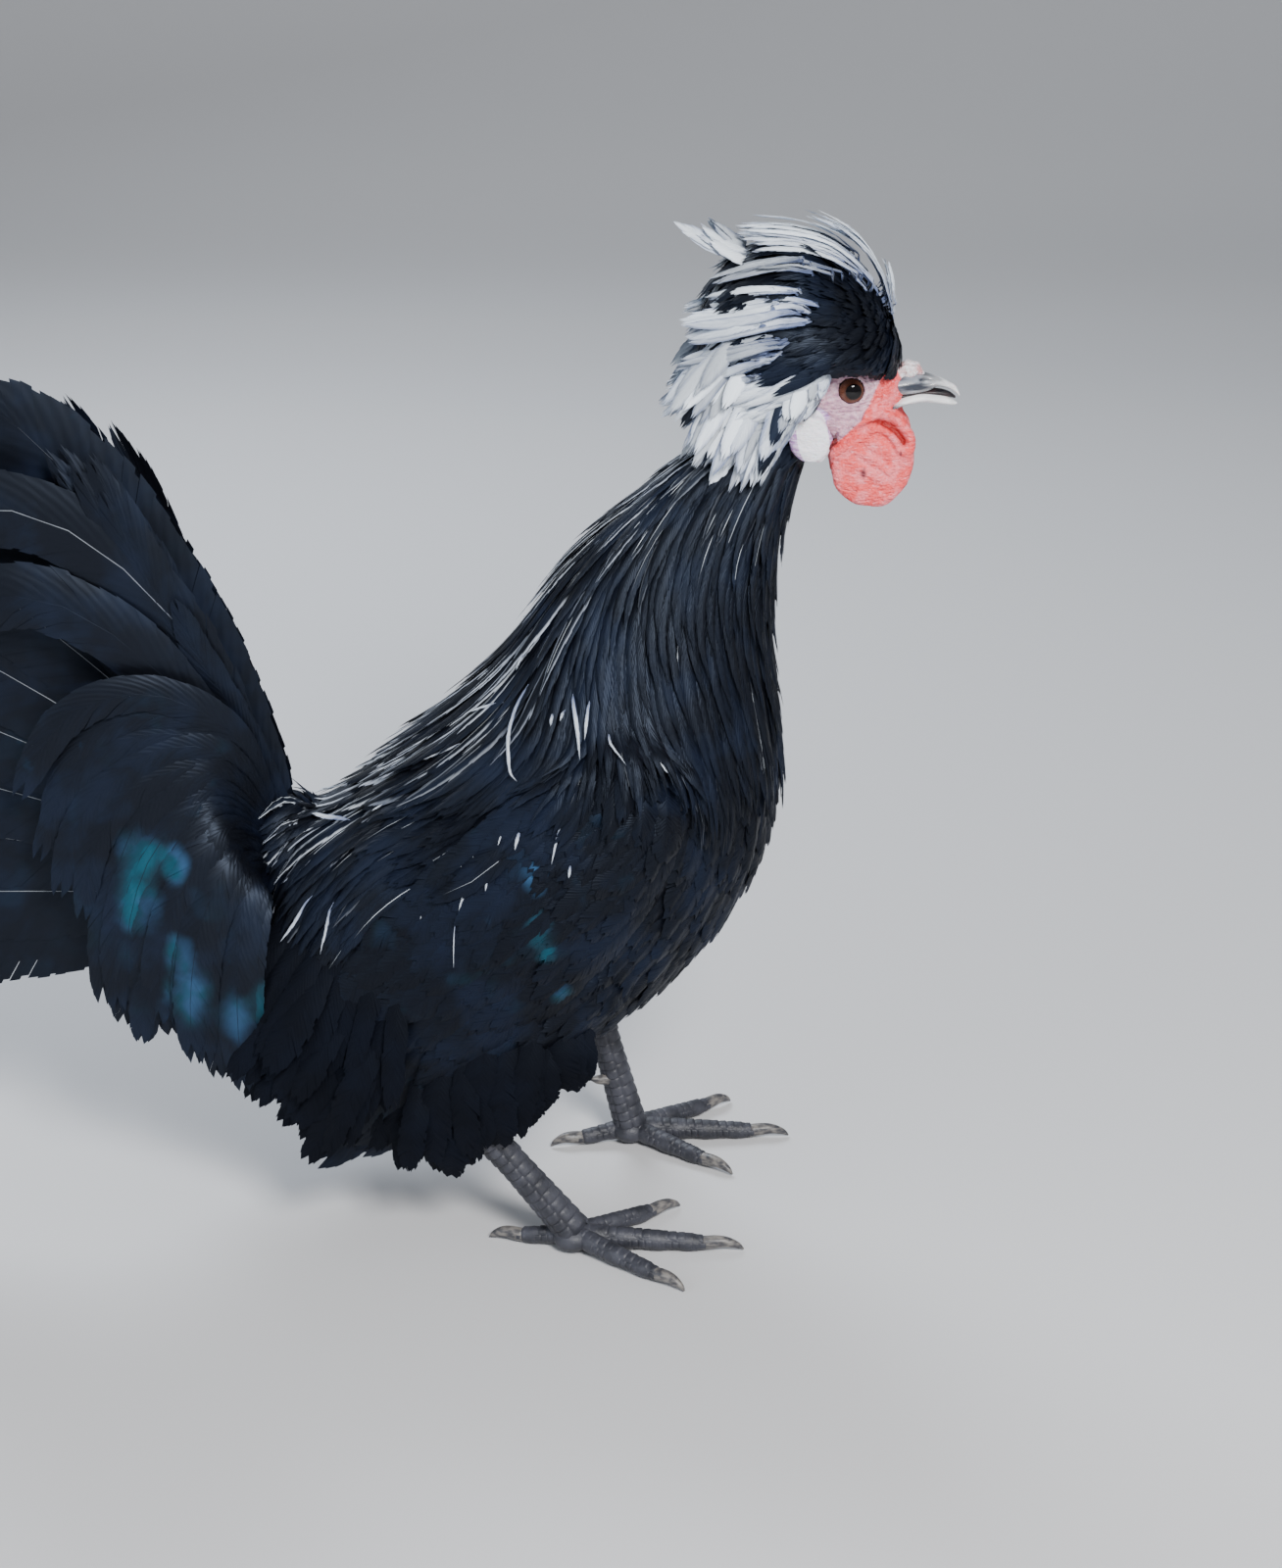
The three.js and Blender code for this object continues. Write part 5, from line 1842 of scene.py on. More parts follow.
@dataclass
class WingCoat:
    """The quills and coverts of one closed wing."""

    skin: Skin
    name: str
    seed: int = 31

    # Where glints are painted on the wing, as x, z and a radius
    GLINTS = ((-42.3, 186.2, 9), (-40.7, 163, 9), (-38, 152, 7), (-31.3, 130, 8))

    # Tiers of quills with how many there are, the roots and tips of the first and the last as
    # (s, t), the width and the height of root and tip over the board
    QUILLS = (
        (7, ((114, 36), (88, 5)), ((196, 40), (222, 11)), 20, (-2.5, 0.6)),
        (11, ((76, 58), (60, 3)), ((164, 62), (206, 1)), 22, (-2, 3.2)),
    )

    def __post_init__(self) -> None:
        """Starts the wing's piece."""
        self.side = SIDES[self.name]
        self.coat = Coat(f"wing_coat_{self.name}", self.seed + self.side)

    def build(self, material: Finish) -> Piece:
        """Makes the wing as one piece.

        Args:
            material: Its finish.

        Returns:
            The piece.
        """
        for tier in self.QUILLS:
            self._quills(*tier)
        self._coverts()
        return self.coat.build(material)

    def _lines(self, root: Array, tip: Array, lift: Array, drop: float) -> tuple[Array, Array]:
        """Lines over the wing's board.

        Args:
            root: Where they start, as rows of s and t.
            tip: Where they end.
            lift: The height of each one's root and tip over the board.
            drop: How far their middles sag.

        Returns:
            The lines and their outward directions.
        """
        k = np.linspace(0, 1, 9)
        s, t = np.moveaxis(root[:, None] + (tip - root)[:, None] * k[None, :, None], -1, 0)
        t = t - drop * np.sin(math.pi * k)
        high = lift[:, :1] + (lift[:, 1:] - lift[:, :1]) * np.sqrt(k)
        p = Wing.place(s, t, high)
        out = unit(np.cross(Wing.place(s, t + 1, high) - p, Wing.place(s + 1, t, high) - p))
        out = out * -np.sign(out[..., 1:2])
        return mirrored(p, self.side), mirrored(out, self.side)

    def _quills(self, count: int, root: Ends, tip: Ends, wide: float, lift: tuple[float, float]) -> None:
        """Adds one tier of long quills, from the upper edge to the lower one.

        Args:
            count: How many there are.
            root: The roots of the first and the last, as s and t.
            tip: Their tips.
            wide: The width of each.
            lift: The height of root and tip over the board.
        """
        chance = self.coat.chance
        share = np.linspace(0, 1, count)[:, None]
        root, tip = (blend(*np.array(ends, float), share) for ends in (root, tip))
        tip = tip + chance.normal(0, 1.5, tip.shape)
        rise = np.tile(np.array(lift, float), (count, 1)) + share * np.array((0.0, -1.2))
        lines, outs = self._lines(root, tip, rise, 7)
        self.coat.add(
            Kind.FLIGHT, lines, outs, np.full(count, wide * MM), self.skin.patch(lines[:, 0]),
            gloss=0.5 + 0.5 * chance.random(count), tone=0.4 * chance.random(count) - 0.25, lean=-0.35,
        )

    def _coverts(self) -> None:
        """Adds rows of rounded coverts, from the shoulder's scale-like ones to the great ones."""
        chance, rows = self.coat.chance, []
        s, row = -14.0, 0
        while s < 112:
            at = along(np.array(WING, float), Wing.station(np.array([s])))[0]
            gap = blend(5.0, 7.2, min(1.0, max(0.0, s / 100)))
            low, high = at[1] + 1, at[2] - 1
            count = max(2, int((high - low) / gap))
            for k in range(count + 1):
                share = (k + 0.5 * (row % 2)) / count
                t = blend(low, high, share)
                if t <= high:
                    rows.append((s, t, share))
            s += gap
            row += 1
        rows = np.array(rows)
        count = len(rows)
        shift = chance.normal(0, 1.0, (count, 2))
        grown = np.clip(rows[:, 0] / 100, 0, 1)
        root = rows[:, :2] + shift
        length = blend(36, 56, grown) * (1 + 0.1 * shift[:, 0])
        fan = (rows[:, 2] - 0.5) * blend(-2, 4, grown)
        tip = root + np.stack((length, fan + shift[:, 1]), axis=1)
        lift = np.stack((np.full(count, -1.5), blend(3.6, 5.2, grown) + 0.6 * shift[:, 1]), axis=1)
        lines, outs = self._lines(root, tip, lift, 1.5)
        # Which coverts show painted glints
        with_painted_glint = chance.random(count) > 0.3
        self.coat.add(
            Kind.COVERT, lines, outs, blend(10.5, 14, grown) * MM, self.skin.patch(lines[:, 0]),
            gloss=with_painted_glint * (0.5 + 0.5 * chance.random(count)), tone=0.7 * chance.random(count) - 0.35,
            lean=swing(chance, count),
        )


@dataclass
class TailCoat:
    """The tail's fan, its sickles, the narrow feathers at its front and the curved coverts."""

    skin: Skin
    seed: int = 51
    # How many feathers the fan has on each side, and how many loose ones stand in front of it
    count: int = 9
    loose: int = 24
    # The rise of the fan's first and last feather, and how far the first one curves back
    top: float = math.radians(68)
    low: float = math.radians(-8)
    turn_back: float = math.radians(9)

    # The lengths and the widths of the fan's first and last feather
    LENGTHS = (220, 192)
    WIDTHS = (42, 46)
    # Where glints are painted on the tail, as x, z and a radius
    GLINTS = (
        (-205, 177, 14), (-207, 160, 15), (-189, 138, 11), (-186, 121, 15), (-167, 113, 13), (-156, 118, 11),
        (-150, 125, 8), (-190, 176, 9),
    )

    # Lines of the tail's feathers, with Y outwards. The sickles have a width and a kind too.
    SICKLES = (
        (
            ((-150, 5, 176), (-184, 17, 268), (-238, 22, 318), (-300, 22, 312), (-340, 20, 262)),
            32, Kind.TAIL,
        ),
        (
            ((-152, 7, 172), (-190, 22, 248), (-240, 27, 286), (-290, 27, 272), (-318, 24, 226)),
            27, Kind.SICKLE,
        ),
    )
    COVERTS = (
        ((-152, 7, 182), (-166, 22, 226), (-198, 29, 246), (-232, 32, 236), (-254, 32, 202)),
        ((-153, 8, 178), (-176, 28, 206), (-202, 36, 190), (-217, 40, 156), (-221, 40, 116)),
        ((-154, 10, 174), (-172, 32, 192), (-190, 41, 172), (-201, 45, 144), (-204, 45, 108)),
        ((-155, 12, 168), (-166, 36, 176), (-178, 46, 152), (-184, 50, 122), (-186, 49, 88)),
        ((-154, 12, 160), (-158, 38, 160), (-163, 49, 134), (-166, 52, 106), (-167, 50, 70)),
    )
    LOW_COVERTS = (
        ((-156, 12, 156), (-178, 32, 162), (-201, 38, 152), (-218, 40, 134), (-226, 39, 112)),
        ((-156, 12, 152), (-171, 34, 152), (-188, 42, 138), (-199, 45, 116), (-202, 43, 92)),
    )
    FRONT = ((-146, 5, 182), (-163, 12, 222), (-187, 15, 266), (-203, 15, 312), (-222, 13, 352))

    def __post_init__(self) -> None:
        """Starts the tail's piece."""
        self.coat = Coat("tail_coat", self.seed)

    def build(self, material: Finish) -> Piece:
        """Makes the tail as one piece.

        Args:
            material: Its finish.

        Returns:
            The piece.
        """
        for side in SIDES.values():
            self._fan(side)
            for path, wide, kind in self.SICKLES:
                self._along(side, kind, [path], wide, 0.0)
            self._front(side)
            self._coverts(side)
        return self.coat.build(material)

    def _along(
        self,
        side: int,
        kind: Kind,
        paths: Sequence[Sequence[Place]],
        wide: Array | float,
        gloss: Array | float,
    ) -> None:
        """Adds feathers along lines.

        Args:
            side: The side of the tail.
            kind: Their kind.
            paths: The places that each line passes, with Y outwards.
            wide: The width of each.
            gloss: How strongly the painted glint shows on each.
        """
        rows = np.array(paths, float)
        count, knots, _ = rows.shape
        k = np.linspace(0, knots - 1, 12)
        lines = np.stack([along(r, k) for r in rows]) * MM * np.array((1.0, side, 1.0))
        outs = np.broadcast_to(unit(np.array((0.0, side, 0.12))), lines.shape)
        self.coat.add(
            kind, lines, outs, np.broadcast_to(np.asarray(wide) * MM, (count,)), self.skin.patch(lines[:, 0]),
            gloss=gloss, tone=0.5 * self.coat.chance.random(count) - 0.3, lean=-0.4,
        )

    def _fan(self, side: int) -> None:
        """Adds the broad main feathers.

        Args:
            side: The side of the tail.
        """
        chance, paths = self.coat.chance, []
        for k in range(self.count):
            share = k / (self.count - 1)
            angle = blend(self.top, self.low, share) + chance.normal(0, 0.02)
            reach = blend(*self.LENGTHS, share) + chance.normal(0, 3)
            root = blend(np.array((-148.0, 180)), np.array((-156.0, 146)), share)
            path = []
            for t in np.linspace(0, 1, 5):
                a = angle - self.turn_back * (1 - share) * t * t
                spread = blend(4, 14, share) * blend(0.8, 1, t) + 0.6 * (k % 2)
                path.append((root[0] - math.cos(a) * reach * t, spread, root[1] + math.sin(a) * reach * t))
            paths.append(path)
        self._along(side, Kind.TAIL, paths, blend(*self.WIDTHS, np.linspace(0, 1, self.count)), 0.3)

    def _front(self, side: int) -> None:
        """Adds narrow, loose feathers along the front of the fan.

        Args:
            side: The side of the tail.
        """
        chance, base, paths = self.coat.chance, np.array(self.FRONT, float), []
        for k in range(self.loose):
            share = k / (self.loose - 1)
            part = along(base, np.linspace(0, blend(2.1, 4, share), 5))
            shift = np.linspace(0, 1, 5)[:, None] ** 1.3
            stray = chance.normal(0, 1, 3) * np.array((4.0, 3.0, 5.0))
            paths.append(part + shift * (stray + np.array((-7 * (k % 3), 3.0 * (k % 2), 0.0))))
        self._along(side, Kind.LOOSE, paths, 11 + 6 * chance.random(self.loose), 0.1)

    def _coverts(self, side: int) -> None:
        """Adds the curved coverts that hide the roots of the fan.

        Args:
            side: The side of the tail.
        """
        chance = self.coat.chance
        for rows, count, wide in ((self.COVERTS, 34, 14), (self.LOW_COVERTS, 10, 15)):
            base = np.array(rows, float)
            share = np.linspace(0, len(rows) - 1, count)
            chosen = along(base.reshape(len(rows), -1), share).reshape(count, 5, 3)
            t = np.linspace(0, 1, 5)[None, :, None]
            shrink = 1 - 0.12 * chance.random((count, 1, 1)) * t
            root = chosen[:, :1]
            chosen = root + (chosen - root) * shrink
            chosen = chosen + t * chance.normal(0, 1, (count, 1, 3)) * np.array((5.0, 1.5, 4.0))
            gloss = 0.35 + 0.65 * chance.random(count)
            width = wide * (0.85 + 0.3 * chance.random(count))
            self._along(side, Kind.SICKLE, chosen, width, gloss)


@dataclass
class CrestCoat:
    """The crest, in shells of feathers that sweep from the forehead, with its white locks."""

    skin: Skin
    seed: int = 71
    centre: Place = (62, 0, 385)
    # How far its parting leans to the front
    lean: float = math.radians(80)

    # How many points the line of a shell's or fringe's feather has
    STATIONS = 8
    # The turn from one tip to the next, in half circles, that spreads them evenly over a ball
    GOLDEN = 3 - math.sqrt(5)
    # How far the crest reaches from its centre, and how much lower it falls at the back
    FRONT, SIDE, BACK, TOP, LOW, FALL = 41.5, 36, 39, 42, 40, 16
    # For each shell, its size, how many tips would cover a ball, and the feathers' length and width
    SHELLS = ((0.84, 620, 34, 6.5), (0.92, 760, 38, 6.0), (1.0, 1040, 46, 4.9))
    # For each layer of the fringe, how many, their width, how far out it lies and how white it is; the inner
    # layer is greyer, as painted shade under the outer one
    FRINGES = ((170, 5.4, 0.0, 0.6), (84, 7.6, 2.2, 1.0))

    # White marks on the side of the crest, as x and z of two ends, the radius and how white
    MARKS = (
        (58, 404, 36, 398, 3.6, 0.9),
        (48, 393, 24, 389, 2.6, 0.85),
        (34, 380, 20, 374, 2.6, 0.7),
        (26, 374, 14, 360, 4.5, 0.95),
        (66, 374, 40, 345, 8.0, 0.95),
        (56, 372, 30, 350, 9.0, 0.95),
        (42, 374, 22, 354, 6.5, 0.9),
        (60, 419, 36, 412, 1.8, 0.35),
    )
    # Dark gaps between them, in the same way
    GAPS = (
        (64, 382, 46, 386, 4.8),
        (50, 387, 26, 384, 2.4),
        (64, 413, 40, 410, 2.4),
        (34, 391, 22, 384, 1.6),
        (30, 404, 22, 396, 2.2),
    )
    # Strands on its side, as x and z of their lines, how many, the width, the spread and how white
    STRANDS = (
        (((76, 414), (65, 418), (56, 419.5), (44, 417), (33, 412.5), (28, 410)), 12, 2.8, 1.5, 0.55),
        (((62, 409), (54, 409.5), (44, 409), (34, 406), (25, 401)), 10, 2.8, 1.2, 0.97),
        (((66, 403), (55, 405), (44, 402), (30, 397), (16.5, 394)), 15, 4.0, 1.8, 1.0),
        (((64, 399), (52, 398), (40, 395), (30, 391), (19, 386.5)), 14, 3.8, 1.6, 1.0),
        (((58, 393), (48, 391), (38, 387), (27, 380.5), (14.5, 374.5)), 12, 3.0, 1.7, 0.7),
        (((52, 386), (42, 382), (32, 376), (21, 370), (10.5, 364.5)), 13, 4.0, 1.7, 0.97),
        (((44, 379), (34, 374), (25, 368), (16.5, 362), (8, 356.5)), 9, 3.2, 1.0, 1.0),
        (((46, 378), (36, 373), (26, 365.5), (15.5, 357.5)), 9, 4.2, 1.2, 0.97),
    )
    # The fringe from the ear to the back of the crest, as x and z of roots and of tips
    FRINGE = (
        (76, 381, 66, 366),
        (75, 382, 61.5, 359.5),
        (73, 384, 54.5, 354),
        (70, 386, 50, 343),
        (67, 388, 42, 331),
        (64, 390, 33.5, 326.5),
        (60, 392, 27.5, 335),
        (57, 393, 18, 339),
        (54, 395, 18.5, 348.5),
        (52, 396, 13, 356),
        (50, 398, 10, 361),
    )
    # Locks of long feathers: the line of one, how many, the width, the spread and how white
    LOCKS = (
        (
            ((97, 4, 392), (96.5, 4, 400), (93, 4, 411), (86.5, 4, 421), (77.5, 4, 428), (63.5, 3, 433.5)),
            7, 3.4, 0.8, 1.0,
        ),
        (((98.5, 6, 394), (97.5, 6, 403), (97, 6, 408.5), (95, 5, 414.5)), 4, 2.8, 0.9, 1.0),
        (
            (
                (93, 8, 400), (87, 8, 410), (79, 8, 418.5), (70, 8, 424), (58, 8, 427), (46, 7, 427.5),
                (37, 6, 427),
            ),
            17, 3.5, 1.5, 1.0,
        ),
        (
            (
                (92, 11, 398), (86, 12, 408.5), (79, 12, 415.5), (70, 12, 420.5), (60, 12, 423),
                (50, 11, 423), (41, 10, 421.5),
            ),
            13, 3.1, 1.6, 0.95,
        ),
        (((54, 6, 411), (42, 6, 416.5), (30, 6, 422), (14.5, 5, 429)), 6, 8.4, 1.7, 0.9),
        (((52, 2, 412), (42, 2, 417), (35, 2, 424), (26, 1, 431.5)), 5, 8.4, 1.6, 0.62),
    )

    def _way(self, far: Array, turn: Array) -> Array:
        """Directions over the crest.

        Args:
            far: Angles from its parting.
            turn: Angles round the parting, from the top.

        Returns:
            The directions.
        """
        far, turn, side = far[..., None], turn[..., None], np.array((0.0, 1.0, 0.0))
        return np.cos(far) * self.pole + np.sin(far) * (np.cos(turn) * self.rise + np.sin(turn) * side)

    def _reach(self, way: Array) -> Array:
        """How far the crest reaches in a direction, in millimetres.

        Args:
            way: Unit directions.

        Returns:
            The distances.
        """
        level = np.hypot(way[..., 0], way[..., 1]) + 1e-6
        ahead = way[..., 0] / level
        flat = self.SIDE + (np.where(ahead > 0, self.FRONT, self.BACK) - self.SIDE) * ahead**2
        down = np.arccos(np.clip(way[..., 2], -1, 1))
        fall = np.maximum(0, (down - math.radians(100)) / math.radians(40)) * np.maximum(0, -ahead)
        rise = np.maximum(0, way[..., 2])
        brow = 13 * np.maximum(0, way[..., 0]) * rise
        return blend(flat, self.TOP, rise**2) + self.FALL * fall - brow

    def _whiteness(self, place: Array) -> Array:
        """How white the crest is at places, in millimetres.

        Args:
            place: The places.

        Returns:
            Shares from 0 to 1.
        """
        spot = place[:, (0, 2)]
        found = np.zeros(len(spot))
        for *ends, radius, white in self.MARKS:
            found = np.maximum(found, white * (apart(spot, ends) < radius))
        for *ends, radius in self.GAPS:
            found = np.where(apart(spot, ends) < radius, 0.0, found)
        return found

    def __post_init__(self) -> None:
        """Starts the crest's piece and its own axes."""
        self.coat = Coat("crest_coat", self.seed)
        c, s = math.cos(self.lean), math.sin(self.lean)
        self.pole, self.rise = np.array((s, 0, c)), np.array((-c, 0, s))

    def build(self, material: Finish) -> Piece:
        """Makes the crest as one piece.

        Args:
            material: Its finish.

        Returns:
            The piece.
        """
        for shell in self.SHELLS:
            self._shell(*shell)
        for side in SIDES.values():
            for layer in self.FRINGES:
                self._fringe(side, *layer)
            for lock in self.LOCKS:
                self._lock(side, *lock)
            for line, *sizes in self.STRANDS:
                self._lock(side, self._beside(line), *sizes)
            self._bristles(side)
        return self.coat.build(material)

    def _beside(self, line: Sequence[tuple[float, float]]) -> list[Place]:
        """A line on the side of the crest's outer shell.

        Args:
            line: Its x and z.

        Returns:
            Its places, with Y outwards.
        """
        found = []
        for x, z in line:
            dx, dz = x - self.centre[0], z - self.centre[2]
            across = dx / (self.FRONT if dx > 0 else self.BACK)
            up = dz / (self.TOP if dz > 0 else self.LOW)
            found.append((x, 1.2 + self.SIDE * math.sqrt(max(0.06, 1 - (across**2 + up**2))), z))
        return found

    def _bristles(self, side: int, count: int = 12) -> None:
        """Adds thin pale bristles across the ear.

        Args:
            side: The side of the head.
            count: How many there are.
        """
        chance = self.coat.chance
        t = np.linspace(0, 1, 5)
        shift = chance.normal(0, 1, (count, 1, 3)) * np.array((1.6, 0.5, 1.4))
        ahead = 69.5 - 8 * t**1.3
        line = np.stack((ahead, side * (17.6 + 1.6 * np.sin(math.pi * t)), 366.5 - 10 * t), axis=-1)
        place = (line + shift) * MM
        outs = np.broadcast_to(np.array((0.2, side, 0.1)), place.shape)
        self.coat.add(
            Kind.LANCET, place, unit(outs), np.full(count, 0.7 * MM), self.skin.patch(place[:, 0]),
            white=np.where(chance.random(count) > 0.4, 0.9, 0.1),
        )

    def _shell(self, size: float, tries: int, length: float, wide: float) -> None:
        """Adds one shell of feathers, each tip over the roots of those behind it.

        Args:
            size: How large it is beside the crest.
            tries: How many tips would cover the whole ball.
            length: The length of its feathers.
            wide: Their width.
        """
        chance, centre = self.coat.chance, np.array(self.centre)
        k = np.arange(tries) + 0.5
        up = 1 - 2 * k / tries
        turn = k * math.pi * self.GOLDEN
        ring = np.sqrt(1 - up**2)
        way = np.stack((ring * np.cos(turn), ring * np.sin(turn), up), axis=1)
        way = unit(way + chance.normal(0, 0.03, way.shape))
        far = np.arccos(np.clip(way @ self.pole, -1, 1))
        turn = np.arctan2(way[:, 1], way @ self.rise)
        tip = centre + way * self._reach(way)[:, None] * size
        x, y, z = tip.T
        brow = 371.6 + 0.4 * np.maximum(0, np.abs(y) - 12)
        edge = np.where(x > 71, brow, 379 - np.maximum(0, 60 - x) * 0.9)
        keep = (z > np.maximum(edge, 345)) & (far > 0.3)
        far, turn = far[keep], turn[keep]
        count = len(far)
        reach = self._reach(way[keep])
        long = length * vary(chance, count, 0.14)
        long = long * np.interp(far, (0.3, 0.9, 1.6, 2.6), (0.5, 0.85, 1.1, 1.2))
        start = np.maximum(far - long / reach, 0.03)
        t = np.linspace(0, 1, self.STATIONS)
        turn = np.repeat(turn[:, None], self.STATIONS, 1)
        path = self._way(start[:, None] + (far - start)[:, None] * t, turn)
        path = unit(path + np.array((0, 0, -0.2)) * (t**2)[None, :, None] * ease(0.35, -0.35, path[..., 2:3]))
        rear = ease(0.8, 2.4, far)[:, None]
        loose = 1 + (0.012 + 0.026 * rear) * chance.normal(0, 1, (count, 1)) * t
        low = blend(0.93, 0.74, ease(0.3, 1.3, far))[:, None]
        high = self._reach(path) * size * blend(low, 1.0, t**0.7) * loose
        place = centre + path * high[..., None]
        low = 372.0 + 0.4 * np.maximum(0, np.abs(place[..., 1]) - 12)
        front = ease(64, 74, place[..., 0])
        place[..., 2] = np.where(place[..., 2] < low, blend(place[..., 2], low, front), place[..., 2])
        base, _, faces = self.skin.settle(place[:, 0] * MM)
        place = place * MM
        place = place + (base - place[:, 0])[:, None] * ((1 - t) ** 3)[None, :, None]
        outs = unit(place - centre * MM)
        spot = place[:, 5] / MM
        white = self._whiteness(spot + chance.normal(0, 1.0, spot.shape))
        hidden = ease(26, 14, spot[:, 0]) * (chance.random(count) > 0.5)
        white = np.maximum(white, hidden) * (0.85 + 0.15 * chance.random(count))
        white = np.where((white < 0.1) & (spot[:, 0] < 50) & (chance.random(count) > 0.95), 0.4, white)
        wide = wide * vary(chance, count, 0.15) * np.interp(white, (0, 1), (1.15, 0.9))
        self.coat.add(
            Kind.CREST, place, outs, wide * MM, self.skin.maps[faces], white=white,
            tone=(0.3 + 0.5 * white) * (chance.random(count) - 0.5), lean=swing(chance, count),
        )

    def _fringe(self, side: int, count: int, wide: float, level: float, pale: float) -> None:
        """Adds one layer of the long lancets that hang over the ear and the nape.

        Args:
            side: The side of the head.
            count: How many there are.
            wide: Their width.
            level: How far the layer lies outside the first.
            pale: How white they are; the inner layer is greyer, as painted shade.
        """
        chance = self.coat.chance
        share = np.sort(chance.random(count))
        layer = chance.random(count) ** 1.5
        rows = np.array(self.FRINGE, float)
        ends = along(rows, share * (len(rows) - 1))
        root, tip = ends[:, :2], ends[:, 2:]
        tip = tip + chance.normal(0, 1.7, (count, 2))
        tip, root = blend(tip, root, 0.4 * layer[:, None]), root + (root - tip) * 0.12 * layer[:, None]
        t = np.linspace(0, 1, self.STATIONS)
        flat = root[:, None] + (tip - root)[:, None] * t[None, :, None]
        flat[..., 1] += (3.5 * np.sin(math.pi * t)) * (0.4 + share[:, None])
        inward = np.where(share > 0.42, chance.random(count) ** 0.6, 1.0)
        far = 25 + 5 * layer + 3 * share + 2.5 * np.exp(-(((share - 0.35) / 0.18) ** 2))
        far = far + level + 0.8 * chance.normal(0, 1, count)
        out = blend(17.5, far[:, None], t**0.7) * inward[:, None]
        place = np.stack((flat[..., 0], side * out, flat[..., 1]), axis=-1) * MM
        base, _, faces = self.skin.settle(place[:, 0])
        place = place + (base - place[:, 0])[:, None] * ((1 - t) ** 3)[None, :, None]
        outs = place - np.array((50.0, 0, 372)) * MM
        outs = unit(outs * np.array((0.8, 1.6, 0.6)))
        often = blend(0.92, 0.98, pale > 0.9)
        white = np.where(chance.random(count) < often, pale * (0.8 + 0.2 * chance.random(count)), 0.0)
        wide = wide * vary(chance, count, 0.18) * np.interp(share, (0, 0.3), (0.5, 1))
        self.coat.add(
            Kind.LANCET, place, outs, wide * MM, self.skin.maps[faces], white=white,
            tone=1.5 * chance.random(count) - 0.85, lean=swing(chance, count),
        )

    def _lock(
        self, side: int, line: Sequence[Place], count: int, wide: float, spread: float, white: float
    ) -> None:
        """Adds a lock of long loose feathers.

        Args:
            side: The side of the head.
            line: The places that the middle one passes, with Y outwards.
            count: How many there are.
            wide: Their width.
            spread: How far they stray from the line.
            white: How white they are.
        """
        chance = self.coat.chance
        rows = np.array(line, float) * np.array((1, side, 1))
        knots = len(rows) - 1
        begin = 0.35 * knots * chance.random(count)
        end = knots * (1 - 0.22 * chance.random(count) ** 2)
        u = begin[:, None] + (end - begin)[:, None] * np.linspace(0, 1, 9)
        place = along(rows, u) + chance.normal(0, spread, (count, 1, 3)) * np.array((0.6, 1.3, 0.6))
        fray = chance.normal(0, 1.0, (count, 1, 3)) * (np.linspace(0, 1, 9)[None, :, None] ** 2)
        place = (place + fray) * MM
        base, _, faces = self.skin.settle(place[:, 0])
        place = np.concatenate((base[:, None], place), axis=1)
        outs = unit(place - np.array(self.centre) * MM)
        self.coat.add(
            Kind.LANCET, place, outs, wide * MM * (0.8 + 0.4 * chance.random(count)), self.skin.maps[faces],
            white=white * (0.85 + 0.15 * chance.random(count)), tone=1.2 * chance.random(count) - 0.7,
            lean=swing(chance, count),
        )


@dataclass(frozen=True)
class Horn:
    """The finish of the bill: grey at its base, streaked, pale at the tip."""

    def material(self) -> Finish:
        """The material, which follows the bill's length.

        Returns:
            The material.
        """
        g = Graph("bill_finish")
        place = g.place()
        x, z = g.axis(place, "X"), g.axis(place, "Z")
        tip = (x - float(SHIFT[0]) - 0.1085) * 62
        edge = (z - 0.3655).step(0.0, -0.002) * (z - 0.3600).step(-0.0012, 0.0006)
        streak = g.noise(150, 4, (0.35, 1.6, 2.4))
        fine = g.noise(700, 3, (0.3, 1.5, 1.5))
        base = g.mix((0.022, 0.027, 0.042), (0.25, 0.27, 0.32), streak.step(0.42, 0.62))
        pale = g.mix((0.88, 0.88, 0.88), (0.42, 0.43, 0.46), streak.step(0.6, 0.42) * 0.4)
        lower = z.step(0.3642, 0.3630) * 0.75
        colour = g.mix(base, pale, (tip + streak * 0.9 - 0.45 + edge * 0.5 + lower).clamp())
        return g.finish(
            colour, 0.30 + fine * 0.15, fine * 0.4 + streak * 0.6, depth=0.0003,
            Coat_Weight=0.25, Subsurface_Weight=0.08, Subsurface_Scale=0.001,
        )


@dataclass(frozen=True)
class Palate:
    """The finish of the tongue and the inside of the mouth, near black as painted shade."""

    def material(self) -> Finish:
        """The material, near black as painted shade, and moist.

        Returns:
            The material.
        """
        g = Graph("mouth_painted_shade")
        cloud = g.noise(400, 3)
        colour = g.mix((0.006, 0.005, 0.007), (0.030, 0.014, 0.016), cloud.step(0.35, 0.7))
        return g.finish(colour, 0.35 + cloud * 0.2, cloud, depth=0.0003)


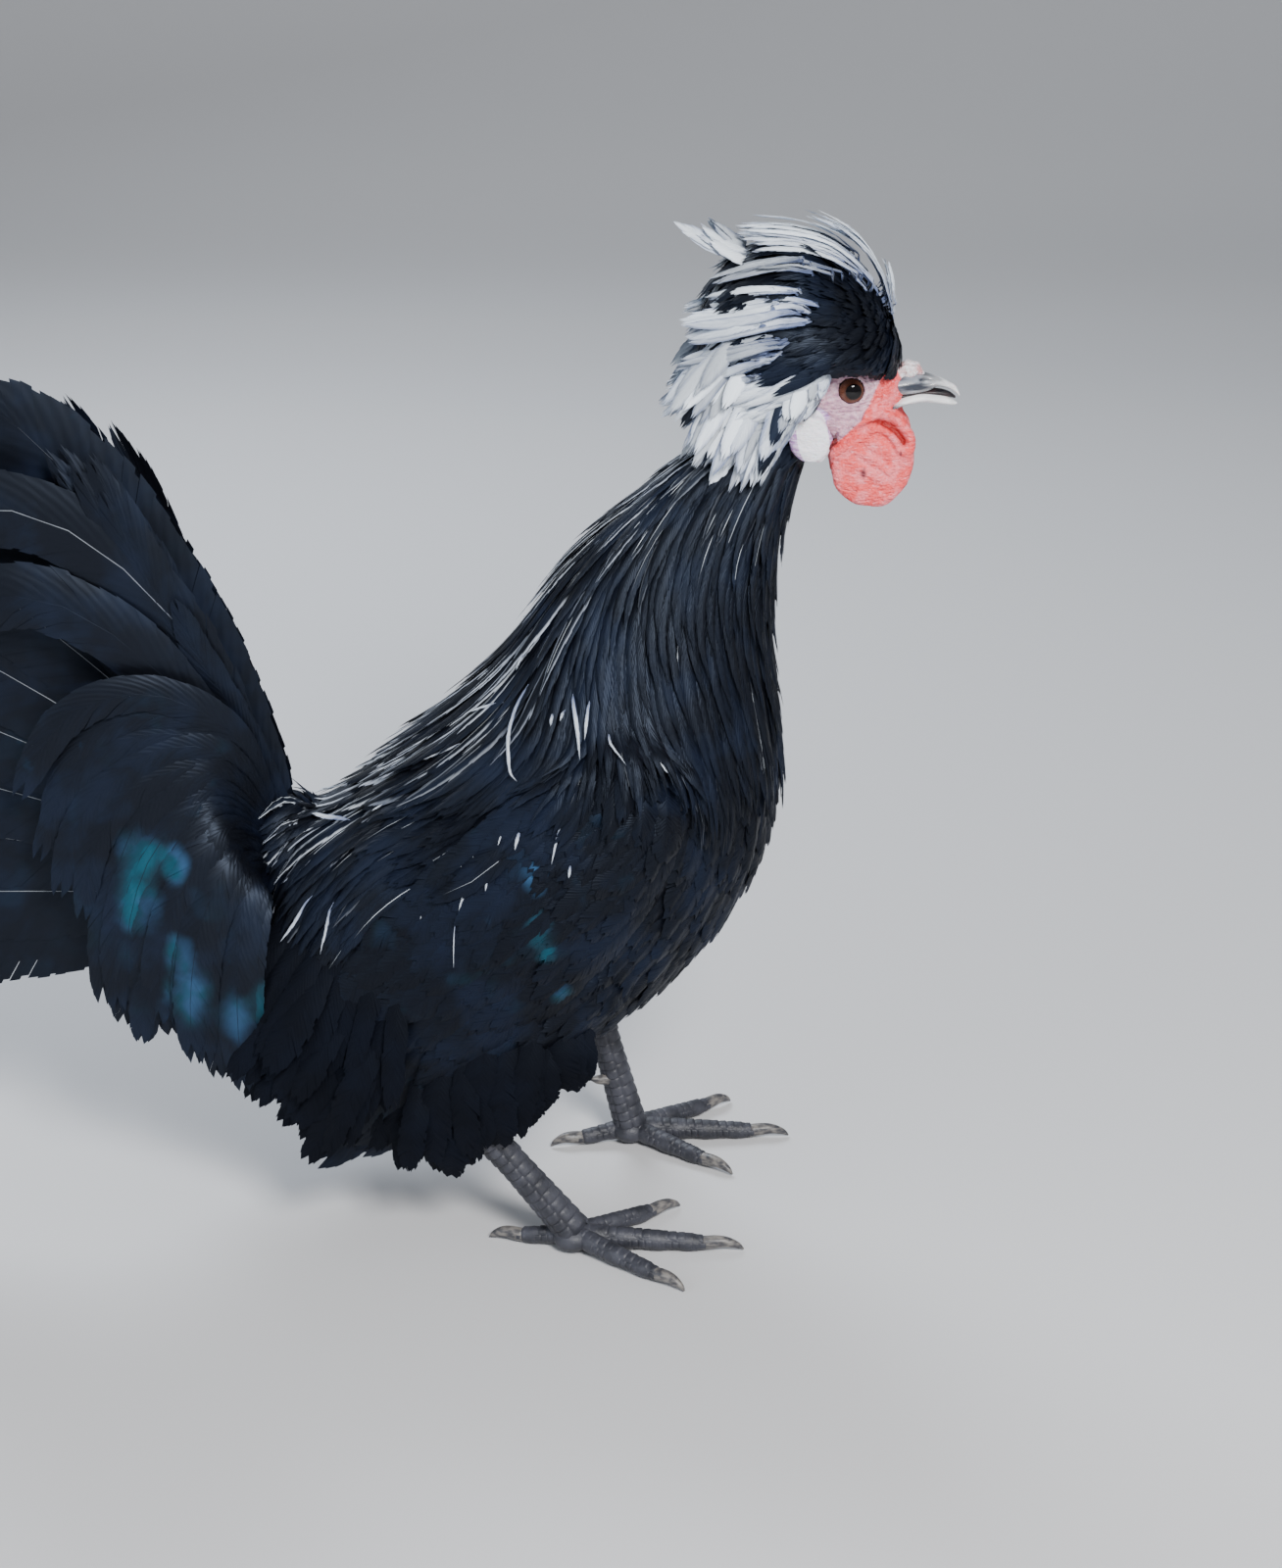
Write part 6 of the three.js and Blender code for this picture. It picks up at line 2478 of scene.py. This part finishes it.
@dataclass(frozen=True)
class EyeGlass:
    """The finish of the eyeball: a black pupil in an orange-brown iris under a wet clear coat."""

    pupil: float = 0.0031
    iris: float = 0.0047

    def material(self) -> Finish:
        """The material, drawn round the eye's own axis.

        Returns:
            The material.
        """
        g = Graph("eye_finish")
        place = g.place()
        x = g.axis(place, "X") - float(SHIFT[0] + EYE[0] * MM)
        z = g.axis(place, "Z") - float(SHIFT[2] + EYE[2] * MM)
        far = (x * x + z * z) ** 0.5
        inner = ((x - 0.0008) * (x - 0.0008) + z * z) ** 0.5
        turn = g.node("ShaderNodeMath", {"operation": "ARCTAN2"}, {0: z, 1: x})
        rays = (turn * 37 + g.noise(900, 2) * 9).sine() * 0.5 + 0.5
        iris = g.mix((0.070, 0.027, 0.018), (0.185, 0.072, 0.044), rays * 0.5 + g.noise(500, 3) * 0.5)
        iris = g.mix(iris, (0.045, 0.014, 0.009), inner.step(self.pupil + 0.001, self.pupil) * 0.8)
        colour = g.mix((0.002, 0.0015, 0.002), iris, inner.step(self.pupil - 0.0001, self.pupil + 0.00015))
        colour = g.mix(colour, (0.010, 0.005, 0.005), far.step(self.iris - 0.0002, self.iris + 0.0002))
        return g.finish(colour, 0.4, Specular_IOR_Level=0.0, Coat_Weight=0.7, Coat_Roughness=0.04)


@dataclass(frozen=True)
class LegScale:
    """The finish of the plates on the legs: slate grey, mottled paler by noise."""

    name: str = "leg_finish"
    low: Colour = (0.013, 0.014, 0.020)
    high: Colour = (0.052, 0.054, 0.070)

    def material(self) -> Finish:
        """The material.

        Returns:
            The material.
        """
        g = Graph(self.name)
        cloud = g.noise(120, 4)
        fine = g.noise(1100, 3)
        colour = g.mix(self.low, self.high, (cloud.step(0.3, 0.7) * 0.8 + fine * 0.25).clamp())
        colour = g.mix(colour, (0.22, 0.19, 0.18), fine.step(0.62, 0.8) * 0.2)
        return g.finish(colour, 0.42 + fine * 0.2, cloud * 0.4 + fine * 0.6, depth=0.0003)


@dataclass(frozen=True)
class ClawHorn:
    """The finish of claws and spurs: dull dark horn, streaked paler."""

    def material(self) -> Finish:
        """The material.

        Returns:
            The material.
        """
        g = Graph("claw_finish")
        cloud = g.noise(260, 4, (1, 1, 2.5))
        colour = g.mix((0.045, 0.045, 0.052), (0.20, 0.185, 0.17), cloud.step(0.35, 0.68))
        return g.finish(colour, 0.34 + cloud * 0.15, cloud, depth=0.0003)


@dataclass(frozen=True)
class Face:
    """The bill, the inside of the mouth and the eyes.

    The bill's halves and the mouth run from the base to the tip, with the trunk's five numbers at
    each station. The eyeball's radius is less than the solid eye's by the inset.
    """

    upper: Stations = (
        (99, 370.5, 99, 361.6, 8.0),
        (105, 371, 105, 362.0, 7.2),
        (110, 371, 110, 362.7, 6.2),
        (113.5, 370.3, 113.5, 363.7, 5.5),
        (117, 369.1, 117, 365.4, 4.7),
        (121.5, 367.1, 121.5, 364.5, 3.4),
        (124.5, 365.2, 124.2, 362.9, 2.1),
        (126.2, 361.9, 125.8, 361.4, 0.7),
    )
    lower: Stations = (
        (95, 358.0, 95, 354.8, 11.6),
        (100.5, 360.8, 100.5, 357.2, 9.6),
        (105, 362.7, 105, 358.2, 7.6),
        (110, 363.5, 110, 358.9, 6.0),
        (115, 363.0, 115, 358.8, 4.7),
        (120, 361.8, 120, 358.0, 3.3),
        (123.2, 360.2, 123.1, 357.7, 1.9),
        (125.2, 358.7, 125.1, 358.2, 0.6),
    )
    mouth: Stations = (
        (98, 363, 98, 360, 6),
        (106, 363.6, 106, 361.4, 5),
        (111, 364.2, 111, 361.8, 3.8),
        (117, 364.4, 117, 361.6, 3.0),
        (121.5, 363.4, 121.5, 361.0, 2.0),
        (124.4, 361.4, 124.3, 360.4, 0.8),
    )
    nostril: Place = (112.3, 5.6, 368.4)
    nostril_size: Place = (2.4, 2.2, 0.9)
    eye_inset: float = 0.35

    def bill(self, name: str, stations: Stations) -> Piece:
        """One half of the bill, or the inside of the mouth.

        Args:
            name: The piece's name.
            stations: The loft's stations.

        Returns:
            The object.
        """
        loft = Loft(stations)
        rings = loft.rings(0, loft.end, 60, 44, 0.0)
        if name == "bill_upper":
            for side in SIDES.values():
                hole = np.array(on_side(self.nostril, side)) * MM
                gap = (rings - hole) / (np.array(self.nostril_size) * MM)
                near = np.exp(-np.sum(gap**2, axis=-1))
                rings[..., 1] -= side * near * 2.2 * MM
                rings[..., 2] -= 0.5 * near * MM
        mesh = plain_mesh(name, [tube(rings)])
        mesh.shade_smooth()
        return link(name, mesh)

    def eye(self, name: str) -> Piece:
        """One eyeball.

        Args:
            name: The eye's side.

        Returns:
            The object.
        """
        centre = on_side(EYE, SIDES[name])
        mesh = plain_mesh(f"eyeball_{name}", [ball(centre, (EYE_RADIUS - self.eye_inset,) * 3, 48)])
        mesh.shade_smooth()
        return link(f"eyeball_{name}", mesh)


@dataclass
class PlateRow:
    """Overlapping plates in rows along a leg, set by one node tree.

    Each plate has a number of points round the leg and down it.
    """

    around: int = 11
    down: int = 8

    # What each place of a row keeps: its radius, the step to the next, and two directions
    VALUES = {"FLOAT": ("radius", "step"), "FLOAT_VECTOR": ("way", "face")}

    def __post_init__(self) -> None:
        """Makes the node tree."""
        tree = bpy.data.node_groups.new("plate_row", "GeometryNodeTree")
        face = tree.interface
        face.new_socket("Geometry", in_out="INPUT", socket_type="NodeSocketGeometry")
        self.span = face.new_socket("Span", in_out="INPUT", socket_type="NodeSocketFloat")
        self.finish = face.new_socket("Finish", in_out="INPUT", socket_type="NodeSocketMaterial")
        face.new_socket("Geometry", in_out="OUTPUT", socket_type="NodeSocketGeometry")
        g = Tree(tree)
        rows, span, finish = (g.node("NodeGroupInput", output=n) for n in ("Geometry", "Span", "Finish"))
        values = {
            name: g.node("GeometryNodeInputNamedAttribute", {"data_type": kind}, {"Name": name}, "Attribute")
            for kind, names in self.VALUES.items() for name in names
        }
        sizes = {"Size X": 1.0, "Size Y": 1.0, "Vertices X": self.around, "Vertices Y": self.down}
        sheet = g.node("GeometryNodeMeshGrid", {}, sizes, "Mesh")
        spot = g.node("GeometryNodeInputPosition")
        x, y = g.axis(spot, "X"), g.axis(spot, "Y")
        turn = x * span
        full = 1 - (abs(x * 2) ** 5 + abs(y * 2) ** 6).clamp()
        reach = 0.93 + full * (0.15 + y * 0.09)
        bent = {"X": turn.cosine() * reach, "Y": turn.sine() * reach, "Z": y}
        shape = g.node("ShaderNodeCombineXYZ", {}, bent)
        plate = g.node("GeometryNodeSetPosition", {}, {"Geometry": sheet, "Position": shape})
        turned = g.node(
            "FunctionNodeAxesToRotation",
            {"primary_axis": "Z", "secondary_axis": "X"},
            {"Primary Axis": values["way"], "Secondary Axis": values["face"]},
        )
        sizes = {"X": values["radius"], "Y": values["radius"], "Z": values["step"]}
        size = g.node("ShaderNodeCombineXYZ", {}, sizes)
        placed = g.node(
            "GeometryNodeInstanceOnPoints", {},
            {"Points": rows, "Instance": plate, "Rotation": turned, "Scale": size},
        )
        real = g.node("GeometryNodeRealizeInstances", {}, {"Geometry": placed})
        dressed = g.node("GeometryNodeSetMaterial", {}, {"Geometry": real, "Material": finish})
        tree.links.new(dressed.socket, tree.nodes.new("NodeGroupOutput").inputs["Geometry"])
        self.tree = tree

    def build(
        self, name: str, rows: Sequence[tuple[Array, Array, float]], span: float, material: Finish
    ) -> Piece:
        """Sets plates in rows.

        Args:
            name: The name of the piece.
            rows: For each, the line's points, its radius at each and the row's angle from its top.
            span: How far one plate reaches round the line, in degrees.
            material: The finish.

        Returns:
            The piece, with its plates as plain mesh.
        """
        places, values = [], {"radius": [], "step": [], "way": [], "face": []}
        for line, radius, angle in rows:
            way = unit(np.gradient(line, axis=0))
            side = unit(np.cross(UP, way))
            turn = math.radians(angle)
            places.append(line)
            values["radius"].append(radius)
            values["step"].append(np.linalg.norm(np.gradient(line, axis=0), axis=1) * 1.12)
            values["way"].append(way)
            values["face"].append(np.cross(way, side) * math.cos(turn) + side * math.sin(turn))
        mesh = bpy.data.meshes.new(name)
        mesh.from_pydata((np.concatenate(places) + SHIFT).tolist(), [], [])
        for kind, names in self.VALUES.items():
            for value in names:
                write_values(mesh, value, np.concatenate(values[value]), kind)
        made = link(name, mesh)
        modifier = made.modifiers.new("plates", "NODES")
        modifier.node_group = self.tree
        modifier[self.span.identifier] = math.radians(span)
        modifier[self.finish.identifier] = material
        finished(made)
        made.data.shade_smooth()
        return made


@dataclass(frozen=True)
class Toe:
    """The sizes of one toe, with its turn from straight ahead."""

    name: str
    turn: float
    long: float
    radius: float
    claw: float
    plates: int


@dataclass
class Legs:
    """The bare legs and feet, with their plates, claws and spurs."""

    plates: PlateRow
    toes: tuple[Toe, ...] = (
        Toe("hallux", 192, 25, 4.2, 12, 5),
        Toe("inner", -36, 43, 4.6, 14, 9),
        Toe("middle", 2, 58, 4.9, 15, 12),
        Toe("outer", 37, 46, 4.6, 13, 10),
    )

    # Rows of plates on the shank and on each toe: the angle from the front or top, the gap between
    # plates, where the first one starts and the angle that one plate spans
    SHANK_ROWS = (
        (38, 5.6, 0, 80),
        (-38, 5.6, 2.8, 80),
        (102, 4.4, 0, 58),
        (-102, 4.4, 2.2, 58),
        (154, 4.4, 0, 58),
        (-154, 4.4, 2.2, 58),
    )
    TOE_ROWS = ((0, 3.7, 0, 120), (88, 2.9, 1, 58), (-88, 2.9, 1, 58))
    # Half the size of the pad under the foot, and the height of its middle
    PAD = (9.2, 9.2, 6.1)
    PAD_HEIGHT = 6.2

    def _foot(self, name: str, toe: Toe, far: float, z: float) -> Place:
        """A place on a foot, out from its middle in a toe's direction.

        Args:
            name: The leg's side.
            toe: The toe.
            far: How far out.
            z: How high.

        Returns:
            The place, in millimetres.
        """
        side = SIDES[name]
        turn = math.radians(toe.turn) * side
        x, y, _ = ANKLE[name]
        return (x + far * math.cos(turn), side * y + far * math.sin(turn), z)

    def shank(self, name: str, material: Finish) -> Piece:
        """The scaled part of a leg with its foot.

        Args:
            name: The leg's side.
            material: The scales' material.

        Returns:
            The object.
        """
        side = SIDES[name]
        line = through((on_side(HOCK[name], side), on_side(ANKLE[name], side)), 19)
        radius = np.interp(np.linspace(0, 1, 19), (0, 0.5, 1), (7.8, 6.1, 7.2)) * MM
        solid = [tube(bar_rings(line, radius * 0.97, 24))]
        rows: dict[int, list[tuple[Array, Array, float]]] = {}
        for angle, gap, start, span in self.SHANK_ROWS:
            rows.setdefault(span, []).append((*self._spaced(line, radius, gap, start), angle))
        x, y, _ = on_side(ANKLE[name], side)
        solid.append(ball((x, y, self.PAD_HEIGHT), self.PAD, 28))
        for toe in self.toes:
            points = [self._foot(name, toe, *p) for p in ((4, 6.6), (toe.long * 0.5, 4.9), (toe.long, 3.5))]
            line = through(points, 40)
            t = np.linspace(0, 1, 40)
            size = np.interp(t, (0, 0.5, 0.85, 1), (1.0, 0.94, 0.8, 0.6)) * toe.radius * MM * 0.95
            for angle, gap, start, span in self.TOE_ROWS:
                rows.setdefault(span, []).append((*self._spaced(line, size, gap, start), angle))
            solid.append(self._pads(line, toe))
        base = link(f"scales_{name}", plain_mesh("base", solid))
        base.data.materials.append(material)
        base.data.shade_smooth()
        made = [self.plates.build(f"row_{span}", lines, span, material) for span, lines in rows.items()]
        for piece in made:
            points = points_of(piece.data)
            points[:, 2] = np.maximum(points[:, 2], 0.15 * MM)
            move_points(piece.data, points)
        with bpy.context.temp_override(active_object=base, selected_editable_objects=[base, *made]):
            bpy.ops.object.join()
        return base

    @staticmethod
    def _spaced(line: Array, radius: Array, gap: float, start: float) -> tuple[Array, Array]:
        """Points at equal gaps along a line, with the radius at each.

        Args:
            line: The middle line's points, in metres.
            radius: The radius at each, in metres.
            gap: The gap in millimetres.
            start: Where the first gap starts.

        Returns:
            The points and the radii.
        """
        far = np.concatenate(([0], np.cumsum(np.linalg.norm(np.diff(line, axis=0), axis=1)))) / MM
        at = np.arange(start + gap * 0.4, far[-1] - gap * 0.2, gap)
        return np.stack([np.interp(at, far, axis) for axis in line.T], axis=1), np.interp(at, far, radius)

    @staticmethod
    def _pads(line: Array, toe: Toe) -> Body:
        """The soft body of a toe, which swells between its joints.

        Args:
            line: The middle line's points, in metres.
            toe: The toe.

        Returns:
            The closed body.
        """
        t = np.linspace(0, 1, len(line))
        swell = 1 + 0.15 * np.sin(t * math.pi * max(2, toe.plates // 3)) ** 2
        radius = np.interp(t, (0, 0.5, 0.85, 1), (1.0, 0.94, 0.8, 0.58)) * toe.radius * 0.9 * swell * MM
        rings = bar_rings(line, radius, 18)
        rings[..., 2] = np.maximum(rings[..., 2], 0.3 * MM)
        return tube(rings)

    def claws(self, name: str) -> Piece:
        """The claws and the spur of one foot.

        Args:
            name: The leg's side.

        Returns:
            The object.
        """
        parts = []
        for toe in self.toes:
            bends = ((-3, 3.6), (toe.claw * 0.4, 4.4), (toe.claw * 0.8, 2.9), (toe.claw, 0.9))
            points = [self._foot(name, toe, toe.long + far, z) for far, z in bends]
            size = np.interp(np.linspace(0, 1, 16), (0, 0.2, 0.5, 0.8, 1), (3.0, 2.8, 2.0, 1.1, 0.35)) * MM
            rings = bar_rings(through(points, 16), size, 16)
            rings[..., 2] = np.maximum(rings[..., 2], 0.25 * MM)
            parts.append(tube(rings))
        side = SIDES[name]
        at = [blend(a, b, 0.68) for a, b in zip(HOCK[name], ANKLE[name], strict=True)]
        root = np.array((at[0] - 2, side * (at[1] - 3), at[2] - 2))
        line = through((root, root + (-4.5, -2 * side, 0.2), root + (-9, -4 * side, 1.5)), 12)
        size = np.interp(np.linspace(0, 1, 12), (0, 0.7, 1), (3.1, 2.0, 0.8)) * MM
        parts.append(tube(bar_rings(line, size, 16)))
        mesh = plain_mesh(f"claws_{name}", parts)
        mesh.shade_smooth()
        return link(f"claws_{name}", mesh)


@dataclass(frozen=True)
class Studio:
    """A plain pale floor, soft light and the photograph's view."""

    elevation: float = math.radians(22)
    distance: float = 1150
    target: Place = (0, 0, 195.6)
    view_height: float = 656

    # The floor's section in metres, as y and z
    FLOOR = (
        (-6, 0), (-2, 0), (0, 0), (1.2, 0), (1.8, 0),
        (2.3, 0.06), (2.7, 0.35), (2.9, 1.0), (2.95, 2.4), (2.95, 5),
    )
    # Each light's name, its place and size in metres, its power in watts and its colour
    LIGHTS = (
        ("key", (0.5, -1.25, 1.2), 0.42, 40, (1.0, 0.99, 0.98)),
        ("fill", (-1.3, -0.9, 0.8), 1.2, 9, (0.80, 0.88, 1.0)),
        ("behind", (-0.5, 1.2, 1.4), 0.8, 26, (0.84, 0.91, 1.0)),
    )

    def build(self) -> None:
        """Makes the floor, the lights and the camera."""
        self._floor()
        self._lights()
        self._camera()

    def _floor(self) -> None:
        """A wide floor that rises at the back in a soft curve."""
        rows = np.array(self.FLOOR, float)
        lines = along(rows, np.linspace(0, len(rows) - 1, 60))
        points = [(x, y, z) for y, z in lines for x in (-7.0, 7.0)]
        faces = [(2 * i, 2 * i + 1, 2 * i + 3, 2 * i + 2) for i in range(len(lines) - 1)]
        mesh = bpy.data.meshes.new("floor")
        mesh.from_pydata(points, [], faces)
        mesh.shade_smooth()
        g = Graph("floor_finish")
        mesh.materials.append(g.finish((0.62, 0.62, 0.63), 0.75))
        link("floor", mesh)

    def _lights(self) -> None:
        """A large soft key, a fill and a light from behind, under a pale sky."""
        world = bpy.data.worlds.new("studio")
        world.use_nodes = True
        shade = world.node_tree.nodes["Background"]
        shade.inputs["Color"].default_value = (0.80, 0.84, 0.90, 1)
        shade.inputs["Strength"].default_value = 0.42
        bpy.context.scene.world = world
        for name, place, size, power, colour in self.LIGHTS:
            light = bpy.data.lights.new(name, "AREA")
            light.energy = power
            light.size = size
            light.color = colour
            lamp = bpy.data.objects.new(name, light)
            lamp.location = place
            way = Vector((0, 0, 0.2)) - Vector(place)
            lamp.rotation_euler = way.to_track_quat("-Z", "Y").to_euler()
            bpy.context.scene.collection.objects.link(lamp)

    def _camera(self) -> None:
        """The camera that sees the bird as the photograph does."""
        back = Vector((0, -math.cos(self.elevation), math.sin(self.elevation)))
        lens = bpy.data.cameras.new("camera")
        lens.lens = lens.sensor_width / self.view_height * self.distance
        lens.clip_start = 0.05
        camera = bpy.data.objects.new("camera", lens)
        target = Vector(np.array(self.target) * MM + SHIFT)
        camera.location = target + back * self.distance * MM
        camera.rotation_euler = (-back).to_track_quat("-Z", "Y").to_euler()
        bpy.context.scene.collection.objects.link(camera)
        bpy.context.scene.camera = camera


def dress(piece: Piece, slot: str, *nodes: str, finish: Finish | None = None) -> None:
    """Sets a piece on the bird, in place of the named nodes.

    Args:
        piece: The piece.
        slot: Not used.
        nodes: The CAD nodes it stands for.
        finish: Its material, if it has none yet.
    """
    if finish:
        piece.data.materials.clear()
        piece.data.materials.append(finish)
    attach(piece, "root")
    if nodes:
        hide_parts(*nodes)
    log.info("%s stands for %s", piece.name, ", ".join(nodes) or "itself")


def both(*names: str) -> list[str]:
    """The names of paired nodes."""
    return [f"{name}_{side}" for name in names for side in SIDES]


def main() -> None:
    """Builds the bird piece by piece, then the studio, and writes how large it is."""
    logging.basicConfig(level=logging.INFO)
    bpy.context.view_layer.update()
    skin = Skin()
    flesh = ["torso", "rump", "head", "neck", "comb", *both("earlobe", "wattle", "thigh")]
    dress(skin.piece, "face_skin", *flesh, finish=Hide().material())
    finishes = {
        "neck": Plumage("hackle_finish").material(),
        "body": Plumage("body_finish", shine=0.2).material(),
        "saddle": Plumage("saddle_finish").material(),
        "thigh": Plumage("thigh_finish", sheen=(0.0032, 0.004, 0.008), roughness=0.6, shine=0.12).material(),
    }
    for piece, name in zip(BodyCoat(skin).build(finishes), finishes, strict=True):
        dress(piece, f"{name}_plumage")
    feathers = Plumage("wing_finish", glints=WingCoat.GLINTS, shine=0.2).material()
    for side in SIDES:
        dress(WingCoat(skin, side).build(feathers), "wing_plumage", f"wing_{side}")
    feathers = Plumage("tail_finish", glints=TailCoat.GLINTS).material()
    dress(TailCoat(skin).build(feathers), "tail_plumage", "tail")
    feathers = Plumage("crest_finish").material()
    dress(CrestCoat(skin).build(feathers), "crest_plumage", "crest")
    face, horn = Face(), Horn().material()
    for half, stations in (("upper", face.upper), ("lower", face.lower)):
        dress(face.bill(f"bill_{half}", stations), "bill_horn", f"beak_{half}", finish=horn)
    dress(face.bill("tongue", face.mouth), "bill_horn", finish=Palate().material())
    glass, scale, claw = EyeGlass().material(), LegScale().material(), ClawHorn().material()
    legs = Legs(PlateRow())
    for side in SIDES:
        dress(face.eye(side), "eye", f"eye_{side}", finish=glass)
        toes = [f"toe_{toe.name}_{side}" for toe in legs.toes]
        dress(legs.shank(side, scale), "leg_scale", f"shank_{side}", *toes)
        claws = [f"claw_{toe.name}_{side}" for toe in legs.toes]
        dress(legs.claws(side), "claw_horn", f"spur_{side}", *claws, finish=claw)
    Studio().build()


if __name__ == "__main__":
    main()
